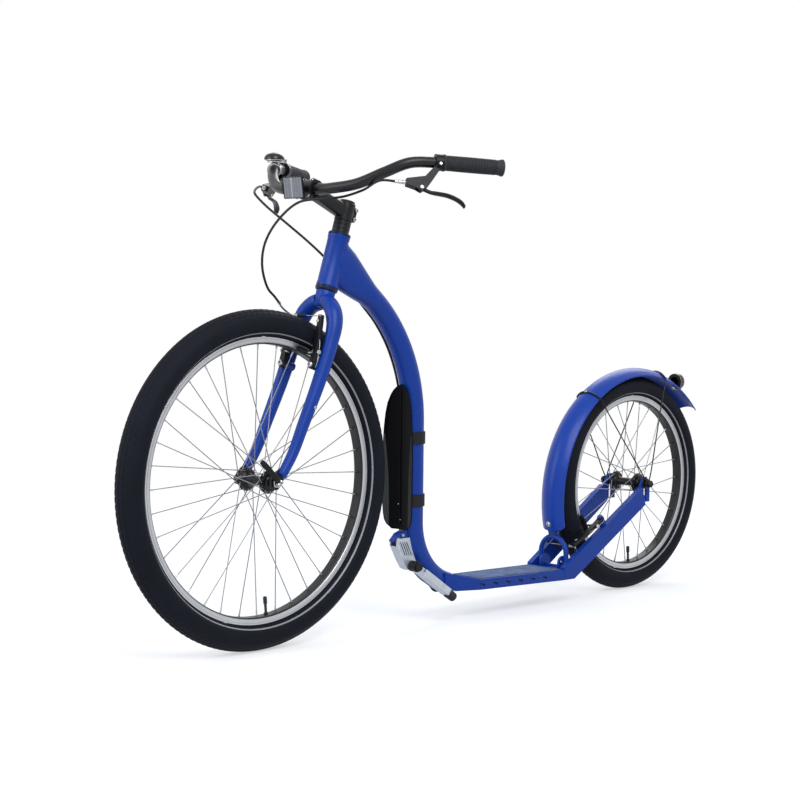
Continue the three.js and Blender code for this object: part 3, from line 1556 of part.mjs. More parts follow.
function stemFaceplate() {
  const gap = spacerGroove;
  const front = steeringBlock(
    barHeight - 2 * barClampOuter,
    barHeight + 2 * barClampOuter,
    stemLength + seatGap + gap,
    stemLength + 2 * barClampOuter,
    barClampWidth,
  );
  const half = toSolid(acrossBar(barClampOuter, barClampWidth / 2)).intersect(toSolid(front));
  const bolts = [-1, 1].flatMap((way) =>
    [-1, 1].map((side) => {
      const height = barHeight + way * (barClampOuter - barClampWall / 2);
      const y = (side * barClampWidth) / 3;
      return rod(
        onSteering(height, stemLength + seatGap + gap, y),
        onSteering(height, stemLength + barClampWall * faceBoltShare, y),
        barClampWall / 2,
        cableSides,
      );
    }),
  );
  return cut(half.add(join(...bolts)), acrossBar(barClampRadius + 2 * seatGap, barClampWidth));
}

// Handlebar: straight through the clamp, forward of the hands, then swept back to the grips

function barPlace(share, side) {
  const [back, wide, rise] = share;
  return barMiddle.clone().add(point(-back * barSetback, side * wide * barHalfWidth, rise * barRise));
}

const gripRow = barRouteShares[barRouteShares.length - 1];
const barEndShare = [1, 1, barEndRiseShare];
const clampPlace = barPlace(gripRow, 1);
const gripAlong = barPlace(barEndShare, 1).sub(clampPlace).normalize();
const gripSpan = barPlace(barEndShare, 1).distanceTo(clampPlace);

function barSkin(gap) {
  const left = barRouteShares.map((share) => barPlace(share, 1));
  const right = barRouteShares.map((share) => barPlace(share, -1)).reverse();
  const curve = new THREE.CatmullRomCurve3([...right, ...left], false, "centripetal");
  const middles = [];
  for (let i = 0; i <= barSteps; i += 1) {
    const middle = curve.getPointAt(i / barSteps);
    middles.push({ middle, along: curve.getTangentAt(i / barSteps) });
  }
  const end = gripSpan - gripCap - seatGap;
  const tip = (side) => {
    const along = gripAlong.clone().multiply(point(1, side, 1));
    const start = clampPlace.clone().multiply(point(1, side, 1));
    return { middle: start.addScaledVector(along, end), along: along.multiplyScalar(side) };
  };
  const sections = [tip(-1), ...middles, tip(1)].map(({ middle, along }) => {
    const taper = (Math.abs(middle.y) - barClampWidth / 2 - cutOverrun) / barTaper;
    const radius = lerp(barClampRadius, barRadius, THREE.MathUtils.clamp(taper, 0, 1)) + gap;
    const across = along.clone().cross(point(0, 0, 1)).normalize();
    return {
      middle,
      across: across.clone().multiplyScalar(radius),
      up: across.clone().cross(along).multiplyScalar(radius),
    };
  });
  return loft(sections, barSides);
}

function leftGrip() {
  const inner = barRadius + 3 * seatGap;
  const start = leverClampWidth / 2 + seatGap;
  const length = gripSpan - start;
  const outline = [
    [inner, 0],
    [gripEndRadius, 0],
    [gripEndRadius, gripCap],
    [gripRadius, 2 * gripCap],
    [gripRadius, length - 2 * gripCap],
    [gripEndRadius, length - gripCap],
    [gripEndRadius, length - gripCap / 2],
    [gripRadius, length],
    [0, length],
    [0, length - gripCap],
    [inner, length - gripCap],
    [inner, 0],
  ];
  return turned(outline, clampPlace.clone().addScaledVector(gripAlong, start), gripAlong, steererSides);
}

// Brake levers, in a frame at the clamp: X towards the lever pivot, Y along the pivot, Z along the grip

const leverDown = point(0, 0, -1)
  .addScaledVector(gripAlong, gripAlong.z)
  .normalize()
  .applyAxisAngle(gripAlong, degrees(-leverTilt));
const leverAxis = gripAlong.clone().cross(leverDown);
const leverFrame = new THREE.Matrix4().makeBasis(leverDown, leverAxis, gripAlong).setPosition(clampPlace);
const onLever = (x, y, z) => point(x, y, z).applyMatrix4(leverFrame);
const barrelStart = -leverInset - barrelInset;

function leverPerch() {
  const clamp = rod(
    point(0, 0, -leverClampWidth / 2),
    point(0, 0, leverClampWidth / 2),
    leverClampRadius,
    steererSides,
  );
  const outline = perchOutlineShares.map(([x, z]) => [x * leverDrop, -z * barrelStart]);
  const body = sidePlate(outline, -leverBodyHalf, leverBodyHalf);
  const slotHalf = leverHubHalf + seatGap;
  const slot = block(
    point(leverDrop * leverSlotShare, -slotHalf, -leverInset - 2 * leverHubRadius),
    point(2 * leverDrop, slotHalf, leverReach),
  );
  const pin = rod(
    point(leverDrop, -leverBodyHalf, -leverInset),
    point(leverDrop, leverBodyHalf, -leverInset),
    leverPinRadius,
    cableSides,
  );
  const placed = (geometry) => geometry.applyMatrix4(leverFrame);
  const shape = cut(join(placed(clamp), placed(body)), placed(slot), barSkin(seatGap));
  return shape.add(toSolid(placed(pin)));
}

function barrelAdjuster() {
  const x = leverDrop - barrelRaise;
  const outline = [
    [0, seatGap],
    [barrelRadius * barrelNeckShare, seatGap],
    [barrelRadius * barrelNeckShare, barrelLength / 4],
    [barrelRadius, barrelLength / 4],
    [barrelRadius, barrelLength * barrelNeckShare],
    [barrelRadius * barrelNeckShare, barrelLength],
    [0, barrelLength],
  ];
  const start = onLever(x, 0, barrelStart * barrelSeatShare);
  return turned(outline, start, gripAlong.clone().negate(), cableSides);
}

function brakeLever() {
  const hubEnd = (y) => point(leverDrop, y, -leverInset);
  const hub = rod(hubEnd(-leverHubHalf), hubEnd(leverHubHalf), leverHubRadius, steererSides);
  const bore = rod(hubEnd(-leverBodyHalf), hubEnd(leverBodyHalf), leverPinRadius + seatGap, cableSides);
  const sections = bladeShares.map(([reach, opening, width]) => ({
    middle: point(leverDrop + opening * leverOpening, 0, -leverInset + reach * leverReach),
    across: point(0, width * bladeHalfWidth, 0),
    up: point(bladeHalfThickness, 0, -bladeHalfThickness * bladeLeanShare),
  }));
  const blade = loft(sections, cableSides);
  return cut(join(hub, blade), bore).transform(leverFrame.elements);
}

// Bell on the right of the handlebar

const bellRow = barRouteShares[barRouteShares.length - 2];
const bellPlace = barPlace(bellRow, -1);
const bellAt = (height, x = 0, y = 0) => bellPlace.clone().add(point(x, y, height));

function bellBase() {
  const along = barPlace(gripRow, -1).sub(barPlace(barRouteShares[barRouteShares.length - 3], -1)).normalize();
  const half = along.clone().multiplyScalar(bellClampWidth / 2);
  const clamp = rod(bellPlace.clone().sub(half), bellPlace.clone().add(half), bellClampRadius, tubeSides);
  const inner = bellRise + bellHeight - bellWall;
  const disc = rod(bellAt(bellClampRadius), bellAt(bellClampRadius + 2 * bellWall), bellClampRadius, tubeSides);
  const post = rod(bellAt(barRadius), bellAt(inner - seatGap), bellPostRadius, cableSides);
  const screwTop = bellAt(bellRise + bellHeight + 2 * seatGap);
  const screw = rod(bellAt(inner - 2 * seatGap), screwTop, bellScrewRadius, cableSides);
  const head = rod(
    bellAt(bellRise + bellHeight + seatGap),
    bellAt(bellRise + bellHeight + 2 * bellWall),
    bellPostRadius,
    cableSides,
  );
  const pin = rod(
    bellAt(bellClampRadius, -strikerPinOffset),
    bellAt(bellClampRadius + 2 * bellWall + strikerThickness + 2 * seatGap, -strikerPinOffset),
    strikerPinRadius,
    cableSides,
  );
  return cut(join(clamp, disc, post, screw, head, pin), barSkin(seatGap));
}

function bellDome() {
  const hole = bellScrewRadius + seatGap;
  const outer = bellOutlineShares.map(([r, z]) => [r * bellRadius, z * bellHeight]);
  const innerRadius = bellRadius - bellWall;
  const innerHeight = bellHeight - bellWall;
  const inner = bellOutlineShares.map(([r, z]) => [r * innerRadius, z * innerHeight]).reverse();
  const outline = [...outer, [hole, bellHeight], [hole, innerHeight], ...inner, outer[0]];
  return turned(outline, bellAt(bellRise), point(0, 0, 1), steererSides);
}

function bellStriker() {
  const low = bellClampRadius + 2 * bellWall + seatGap;
  const high = low + strikerThickness;
  const at = (height, x, y = 0) => bellAt(height, x, y);
  const hub = rod(at(low, -strikerPinOffset), at(high, -strikerPinOffset), strikerHubRadius, cableSides);
  const arm = block(
    at(low, -strikerPinOffset - strikerReach, -strikerHalfWidth),
    at(high, -strikerPinOffset, strikerHalfWidth),
  );
  const thumb = block(
    at(low - strikerThickness, -strikerPinOffset - strikerReach, -2 * strikerHalfWidth),
    at(high + strikerThickness, -strikerPinOffset - strikerReach + strikerThickness, 2 * strikerHalfWidth),
  );
  const knobX = -strikerPinOffset - strikerHalfWidth;
  const sideArm = block(
    at(low, knobX - strikerHalfWidth / 2, 0),
    at(high, knobX + strikerHalfWidth, strikerPinOffset + strikerHalfWidth),
  );
  const knob = rod(
    at(low, knobX, strikerPinOffset + strikerHalfWidth),
    at(bellRise + bellHeight / 4, knobX, strikerPinOffset + strikerHalfWidth),
    strikerKnobRadius,
    cableSides,
  );
  const bore = rod(
    at(low - cutOverrun, -strikerPinOffset),
    at(high + cutOverrun, -strikerPinOffset),
    strikerPinRadius + seatGap,
    cableSides,
  );
  return cut(join(hub, arm, thumb, sideArm, knob), bore);
}

// Front reflector, on an arm from its own clamp beside the stem

const reflectorTurn = (geometry) =>
  geometry.rotateY(degrees(reflectorTilt)).translate(barMiddle.x, barMiddle.y, barMiddle.z);

function reflectorBracket() {
  const [near, far] = [-reflectorClampOffset - reflectorClampHalf, -reflectorClampOffset + reflectorClampHalf];
  const ring = rod(point(0, near, 0), point(0, far, 0), reflectorClampRadius, tubeSides);
  const arm = block(
    point(barClampRadius, near, -reflectorClampHalf),
    point(reflectorReach + reflectorPlate / 2, far, reflectorClampHalf),
  );
  const plate = block(
    point(reflectorReach, near, reflectorRise - reflectorHeight / 4),
    point(reflectorReach + reflectorPlate, reflectorSide + reflectorWidth / 4, reflectorRise + reflectorHeight / 4),
  );
  const pieces = [ring, arm, plate].map(reflectorTurn);
  return cut(join(...pieces), barSkin(seatGap));
}

function reflectorLens() {
  const back = reflectorReach + reflectorPlate + seatGap;
  const front = back + reflectorThickness;
  const facet = (reflectorWidth / 2) * reflectorFacetShare;
  const edge = back + reflectorThickness * reflectorFacetShare;
  const half = reflectorWidth / 2;
  const plan = [
    [back, -half],
    [edge, -half],
    [front, -facet],
    [front, facet],
    [edge, half],
    [back, half],
  ].map(([x, y]) => [x, y + reflectorSide]);
  const [low, high] = [reflectorRise - reflectorHeight / 2, reflectorRise + reflectorHeight / 2];
  return reflectorTurn(planPlate(plan, low, high));
}

// Front axle with its cam, and the quick release lever

const leverOut = point(Math.cos(degrees(quickLeverAngle)), 0, Math.sin(degrees(quickLeverAngle)));
const camAxis = point(-Math.sin(degrees(quickLeverAngle)), 0, Math.cos(degrees(quickLeverAngle)));
const forkOuter = hubWidth / 2 + seatGap + dropoutThickness;
const camPivotY = forkOuter + skewerNutWidth;

function frontAxleSet() {
  const at = (y) => frontAxle.clone().add(point(0, y, 0));
  const seat = forkOuter + seatGap;
  const bar = rod(at(-seat - skewerNutWidth / 2), at(seat + seatGap), frontAxleRadius, steererSides);
  const nutTip = skewerNutRadius * nutTaperShare;
  const nut = rod(at(-seat), at(-seat - skewerNutWidth), skewerNutRadius, cableSides, nutTip);
  const housing = rod(at(seat), at(seat + skewerNutWidth / 2), skewerNutRadius, tubeSides);
  const tabHalf = frontAxleRadius / 2;
  const tab = new THREE.BoxGeometry(2 * frontAxleRadius, camPivotY - seat, 2 * tabHalf)
    .rotateY(-Math.atan2(leverOut.z, leverOut.x))
    .translate(frontAxle.x, (camPivotY + seat) / 2 + tabHalf, frontAxle.z);
  const pinHalf = camAxis.clone().multiplyScalar(skewerNutRadius * nutTaperShare);
  const pin = rod(at(camPivotY).sub(pinHalf), at(camPivotY).add(pinHalf), tabHalf * camPinShare, cableSides);
  return join(bar, nut, housing, tab, pin);
}

function quickLever() {
  const pivot = frontAxle.clone().add(point(0, camPivotY, 0));
  const tabHalf = frontAxleRadius / 2;
  const lobeHalf = camAxis.clone().multiplyScalar(skewerNutRadius * lobeShare);
  const camRadius = skewerNutWidth / 2 - seatGap;
  const lobes = rod(pivot.clone().sub(lobeHalf), pivot.clone().add(lobeHalf), camRadius, steererSides);
  const sections = quickLeverShares.map(([way, out, wide]) => ({
    middle: pivot
      .clone()
      .addScaledVector(leverOut, way * quickLeverLength)
      .add(point(0, out * quickLeverLength, 0)),
    across: camAxis.clone().multiplyScalar(wide * skewerNutRadius * lobeShare),
    up: point(0, frontAxleRadius * quickLeverFlatShare, 0),
    power: lobeShare,
  }));
  const blade = loft(sections, cableSides);
  const slotHalf = camAxis.clone().multiplyScalar(frontAxleRadius / 2 + seatGap);
  const slotRadius = camRadius + cutOverrun * camSlotShare;
  const slot = rod(pivot.clone().sub(slotHalf), pivot.clone().add(slotHalf), slotRadius, steererSides);
  const boreHalf = camAxis.clone().multiplyScalar(skewerNutRadius);
  const boreRadius = tabHalf * camPinShare + seatGap;
  const bore = rod(pivot.clone().sub(boreHalf), pivot.clone().add(boreHalf), boreRadius, cableSides);
  return cut(join(lobes, blade), slot, bore);
}

// Brake arms, in a frame at the pivot: X away from the wheel, Y along the pivot, Z along the arm

function brakeArm(spread) {
  const outline = brakeArmShares.map(([x, z]) => [x * brakeArmWidth, z * brakeArmLength]);
  const half = brakeArmThickness / 2;
  const arm = sidePlate(outline, -half, half);
  const hub = rod(point(0, -half, 0), point(0, half, 0), brakePivotBoss, 12);
  const padFace = rimWidth / 2 + padGap - spread;
  const padBack = padFace + padThickness;
  const pad = block(
    point(padFace, -padLength / 2, padRise - padHeight / 2),
    point(padBack, padLength / 2, padRise + padHeight / 2),
  );
  const stud = rod(point(padBack - padStudRadius / 2, 0, padRise), point(brakeArmWidth, 0, padRise), padStudRadius, cableSides);
  const bore = rod(point(0, -brakeArmWidth, 0), point(0, brakeArmWidth, 0), brakePivotPin + seatGap, 12);
  return cut(join(arm, hub, pad, stud), bore);
}

function placedArm(solid, pivot, axis, along, side) {
  const frame = new THREE.Matrix4().makeBasis(point(0, side, 0), axis, along).setPosition(pivot);
  return toGeometry(solid).applyMatrix4(frame);
}

function frontArm(side) {
  const pivot = onSteering(frontPivotRadius, brakePlaneForward, side * frontPivotSpread);
  return placedArm(brakeArm(frontPivotSpread), pivot, steeringForward, steeringUp, side);
}

function rearArm(side) {
  const lift = brakeLift + brakeArmThickness / 2;
  const pivot = onStay(rearPivotRadius, lift, side * rearPivotSpread);
  return placedArm(brakeArm(rearPivotSpread), pivot, stayUp, stayAlong, side);
}

// A bent guide tube at the tip of one arm, with the boot and the bare wire that runs on to the other arm
function noodle(route, side, end) {
  const tube = bentRod(route, noodleRadius, cableSides, 14);
  const last = route[route.length - 1];
  const inner = last.clone().add(point(0, side * wireRadius, 0));
  const bootEnd = last.clone().add(point(0, -side * bootLength, 0));
  const wireEnd = last.clone().setY(-side * end);
  return join(
    tube,
    rod(inner, bootEnd, bootRadius, cableSides, bootRadius * bootTaperShare),
    rod(bootEnd.clone().add(point(0, side * wireRadius, 0)), wireEnd, wireRadius, 6),
  );
}

const tipHeight = frontPivotRadius + brakeArmLength * armTipShare;
const frontWireForward = brakePlaneForward + brakeArmThickness / 2 + seatGap + noodleRadius;

// A place in front of the tip of the right front brake arm.
const beforeFrontTip = ([forward, height, side]) =>
  onSteering(tipHeight + height * bootLength, frontWireForward + forward * bootLength, -side * frontPivotSpread);

function frontNoodle() {
  return noodle(frontNoodleShares.map(beforeFrontTip), -1, frontPivotSpread);
}

const rearTip = rearPivotRadius + brakeArmLength * armTipShare;
const rearWireLift = brakeLift - seatGap - noodleRadius;

// A place behind the bridge at the rear end of the deck.
const behindDeck = ([behind, side, rise]) =>
  point(bridgeEnd - behind * cableRadius, side * rearPivotSpread, deckUnderside(bridgeEnd) + rise * deckHeight);

function rearNoodle() {
  const route = [
    ...rearNoodleShares.map(behindDeck),
    ...rearTipShares.map((side) => onStay(rearTip, rearWireLift, side * rearPivotSpread)),
  ];
  return noodle(route, 1, rearPivotSpread);
}

// Cable housings along their real routes

// A place given by shares of the height from the crown to the bar, of the stem and of the bar.
const nearBar = ([height, forward, side]) =>
  onSteering(lerp(forkLength, barHeight, height), forward * stemLength, side * barHalfWidth);

function frontCable() {
  const x = leverDrop - barrelRaise;
  const start = barrelStart * barrelSeatShare - barrelLength - 2 * seatGap;
  const route = [
    onLever(x, 0, start),
    onLever(x, 0, start - 2 * barrelLength),
    ...frontCableShares.map(nearBar),
    beforeFrontTip(frontCableEndShares),
  ];
  return bentRod(route, cableRadius, cableSides, 44);
}

// A place beside the flare of the main tube, on its right.
function besideFlare([way, lift, side]) {
  const slope = tubeArcTop.clone().sub(headMiddle).normalize();
  return headMiddle
    .clone()
    .lerp(tubeArcTop, way)
    .addScaledVector(point(-slope.z, 0, slope.x), lift * tubeFlareHeight)
    .add(point(0, -side * mainTubeRadius, 0));
}

function rearCableLead() {
  const x = leverDrop - barrelRaise;
  const start = barrelStart * barrelSeatShare - barrelLength - 2 * seatGap;
  const mirror = point(1, -1, 1);
  const route = [
    onLever(x, 0, start).multiply(mirror),
    onLever(x, 0, start - barrelLength).multiply(mirror),
    ...leadShares.map(nearBar),
    ...headCableShares.slice(0, leadEndRow).map(besideFlare),
  ];
  return bentRod(route, cableRadius, cableSides, 24);
}

function rearCable() {
  const turn = degrees(cableSideAngle);
  const reach = mainTubeRadius + 3 * seatGap + cableRadius;
  const beside = tubeLine().map(({ place, out }) =>
    place.clone().addScaledVector(out, reach * Math.cos(turn)).add(point(0, -reach * Math.sin(turn), 0)),
  );
  const below = (x, side, drop) => point(x, side * deckHalfWidth, deckUnderside(x) - drop * cableRadius);
  const underDeck = [
    ...underNoseShares.map(([ahead, side, drop]) => below(deckFront + ahead * noseLength, side, drop)),
    ...underDeckShares.map(([way, side, drop]) => below(deckFront - way * deckLength, side, drop)),
  ];
  const route = [
    ...headCableShares.slice(leadEndRow).map(besideFlare),
    ...beside.slice(0, -1),
    ...underDeck,
    ...deckEndShares.map(behindDeck),
  ];
  return bentRod(route, cableRadius, cableSides, 76);
}

// The whole bike

const frame = new THREE.Group();
frame.add(
  makeMesh("main_tube", mainTube(), "blue"),
  makeMesh("deck", deck(), "blue"),
  makeMesh("grip_tape", gripTape(), "tape"),
  makeMesh("left_chainstay", leftStay(), "blue"),
  makeMesh("right_chainstay", mirrored(leftStay()), "blue"),
  makeMesh("rear_hoop", rearHoop(), "blue"),
  makeMesh("upper_headset_cup", cup(onSteering(headTubeTop, 0), steeringUp, upperCupHeight), "black"),
  makeMesh(
    "lower_headset_cup",
    cup(onSteering(headTubeBottom, 0), steeringUp.clone().negate(), lowerCupHeight),
    "black",
  ),
  makeMesh("downtube_guard", guard(), "black"),
  makeMesh("upper_guard_strap", guardStrap(strapMiddle(upperStrapShare)), "rubber"),
  makeMesh("lower_guard_strap", guardStrap(strapMiddle(lowerStrapShare)), "rubber"),
  makeMesh("rear_fender", fender(), "blue"),
  makeMesh("front_fender_stay", fenderStay(frontStayAngle, frontEyelet), "black"),
  makeMesh("rear_fender_stay", fenderStay(rearStayAngle, rearEyelet), "black"),
  makeMesh("front_stay_clip", stayClip(frontStayAngle), "black"),
  makeMesh("rear_stay_clip", stayClip(rearStayAngle), "black"),
  makeMesh("rear_reflector_housing", rearReflectorHousing(), "black"),
  makeMesh("rear_reflector_lens", rearReflectorLens(), "red"),
  makeMesh("stand_bracket", standBracket(), "silver"),
  makeMesh("stand_leg", standLeg(), "silver"),
  makeMesh("stand_foot", standFoot(), "rubber"),
  makeMesh("rear_axle", rearAxleSet(), "black"),
  makeMesh("rear_brake_cable", rearCable(), "housing"),
  makeMesh("left_rear_brake_arm", rearArm(1), "black"),
  makeMesh("right_rear_brake_arm", rearArm(-1), "black"),
  makeMesh("rear_brake_noodle", rearNoodle(), "silver"),
);

const steering = new THREE.Group();
steering.add(
  makeMesh("fork", fork(), "blue"),
  makeMesh("headset_spacers", spacers(), "black"),
  makeMesh("top_cap", topCap(), "black"),
  makeMesh("stem", stem(), "black"),
  makeMesh("stem_faceplate", stemFaceplate(), "black"),
  makeMesh("handlebar", barSkin(0), "black"),
  makeMesh("left_grip", leftGrip(), "rubber"),
  makeMesh("right_grip", mirrored(leftGrip()), "rubber"),
  makeMesh("left_lever_perch", leverPerch(), "black"),
  makeMesh("right_lever_perch", mirrored(leverPerch()), "black"),
  makeMesh("left_barrel_adjuster", barrelAdjuster(), "silver"),
  makeMesh("right_barrel_adjuster", mirrored(barrelAdjuster()), "silver"),
  makeMesh("left_brake_lever", brakeLever(), "black"),
  makeMesh("right_brake_lever", mirrored(brakeLever()), "black"),
  makeMesh("bell_base", bellBase(), "silver"),
  makeMesh("bell_dome", bellDome(), "bronze"),
  makeMesh("bell_striker", bellStriker(), "silver"),
  makeMesh("front_reflector_bracket", reflectorBracket(), "black"),
  makeMesh("front_reflector_lens", reflectorLens(), "clear"),
  makeMesh("front_axle", frontAxleSet(), "silver"),
  makeMesh("quick_release_lever", quickLever(), "black"),
  makeMesh("left_front_brake_arm", frontArm(1), "black"),
  makeMesh("right_front_brake_arm", frontArm(-1), "black"),
  makeMesh("front_brake_noodle", frontNoodle(), "silver"),
  makeMesh("front_brake_cable", frontCable(), "housing"),
  makeMesh("rear_brake_cable_lead", rearCableLead(), "housing"),
);

const kickBike = new THREE.Group();
kickBike.add(
  frame,
  steering,
  wheel("front", {
    radius: frontWheelRadius,
    width: frontTyreWidth,
    rimRadius: frontRimRadius,
    spokes: frontSpokes,
    crossings: frontCrossings,
    axleRadius: frontAxleRadius,
    valveAngle: frontValveAngle,
    axle: frontAxle,
  }),
  wheel("rear", {
    radius: rearWheelRadius,
    width: rearTyreWidth,
    rimRadius: rearRimRadius,
    spokes: rearSpokes,
    crossings: rearCrossings,
    axleRadius: rearAxleRadius,
    valveAngle: rearValveAngle,
    axle: rearAxle,
  }),
);

export default kickBike;
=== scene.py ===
import json
import math
import bmesh
import bpy
from mathutils import Matrix, Vector


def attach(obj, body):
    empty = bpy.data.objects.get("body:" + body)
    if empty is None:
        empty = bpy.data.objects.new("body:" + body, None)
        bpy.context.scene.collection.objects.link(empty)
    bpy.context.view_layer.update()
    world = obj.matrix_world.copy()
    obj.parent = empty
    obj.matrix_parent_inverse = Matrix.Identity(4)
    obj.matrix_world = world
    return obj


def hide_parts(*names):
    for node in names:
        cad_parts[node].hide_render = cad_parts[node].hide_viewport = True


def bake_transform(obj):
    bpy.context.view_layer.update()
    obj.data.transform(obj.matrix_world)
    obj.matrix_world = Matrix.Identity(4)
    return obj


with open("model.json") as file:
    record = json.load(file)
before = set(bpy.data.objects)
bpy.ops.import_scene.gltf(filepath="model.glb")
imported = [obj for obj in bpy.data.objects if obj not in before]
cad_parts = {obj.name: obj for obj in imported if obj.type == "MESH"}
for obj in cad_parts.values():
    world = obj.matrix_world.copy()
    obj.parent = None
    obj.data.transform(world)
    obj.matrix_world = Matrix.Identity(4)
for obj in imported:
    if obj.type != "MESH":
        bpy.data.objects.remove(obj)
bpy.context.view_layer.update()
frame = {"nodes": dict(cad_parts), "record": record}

scene = bpy.context.scene
print("frame loaded,", len(frame["nodes"]), "solids")

# Everything below is in millimetres and goes to metres when a mesh is made.
mm = 0.001


# Geometry tools

def v(x, y, z):
    return Vector((x, y, z))


def lerp(a, b, t):
    return a + (b - a) * t


def clamp(t):
    return max(0.0, min(1.0, t))


def interp(rows, x):
    # value at x in rows of (x, value), with straight lines between them
    if x <= rows[0][0]:
        return rows[0][1]
    for (x0, y0), (x1, y1) in zip(rows, rows[1:]):
        if x <= x1:
            return lerp(y0, y1, (x - x0) / (x1 - x0))
    return rows[-1][1]


def smoothPath(points, spacing):
    # a centripetal spline through the points, then evenly spaced along its length
    n, stepsPerSpan = len(points), 24
    dense = []
    for i in range(n - 1):
        p1, p2 = points[i], points[i + 1]
        p0 = points[i - 1] if i else p1 * 2 - p2
        p3 = points[i + 2] if i + 2 < n else p2 * 2 - p1
        d0, d1, d2 = [max((b - a).length, 1e-4) ** 0.5 for a, b in ((p0, p1), (p1, p2), (p2, p3))]
        t1 = ((p1 - p0) / d0 - (p2 - p0) / (d0 + d1) + (p2 - p1) / d1) * d1
        t2 = ((p2 - p1) / d1 - (p3 - p1) / (d1 + d2) + (p3 - p2) / d2) * d1
        square = p1 * -3 + p2 * 3 - t1 * 2 - t2
        cube = p1 * 2 - p2 * 2 + t1 + t2
        for k in range(stepsPerSpan):
            t = k / stepsPerSpan
            dense.append(p1 + t1 * t + square * t * t + cube * t ** 3)
    dense.append(points[-1].copy())
    lengths = [0.0]
    for a, b in zip(dense, dense[1:]):
        lengths.append(lengths[-1] + (b - a).length)
    count = max(2, round(lengths[-1] / spacing))
    out, k = [], 0
    for i in range(count + 1):
        want = lengths[-1] * i / count
        while k < len(dense) - 2 and lengths[k + 1] < want:
            k += 1
        span = lengths[k + 1] - lengths[k] or 1
        out.append(dense[k].lerp(dense[k + 1], clamp((want - lengths[k]) / span)))
    return out


def crossAxes(direction):
    # two directions square to it and to each other
    ref = v(0, 0, 1) if abs(direction.z) < 0.9 else v(1, 0, 0)
    side = direction.cross(ref).normalized()
    return side, side.cross(direction)


def directionAt(path, i):
    return (path[min(i + 1, len(path) - 1)] - path[max(i - 1, 0)]).normalized()


def alongPath(path):
    # a turning frame carried along a path: place, direction, side, up
    rows = []
    side = None
    for i, p in enumerate(path):
        d = directionAt(path, i)
        if side is None:
            side = crossAxes(d)[0]
        else:
            side = (side - d * side.dot(d)).normalized()
        rows.append((p, d, side, side.cross(d)))
    return rows


def makePiece(name, data):
    # an object from points in millimetres and their faces
    mesh = bpy.data.meshes.new(name)
    mesh.from_pydata([tuple(p * mm) for p in data[0]], [], data[1])
    piece = bpy.data.objects.new(name, mesh)
    scene.collection.objects.link(piece)
    return piece


def loftRings(rings, closed=False):
    count = len(rings[0])
    verts = [p for ring in rings for p in ring]
    faces = []
    rows = len(rings) if closed else len(rings) - 1
    for r in range(rows):
        a, b = r * count, ((r + 1) % len(rings)) * count
        for i in range(count):
            j = (i + 1) % count
            faces.append((a + i, a + j, b + j, b + i))
    if not closed:
        faces.append(tuple(range(count - 1, -1, -1)))
        last = (len(rings) - 1) * count
        faces.append(tuple(last + i for i in range(count)))
    return verts, faces


def ringAt(middle, side, up, radius, sides, power=1.0, flatten=1.0):
    ring = []
    for i in range(sides):
        t = 2 * math.pi * i / sides
        c, s = math.cos(t), math.sin(t)
        if power != 1:
            c = math.copysign(abs(c) ** power, c)
            s = math.copysign(abs(s) ** power, s)
        ring.append(middle + side * (c * radius) + up * (s * radius * flatten))
    return ring


def tubeData(path, radius, sides=16):
    rings = []
    total = len(path) - 1
    for i, (p, d, side, up) in enumerate(alongPath(path)):
        r = radius(i / total) if callable(radius) else radius
        rings.append(ringAt(p, side, up, r, sides))
    return loftRings(rings)


def latheData(profile, start, axis, steps=48):
    # profile rows are (radius, along), and rows on the axis close the piece
    axis = axis.normalized()
    side, up = crossAxes(axis)
    verts, faces, rows = [], [], []
    for radius, along in profile:
        middle = start + axis * along
        if radius < 1e-6:
            rows.append([len(verts)])
            verts.append(middle)
        else:
            rows.append(list(range(len(verts), len(verts) + steps)))
            verts += ringAt(middle, side, up, radius, steps)
    for a, b in zip(rows, rows[1:]):
        for i in range(steps):
            j = (i + 1) % steps
            if len(a) == 1 and len(b) == 1:
                continue
            if len(a) == 1:
                faces.append((a[0], b[j], b[i]))
            elif len(b) == 1:
                faces.append((a[i], a[j], b[0]))
            else:
                faces.append((a[i], a[j], b[j], b[i]))
    return verts, faces


def sleeveData(inner, outer, low, high, slant, rise, start, axis, steps):
    # a round band with a bore, from low to high along its axis, with its outer corners cut
    profile = [(inner, low), (outer - slant, low), (outer, low + rise), (outer, high - rise),
               (outer - slant, high), (inner, high), (inner, low)]
    return latheData(profile, start, axis, steps)


def boxData(low, high, frameOf=None):
    corners = [v(x, y, z) for x in (low[0], high[0]) for y in (low[1], high[1]) for z in (low[2], high[2])]
    if frameOf:
        corners = [frameOf(p) for p in corners]
    faces = [(0, 1, 3, 2), (4, 6, 7, 5), (0, 4, 5, 1), (2, 3, 7, 6), (0, 2, 6, 4), (1, 5, 7, 3)]
    return corners, faces


def plateData(outline, low, high, place):
    # outline rows are (a, b), and place turns (a, across, b) into a point
    n = len(outline)
    verts = [place(a, low, b) for a, b in outline] + [place(a, high, b) for a, b in outline]
    faces = [tuple(range(n)), tuple(range(2 * n - 1, n - 1, -1))]
    faces += [(i, i + n, (i + 1) % n + n, (i + 1) % n) for i in range(n)]
    return verts, faces


def addUp(*parts):
    verts, faces = [], []
    for pv, pf in parts:
        base = len(verts)
        verts += pv
        faces += [tuple(i + base for i in f) for f in pf]
    return verts, faces


def rodData(start, end, radius, sides=24, endRadius=None, chamfer=0.0):
    length = (end - start).length
    endRadius = radius if endRadius is None else endRadius
    if chamfer:
        profile = [(0, 0), (radius - chamfer, 0), (radius, chamfer), (endRadius, length - chamfer),
                   (endRadius - chamfer, length), (0, length)]
    else:
        profile = [(0, 0), (radius, 0), (endRadius, length), (0, length)]
    return latheData(profile, start, end - start, sides)


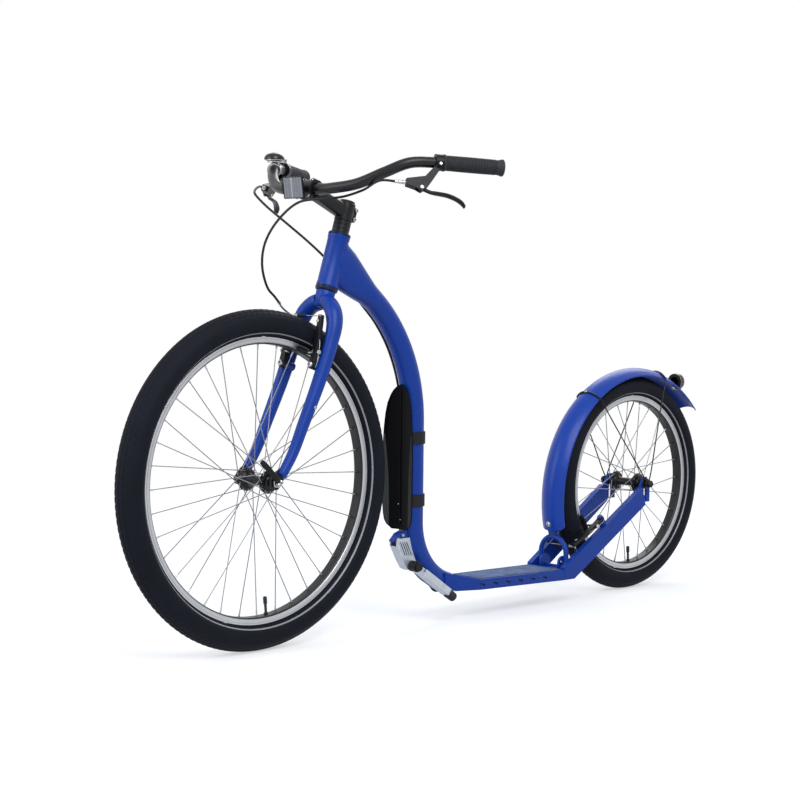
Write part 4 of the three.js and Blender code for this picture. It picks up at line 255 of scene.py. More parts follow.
def softEdges(piece, width, segments=2, angle=30):
    # rounded edges, kept in the mesh
    mod = piece.modifiers.new("edges", "BEVEL")
    mod.width = width * mm
    mod.segments = segments
    mod.limit_method = "ANGLE"
    mod.angle_limit = math.radians(angle)
    mod.harden_normals = False


def mirror(p):
    return v(p.x, -p.y, p.z)


def sided(data, side):
    # the same mesh for the left side, or mirrored for the right
    return data if side > 0 else ([mirror(p) for p in data[0]], data[1])


def hexData(start, direction, radius, height, chamfer=0.8):
    # a hex head or nut with its corners taken off
    d = direction.normalized()
    side, up = crossAxes(d)
    profile = ((0, radius * 0.96), (chamfer, radius), (height - chamfer, radius), (height, radius * 0.9))
    return loftRings([ringAt(start + d * z, side, up, r, 6) for z, r in profile])


def ringData(middle, axis, radius, thickness, sides=40, crossSides=10):
    # a round ring, such as a weld bead or a rolled lip
    axis = axis.normalized()
    side, up = crossAxes(axis)
    rings = []
    for i in range(sides):
        t = 2 * math.pi * i / sides
        out = side * math.cos(t) + up * math.sin(t)
        rings.append(ringAt(middle + out * radius, out, axis, thickness, crossSides))
    return loftRings(rings, closed=True)


def beadData(path, radius, pitch=2.6):
    # a closed weld bead with its ripples
    steps = len(path) - 1
    return tubeData(path, lambda t: radius + 0.18 * radius * abs(math.sin(t * steps * math.pi / pitch)), 10)


def boltData(place, direction, radius, height, socket=0.5, sides=28):
    # button head with a hex socket
    d = direction.normalized()
    dome = [(radius, 0), (radius, height * 0.35), (radius * 0.92, height * 0.7), (radius * 0.74, height),
            (radius * socket, height)]
    verts, faces = latheData([(0, 0)] + dome, place, d, sides)
    base = len(verts)
    side, up = crossAxes(d)
    verts += ringAt(place + d * height, side, up, radius * socket, sides)
    verts += ringAt(place + d * height * 0.4, side, up, radius * socket * 0.92, sides)
    for i in range(sides):
        j = (i + 1) % sides
        faces.append((base + i, base + j, base + sides + j, base + sides + i))
    faces.append(tuple(base + sides + i for i in range(sides)))
    return verts, faces


def finishPiece(piece, look, body, nodes, smooth):
    # its finish, smooth shading, body and the solids that it stands for
    for name in [look] if isinstance(look, str) else look:
        piece.data.materials.append(finish[name])
    piece.data.shade_smooth()
    piece.data.set_sharp_from_angle(angle=math.radians(smooth))
    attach(piece, body)
    if nodes:
        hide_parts(*nodes)


def addPiece(name, data, look, body="frame", nodes=(), smooth=35, edge=0.0, segments=2, kinds=()):
    # one finished piece from its points and faces; kinds picks each face's finish where look is a list
    piece = makePiece(name, data)
    bm = bmesh.new()
    bm.from_mesh(piece.data)
    bmesh.ops.remove_doubles(bm, verts=bm.verts, dist=2e-6)
    bmesh.ops.recalc_face_normals(bm, faces=bm.faces)
    bm.to_mesh(piece.data)
    bm.free()
    if edge:
        softEdges(piece, edge, segments)
    finishPiece(piece, look, body, nodes, smooth)
    for face, kind in zip(piece.data.polygons, kinds):
        face.material_index = kind


def dress(name, look, edge, smooth=32):
    # a solid's own shape with a finish: flat faces joined up, edges rounded
    mesh = frame["nodes"][name].data.copy()
    mesh.name = name + "_finished"
    bm = bmesh.new()
    bm.from_mesh(mesh)
    bmesh.ops.remove_doubles(bm, verts=bm.verts, dist=1e-5)
    bmesh.ops.dissolve_limit(bm, angle_limit=math.radians(2), verts=bm.verts, edges=bm.edges)
    bm.to_mesh(mesh)
    bm.free()
    piece = bpy.data.objects.new(name + "_finished", mesh)
    scene.collection.objects.link(piece)
    mesh.materials.clear()
    softEdges(piece, edge, angle=35)
    finishPiece(piece, look, bodyOf[name], (name,), smooth)


bodyOf = {n: b for b, nodes in frame["record"]["behaviour"]["bodies"].items() for n in nodes}


# Finishes

def newFinish(name, color, roughness, metallic=0.0, specular=0.5, coat=0.0, coatRoughness=0.1):
    m = bpy.data.materials.new(name)
    m.use_nodes = True
    b = m.node_tree.nodes["Principled BSDF"]
    b.inputs["Base Color"].default_value = (*color, 1)
    b.inputs["Roughness"].default_value = roughness
    b.inputs["Metallic"].default_value = metallic
    b.inputs["Specular IOR Level"].default_value = specular
    b.inputs["Coat Weight"].default_value = coat
    b.inputs["Coat Roughness"].default_value = coatRoughness
    return m


def node(m, kind, **settings):
    n = m.node_tree.nodes.new(kind)
    for key, value in settings.items():
        if key in n.inputs:
            n.inputs[key].default_value = value
        else:
            setattr(n, key, value)
    return n


def wire(m, a, out, b, into):
    m.node_tree.links.new(a.outputs[out], b.inputs[into])


def noise(m, scale, detail=4.0, rough=0.55):
    coords = node(m, "ShaderNodeTexCoord")
    n = node(m, "ShaderNodeTexNoise", Scale=scale, Detail=detail, Roughness=rough)
    wire(m, coords, "Object", n, "Vector")
    return n


def shade(m, source, out, low, high, at=(0.3, 0.7)):
    ramp = node(m, "ShaderNodeValToRGB")
    ramp.color_ramp.elements[0].position = at[0]
    ramp.color_ramp.elements[0].color = (*low, 1)
    ramp.color_ramp.elements[1].position = at[1]
    ramp.color_ramp.elements[1].color = (*high, 1)
    wire(m, source, out, ramp, "Fac")
    wire(m, ramp, "Color", m.node_tree.nodes["Principled BSDF"], "Base Color")


def roughen(m, source, out, low, high):
    span = node(m, "ShaderNodeMapRange")
    span.inputs["To Min"].default_value = low
    span.inputs["To Max"].default_value = high
    wire(m, source, out, span, "Value")
    wire(m, span, "Result", m.node_tree.nodes["Principled BSDF"], "Roughness")


def bumpFrom(m, source, out, strength, distance):
    b = node(m, "ShaderNodeBump", Strength=strength, Distance=distance * mm)
    wire(m, source, out, b, "Height")
    wire(m, b, "Normal", m.node_tree.nodes["Principled BSDF"], "Normal")


def scaled(color, share):
    return tuple(c * share for c in color)


def makeFinish(name, look):
    m = newFinish(name, look["color"], look["rough"], look.get("metal", 0.0), look.get("spec", 0.5),
                  look.get("coat", 0.0), look.get("coatRough", 0.1))
    n = noise(m, look.get("scale", 60))
    spread = look.get("spread", 0.12)
    shade(m, n, "Fac", scaled(look["color"], 1 - spread), scaled(look["color"], 1 + spread))
    roughen(m, n, "Fac", look["rough"] * 0.82, min(1, look["rough"] * 1.2))
    fine = noise(m, look.get("fineScale", 900), 3.0)
    bumpFrom(m, fine, "Fac", look.get("bump", 0.15), look.get("depth", 0.1))
    return m


looks = {
    "bluePaint": dict(color=(0.0035, 0.040, 0.30), rough=0.38, spec=0.2, coat=0.06, coatRough=0.2,
                      spread=0.06, scale=9, bump=0.03, fineScale=700),
    "blueFender": dict(color=(0.0035, 0.044, 0.34), rough=0.34, spec=0.22, coat=0.07, coatRough=0.15,
                       spread=0.05, scale=7, bump=0.03, fineScale=500),
    "navyCup": dict(color=(0.004, 0.009, 0.035), rough=0.34, spec=0.3, spread=0.15, scale=60, bump=0.05),
    "blackAlloy": dict(color=(0.0055, 0.006, 0.008), rough=0.34, spec=0.26, spread=0.2, scale=80, bump=0.06),
    "stemBlack": dict(color=(0.0065, 0.007, 0.009), rough=0.36, spec=0.24, spread=0.2, scale=70, bump=0.07),
    "barBlack": dict(color=(0.007, 0.0075, 0.0095), rough=0.3, spec=0.3, spread=0.15, scale=90, bump=0.04),
    "leverBlack": dict(color=(0.0045, 0.005, 0.007), rough=0.34, spec=0.2, spread=0.2, scale=110, bump=0.06),
    "armBlack": dict(color=(0.0055, 0.006, 0.008), rough=0.36, spec=0.24, spread=0.22, scale=120, bump=0.08),
    "blackSteel": dict(color=(0.007, 0.0075, 0.009), rough=0.3, metal=0.2, spec=0.3, spread=0.25, scale=120,
                       bump=0.08),
    "blackPlastic": dict(color=(0.0045, 0.005, 0.0065), rough=0.42, spec=0.2, spread=0.15, scale=70,
                         bump=0.12),
    "guardPlastic": dict(color=(0.0008, 0.0009, 0.0022), rough=0.4, spec=0.045, spread=0.25, scale=18,
                         bump=0.1, fineScale=420),
    "gripRubber": dict(color=(0.026, 0.027, 0.032), rough=0.6, spec=0.2, spread=0.16, scale=90, bump=0.35,
                       fineScale=1600),
    "strapRubber": dict(color=(0.013, 0.012, 0.017), rough=0.6, spec=0.2, spread=0.2, scale=60, bump=0.2,
                        fineScale=900),
    "footRubber": dict(color=(0.030, 0.034, 0.036), rough=0.62, spec=0.2, spread=0.2, scale=80, bump=0.25,
                       fineScale=900),
    "padRubber": dict(color=(0.010, 0.0105, 0.012), rough=0.8, spec=0.15, spread=0.25, scale=140, bump=0.3),
    "brightAlloy": dict(color=(0.45, 0.46, 0.48), rough=0.28, metal=1.0, spread=0.05, scale=60, bump=0.05),
    "castAlloy": dict(color=(0.50, 0.54, 0.60), rough=0.42, metal=0.55, spread=0.12, scale=90, bump=0.35,
                      depth=0.2, fineScale=420),
    "brightSteel": dict(color=(0.42, 0.42, 0.43), rough=0.26, metal=1.0, spread=0.06, scale=90, bump=0.05),
    "spokeSteel": dict(color=(0.26, 0.265, 0.28), rough=0.4, metal=1.0, spread=0.08, scale=50, bump=0.04),
    "hubBlack": dict(color=(0.0035, 0.0035, 0.0045), rough=0.34, spec=0.24, spread=0.15, scale=100,
                     bump=0.05),
    "housing": dict(color=(0.006, 0.0065, 0.009), rough=0.38, spec=0.26, spread=0.12, scale=200, bump=0.08),
    "bellBronze": dict(color=(0.020, 0.018, 0.018), rough=0.22, metal=0.6, spread=0.2, scale=60, bump=0.04,
                       coat=0.1),
    # black spoke bed: painted shade on the rim's silver inner face
    "rimBedPaintedShade": dict(color=(0.010, 0.0105, 0.012), rough=0.4, spec=0.3, spread=0.15, scale=80, bump=0.08),
    "lampCup": dict(color=(0.085, 0.022, 0.018), rough=0.24, spec=0.45, spread=0.15, scale=40, bump=0.05,
                    coat=0.3),
}
finish = {name: makeFinish(name, look) for name, look in looks.items()}


def tyreFinish(name, look):
    # rubber: fine grain and a paler dusty bloom
    m = newFinish(name, look["color"], look["rough"], 0.0, look["spec"])
    dust = noise(m, look["dustScale"], 6.0, 0.65)
    shade(m, dust, "Fac", look["color"], look["dustColor"], (0.35, 0.75))
    roughen(m, dust, "Fac", look["rough"] * 0.85, look["rough"] * 1.1)
    grain = noise(m, look["grainScale"], 3.0)
    bumpFrom(m, grain, "Fac", look["bump"], 0.25)
    return m


tyreLook = dict(color=(0.003, 0.0042, 0.0085), dustColor=(0.006, 0.008, 0.0145), rough=0.7, spec=0.13,
                dustScale=14, grainScale=1100, bump=0.3)
finish["tyre"] = tyreFinish("tyreRubber", tyreLook)
stripeLook = dict(color=(0.26, 0.27, 0.29), rough=0.4, spec=0.5, spread=0.12, scale=200, bump=0.1)
finish["stripe"] = makeFinish("reflectiveStripe", stripeLook)


def gritFinish(name, look):
    # footboard tape: coarse mineral grains in lighter and darker patches
    m = newFinish(name, look["color"], look["rough"], 0.0, look["spec"])
    coords = node(m, "ShaderNodeTexCoord")
    grains = node(m, "ShaderNodeTexVoronoi", Scale=look["grain"])
    wire(m, coords, "Object", grains, "Vector")
    patches = noise(m, look["patch"], 5.0, 0.6)
    mix = node(m, "ShaderNodeMath", operation="MULTIPLY")
    wire(m, grains, "Distance", mix, 0)
    wire(m, patches, "Fac", mix, 1)
    shade(m, mix, "Value", scaled(look["color"], 0.55), scaled(look["color"], 1.9), (0.1, 0.45))
    bumpFrom(m, grains, "Distance", look["bump"], 0.5)
    return m


tapeLook = dict(color=(0.078, 0.118, 0.23), rough=0.9, spec=0.35, grain=900, patch=30, bump=0.9)
finish["tape"] = gritFinish("gripTape", tapeLook)


def lensFinish(name, look):
    # moulded prisms behind a clear face
    m = newFinish(name, look["color"], look["rough"], look["metal"], 0.5, 0.8, 0.05)
    coords = node(m, "ShaderNodeTexCoord")
    prisms = node(m, "ShaderNodeTexVoronoi", Scale=look["prism"], distance="MANHATTAN")
    prisms.inputs["Randomness"].default_value = 0.0
    wire(m, coords, "Object", prisms, "Vector")
    shade(m, prisms, "Distance", scaled(look["color"], 1.15), scaled(look["color"], 0.85), (0.1, 0.6))
    bumpFrom(m, prisms, "Distance", 0.12, 0.3)
    return m


redLensLook = dict(color=(0.34, 0.006, 0.006), rough=0.2, metal=0.0, prism=330)
finish["redLens"] = lensFinish("redLens", redLensLook)
clearLensLook = dict(color=(0.20, 0.222, 0.26), rough=0.25, metal=0.35, prism=420)
finish["clearLens"] = lensFinish("clearLens", clearLensLook)
rimLook = dict(color=(0.46, 0.47, 0.49), rough=0.32, metal=1.0, spread=0.06, scale=30, bump=0.08,
               fineScale=500)
finish["rim"] = makeFinish("rimAlloy", rimLook)

# The part's material slots and their looks. A solid that no piece replaces takes its slot's first look.
slotLooks = {
    "frame_paint": ["bluePaint"],
    "fender_paint": ["blueFender"],
    "tyre_rubber": ["tyre"],
    "rim_alloy": ["rim"],
    "spoke_steel": ["spokeSteel", "hubBlack"],
    "black_plastic": ["blackPlastic", "guardPlastic"],
    "black_alloy": ["blackAlloy", "navyCup", "stemBlack", "barBlack", "leverBlack", "armBlack"],
    "black_steel": ["blackSteel"],
    "stay_wire": ["blackSteel"],
    "bright_steel": ["brightSteel"],
    "bright_alloy": ["brightAlloy"],
    "cast_alloy": ["castAlloy"],
    "bell_brass": ["bellBronze"],
    "grip_rubber": ["gripRubber"],
    "strap_rubber": ["strapRubber", "footRubber", "padRubber"],
    "grip_tape": ["tape"],
    "cable_housing": ["housing"],
    "red_lens": ["redLens", "lampCup"],
    "clear_lens": ["clearLens"],
}
print("finishes ready")


# Places shared with the solids

bike = dict(wheelbase=1160.0, frontRadius=339.5, rearRadius=257.0, tilt=17.5, forkOffset=57.7,
            hubWidth=100.0, gap=0.3)
length = bike["frontRadius"] + bike["wheelbase"] + bike["rearRadius"]
frontAxle = v(length / 2 - bike["frontRadius"], 0, bike["frontRadius"])
rearAxle = v(bike["rearRadius"] - length / 2, 0, bike["rearRadius"])
tilt = math.radians(bike["tilt"])
steeringUp = v(-math.sin(tilt), 0, math.cos(tilt))
steeringForward = v(math.cos(tilt), 0, math.sin(tilt))
acrossY = v(0, 1, 0)
column = dict(headBottom=419.3, headTop=529.3, spacers=534.6, stemBottom=560.9, stemTop=598.9)


def onSteering(height, forward, side=0.0):
    return frontAxle + steeringUp * height + steeringForward * (forward - bike["forkOffset"]) + v(0, side, 0)


staySlope = math.radians(31.5)
stayAlong = v(math.cos(staySlope), 0, -math.sin(staySlope))
stayUp = v(math.sin(staySlope), 0, math.cos(staySlope))


def onStay(along, up, side=0.0):
    return rearAxle + stayAlong * along + stayUp * up + v(0, side, 0)


# Camera, light and ground

camera = dict(place=(2919.84, 2836.33, 744.92), target=(146.6, 0.0, 484.24), roll=0.55, lens=84.4,
              sensor=36)


def addCamera():
    data = bpy.data.cameras.new("camera")
    data.lens = camera["lens"]
    data.sensor_width = camera["sensor"]
    obj = bpy.data.objects.new("camera", data)
    scene.collection.objects.link(obj)
    place, target = Vector(camera["place"]), Vector(camera["target"])
    look = (target - place).to_track_quat("-Z", "Y").to_matrix().to_4x4()
    roll = Matrix.Rotation(math.radians(camera["roll"]), 4, "Z")
    obj.matrix_world = Matrix.Translation(place * mm) @ look @ roll
    scene.camera = obj
    scene.view_settings.view_transform = "Standard"


# in metres
studio = dict(worldLight=0.46, worldColor=(0.96, 0.98, 1.0), floorColor=(0.56, 0.58, 0.62), floorGlow=0.51,
              floorHalf=40, fadeFrom=1.3, fadeTo=3.2, aim=(0, 0, 0.45),
              lamps=dict(key=dict(place=(1.5, 2.6, 3.2), size=2.4, power=105.0),
                         fill=dict(place=(3.6, -1.2, 2.2), size=2.6, power=55.0),
                         back=dict(place=(-2.6, -1.6, 2.8), size=2.2, power=45.0)))
white = (1, 1, 1, 1)


def addStudio():
    world = bpy.data.worlds.new("studio")
    scene.world = world
    world.use_nodes = True
    world.node_tree.nodes.clear()
    out = node(world, "ShaderNodeOutputWorld")
    seen = node(world, "ShaderNodeBackground", Color=white, Strength=1.0)
    light = node(world, "ShaderNodeBackground", Color=(*studio["worldColor"], 1),
                 Strength=studio["worldLight"])
    mix = node(world, "ShaderNodeMixShader")
    wire(world, seenBy(world), 0, mix, "Fac")
    wire(world, light, 0, mix, 1)
    wire(world, seen, 0, mix, 2)
    wire(world, mix, 0, out, "Surface")
    for name, lamp in studio["lamps"].items():
        data = bpy.data.lights.new(name, "AREA")
        data.energy = lamp["power"]
        data.size = lamp["size"]
        obj = bpy.data.objects.new(name, data)
        scene.collection.objects.link(obj)
        place = Vector(lamp["place"])
        obj.location = place
        obj.rotation_euler = (Vector(studio["aim"]) - place).to_track_quat("-Z", "Y").to_euler()


def seenBy(owner):
    # 1 where the camera, a mirror or clear glass sees the surface
    path = node(owner, "ShaderNodeLightPath")
    first = node(owner, "ShaderNodeMath", operation="MAXIMUM")
    second = node(owner, "ShaderNodeMath", operation="MAXIMUM")
    wire(owner, path, "Is Camera Ray", first, 0)
    wire(owner, path, "Is Glossy Ray", first, 1)
    wire(owner, first, 0, second, 0)
    wire(owner, path, "Is Transmission Ray", second, 1)
    return second


def addFloor():
    reach = studio["floorHalf"]
    mesh = bpy.data.meshes.new("floor")
    mesh.from_pydata([(-reach, -reach, 0), (reach, -reach, 0), (reach, reach, 0), (-reach, reach, 0)], [],
                     [(0, 1, 2, 3)])
    floor = bpy.data.objects.new("floor", mesh)
    scene.collection.objects.link(floor)
    m = bpy.data.materials.new("paleFloor")
    m.use_nodes = True
    m.node_tree.nodes.clear()
    out = node(m, "ShaderNodeOutputMaterial")
    diffuse = node(m, "ShaderNodeBsdfDiffuse", Color=(*studio["floorColor"], 1))
    glow = node(m, "ShaderNodeEmission", Color=white, Strength=studio["floorGlow"])
    both = node(m, "ShaderNodeAddShader")
    backdrop = node(m, "ShaderNodeEmission", Color=white)
    # far from the object the floor fades into the white backdrop
    coords = node(m, "ShaderNodeTexCoord")
    away = node(m, "ShaderNodeVectorMath", operation="LENGTH")
    fade = node(m, "ShaderNodeMapRange", interpolation_type="SMOOTHSTEP")
    fade.inputs["From Min"].default_value = studio["fadeFrom"]
    fade.inputs["From Max"].default_value = studio["fadeTo"]
    seen = node(m, "ShaderNodeMixShader")
    mix = node(m, "ShaderNodeMixShader")
    wire(m, coords, "Object", away, 0)
    wire(m, away, "Value", fade, "Value")
    wire(m, fade, "Result", seen, "Fac")
    wire(m, diffuse, 0, both, 0)
    wire(m, glow, 0, both, 1)
    wire(m, both, 0, seen, 1)
    wire(m, backdrop, 0, seen, 2)
    wire(m, seenBy(m), 0, mix, "Fac")
    wire(m, diffuse, 0, mix, 1)
    wire(m, seen, 0, mix, 2)
    wire(m, mix, 0, out, "Surface")
    mesh.materials.append(m)


addCamera()
addStudio()
addFloor()
print("camera, studio and floor ready")


# Wheels

wheels = {
    "front": dict(axle=frontAxle, radius=bike["frontRadius"], width=60.0, rimRadius=285.5, spokes=36,
                  crossings=3, axleRadius=4.5, valve=185.0, body="front_wheel", steps=720),
    "rear": dict(axle=rearAxle, radius=bike["rearRadius"], width=54.0, rimRadius=209.0, spokes=28,
                 crossings=3, axleRadius=5.0, valve=183.0, body="rear_wheel", steps=560),
}
rimSize = dict(width=28.0, depth=15.0, wall=1.8, bed=7.0, edge=4.0, steps=192)
tread = dict(bead=0.6, groove=1.1, cut=1.0, chevron=0.045, leanRadius=300, pitch=5, stripe=(0.1, 0.14))
# shares of the tyre's height and half width: sidewall with its stripe, then the tread's arc,
# where the third number is 0 at the shoulder's edge, 1 on a block and 2 in a groove
sidewall = [(0.0, 0.44), (0.05, 0.58), (0.1, 0.7), (0.14, 0.797), (0.17, 0.858), (0.22, 0.925), (0.3, 0.985),
            (0.38, 1.0), (0.48, 1.0), (0.58, 0.965), (0.66, 0.905), (0.72, 0.84)]
treadArc = [(0.74, 0.815, 0), (0.775, 0.765, 1), (0.81, 0.705, 1), (0.84, 0.65, 1), (0.87, 0.58, 1),
            (0.898, 0.5, 1), (0.912, 0.455, 2), (0.918, 0.44, 2), (0.932, 0.4, 1), (0.956, 0.31, 1),
            (0.974, 0.22, 1), (0.984, 0.155, 2), (0.986, 0.135, 2), (0.992, 0.1, 1), (1.0, 0.0, 1)]


def tyreProfile(w):
    # rows of (radius, side, kind) from the bead to the middle of the tread
    half, height = w["width"] / 2, w["radius"] - w["rimRadius"]
    rows = [(w["rimRadius"] + tread["bead"] + h * height, s * half, "side") for h, s in sidewall]
    rows += [(w["rimRadius"] + h * height, s * half, ("edge", "block", "groove")[k]) for h, s, k in treadArc]
    return rows


def addTyre(name, w):
    side = tyreProfile(w)
    rows = side + [(r, -s, kind) for r, s, kind in side[-2::-1]]
    n, steps = len(rows), w["steps"]
    height = w["radius"] - w["rimRadius"]
    low, high = tread["stripe"]
    verts, faces, kinds = [], [], []
    for i in range(steps):
        for r, s, kind in rows:
            drop = 0.0
            if kind == "groove":
                drop = tread["groove"]
            elif kind == "block" and i % tread["pitch"] == 0:
                drop = tread["cut"]
            outward = min(1.0, abs(s) / (w["width"] / 2))
            lean = tread["chevron"] * outward * (tread["leanRadius"] / w["radius"])
            turn = 2 * math.pi * i / steps + lean
            verts.append(w["axle"] + v(math.sin(turn) * (r - drop), s, math.cos(turn) * (r - drop)))
        a, b = i * n, ((i + 1) % steps) * n
        for j in range(n - 1):
            faces.append((a + j, a + j + 1, b + j + 1, b + j))
            share = ((rows[j][0] + rows[j + 1][0]) / 2 - w["rimRadius"] - tread["bead"]) / height
            kinds.append(int(rows[j][2] == "side" and low < share < high))
        faces.append((a + n - 1, a, b, b + n - 1))
        kinds.append(0)
    addPiece(name + "_tyre_tread", (verts, faces), ["tyre", "stripe"], w["body"], [name + "_tyre"],
             40, kinds=kinds)


def addRim(name, w):
    # machined silver sides with a wear groove, and a spoke bed coloured black as painted shade on the rim's
    # inner face
    outer, half, edge = w["rimRadius"], rimSize["width"] / 2, rimSize["edge"]
    bed, inner, depth = outer - rimSize["bed"], outer - rimSize["depth"], rimSize["depth"]
    inside = half - rimSize["wall"]
    side = [(bed, 2.0), (bed, inside - 1), (bed + 1, inside), (outer - 0.7, inside), (outer, inside + 0.5),
            (outer, half - 0.5), (outer - 0.6, half), (outer - 3.4, half), (outer - 3.7, half - 0.7),
            (outer - 4.5, half - 0.7), (outer - 4.8, half), (outer - depth * 0.68, half),
            (outer - depth * 0.72, half - 0.5), (inner + edge * 0.8, half - 0.9),
            (inner + edge * 0.35, half - 2.4), (inner + 0.3, half - edge), (inner, half - edge - 3),
            (inner, 2.0)]
    rows = side + [(r, -s) for r, s in side[::-1]] + side[:1]
    kinds = [int(max(a[0], b[0]) < inner + edge) for a, b in zip(rows, rows[1:])
             for i in range(rimSize["steps"])]
    addPiece(name + "_rim_alloy", latheData(rows, w["axle"], acrossY, rimSize["steps"]), ["rim", "rimBedPaintedShade"],
             w["body"], [name + "_rim"], 28, kinds=kinds)


hubSize = dict(waist=9.5, barrel=14.0, flange=23.0, flangeWidth=4.0, inset=17.0, hole=3.6, end=10.0,
               spoke=1.0, sideStep=2.4, nipple=1.9, nippleLength=12.0, seat=0.6)


def addHub(name, w):
    half = bike["hubWidth"] / 2 - bike["gap"]
    middle = bike["hubWidth"] / 2 - hubSize["inset"]
    a, b = middle - hubSize["flangeWidth"] / 2, middle + hubSize["flangeWidth"] / 2
    waist, barrel, flange, end = hubSize["waist"], hubSize["barrel"], hubSize["flange"], hubSize["end"]
    side = [(waist, 0.0), (waist, a - 15), (waist + 1.6, a - 9), (barrel + 0.6, a - 3.6),
            (flange - 2.6, a - 0.6), (flange - 0.5, a), (flange, a + 0.5), (flange, b - 0.5),
            (flange - 0.5, b), (barrel + 4.4, b + 0.8), (barrel + 3.6, b + 3.6), (barrel - 0.4, b + 4.4),
            (barrel - 1, b + 5.2), (end, half - 7.4), (end, half - 4.6), (end - 1.4, half - 4.2),
            (end - 1.4, half - 3.4), (end, half - 3.0), (end, half - 0.4), (end - 0.4, half),
            (w["axleRadius"] + bike["gap"], half)]
    rows = side + [(r, -s) for r, s in side[:0:-1]] + side[:1]
    addPiece(name + "_hub_shell", latheData(rows, w["axle"], acrossY, 64), "hubBlack", w["body"],
             [name + "_hub_and_spokes"], 30)


def addSpokes(name, w):
    flange = bike["hubWidth"] / 2 - hubSize["inset"]
    hole = hubSize["flange"] - hubSize["hole"]
    reach = w["rimRadius"] - rimSize["depth"] - hubSize["seat"]
    crossing = w["crossings"] * 4 * math.pi / w["spokes"]
    wireRadius, nipple = hubSize["spoke"], hubSize["nipple"]
    spokes, nipples = [], []
    for i in range(w["spokes"]):
        side = 1 if i % 2 else -1
        lead = 1 if (i // 2) % 2 else -1
        rim = 2 * math.pi * i / w["spokes"]
        hub = rim + lead * crossing
        holeY = side * (flange + lead * hubSize["sideStep"])
        start = w["axle"] + v(math.sin(hub) * hole, holeY, math.cos(hub) * hole)
        end = w["axle"] + v(math.sin(rim) * reach, side, math.cos(rim) * reach)
        d = (end - start).normalized()
        # bent head: through the flange, with a button on its far side
        head = start - d * 0.4
        through = v(0, -side * lead, 0)
        spokes.append(rodData(start, end - d * 3, wireRadius, 8))
        spokes.append(rodData(head, head + through * 4.6, wireRadius * 1.05, 8))
        spokes.append(rodData(head + through * 4.0, head + through * 5.2, wireRadius * 1.9, 10))
        nipples.append(rodData(end - d * hubSize["nippleLength"], end, nipple * 0.8, 10, nipple, 0.3))
    for kind, parts, look in (("_spokes", spokes, "spokeSteel"), ("_nipples", nipples, "brightSteel")):
        addPiece(name + kind, addUp(*parts), look, w["body"], smooth=40)


def addValve(name, w):
    turn = math.radians(w["valve"])
    out = v(math.sin(turn), 0, math.cos(turn))
    seat = w["rimRadius"] - rimSize["depth"] - hubSize["seat"]
    profile = [(0, -0.2), (4.2, -0.2), (4.2, -3.2), (3.2, -3.6), (2.6, -4.2)]
    for k in range(10):
        s = -5 - k * 1.6
        profile += [(2.6, s), (2.85, s - 0.4), (2.85, s - 0.9), (2.6, s - 1.3)]
    profile += [(3.0, -21), (4.0, -21.3), (4.0, -33), (3.4, -35.2), (1.2, -36), (0, -36)]
    addPiece(name + "_valve_stem", latheData(profile, w["axle"] + out * seat, out, 24), "footRubber",
             w["body"], [name + "_valve"])


for wheelName, wheelSizes in wheels.items():
    addTyre(wheelName, wheelSizes)
    addRim(wheelName, wheelSizes)
    addHub(wheelName, wheelSizes)
    addSpokes(wheelName, wheelSizes)
    addValve(wheelName, wheelSizes)
print("wheels ready")


# Main tube and head tube

mainTube = dict(radius=23.5, slope=40.0, upperBend=335.0, x=107.0, top=438.0, bottom=222.0, lowerBend=150.0,
                lowerAngle=74.0, flareHeight=43.0, flareHalf=46.0, flareLift=8.0, flareWidth=21.9,
                flarePower=0.8, flareRings=20, headRadius=22.0, bore=18.0, sides=56, stepsPerPart=30)
flareGrowth = [(0.0, 0.0), (0.18, 0.1), (0.37, 0.38), (0.7, 0.86), (1.0, 1.0)]


def tubeMiddle(t):
    # t from 0 at the top of the upper bend, through the upright, to 3 at the end of the lower bend
    x, rb, lb = mainTube["x"], mainTube["upperBend"], mainTube["lowerBend"]
    if t <= 1:
        turn = math.radians(lerp(90 - mainTube["slope"], 0, t))
        place = v(x + rb * (1 - math.cos(turn)), 0, mainTube["top"] + rb * math.sin(turn))
        return place, v(math.cos(turn), 0, -math.sin(turn))
    if t <= 2:
        return v(x, 0, lerp(mainTube["top"], mainTube["bottom"], t - 1)), v(1, 0, 0)
    turn = math.radians(mainTube["lowerAngle"] * (t - 2))
    place = v(x - lb * (1 - math.cos(turn)), 0, mainTube["bottom"] - lb * math.sin(turn))
    return place, v(math.cos(turn), 0, -math.sin(turn))


def addMainTube():
    rings = []
    top, out0 = tubeMiddle(0)
    head = onSteering((column["headBottom"] + column["headTop"]) / 2, 0)
    for i in range(mainTube["flareRings"], 0, -1):
        t = i / mainTube["flareRings"]
        g = interp(flareGrowth, t)
        up = (out0 * -1).lerp(steeringUp, t).normalized()
        wide = lerp(mainTube["radius"], mainTube["flareWidth"], g)
        high = lerp(mainTube["radius"], mainTube["flareHalf"], g)
        middle = top.lerp(head, t) + up * (mainTube["flareLift"] * t ** 1.5)
        power = lerp(1, mainTube["flarePower"], g)
        rings.append(ringAt(middle, acrossY, up, wide, mainTube["sides"], power, high / wide))
    stepsPerPart = mainTube["stepsPerPart"]
    for i in range(3 * stepsPerPart + 1):
        place, out = tubeMiddle(i / stepsPerPart)
        rings.append(ringAt(place, acrossY, out * -1, mainTube["radius"], mainTube["sides"]))
    addPiece("main_tube_skin", loftRings(rings), "bluePaint", nodes=["main_tube"], smooth=50)
    return rings


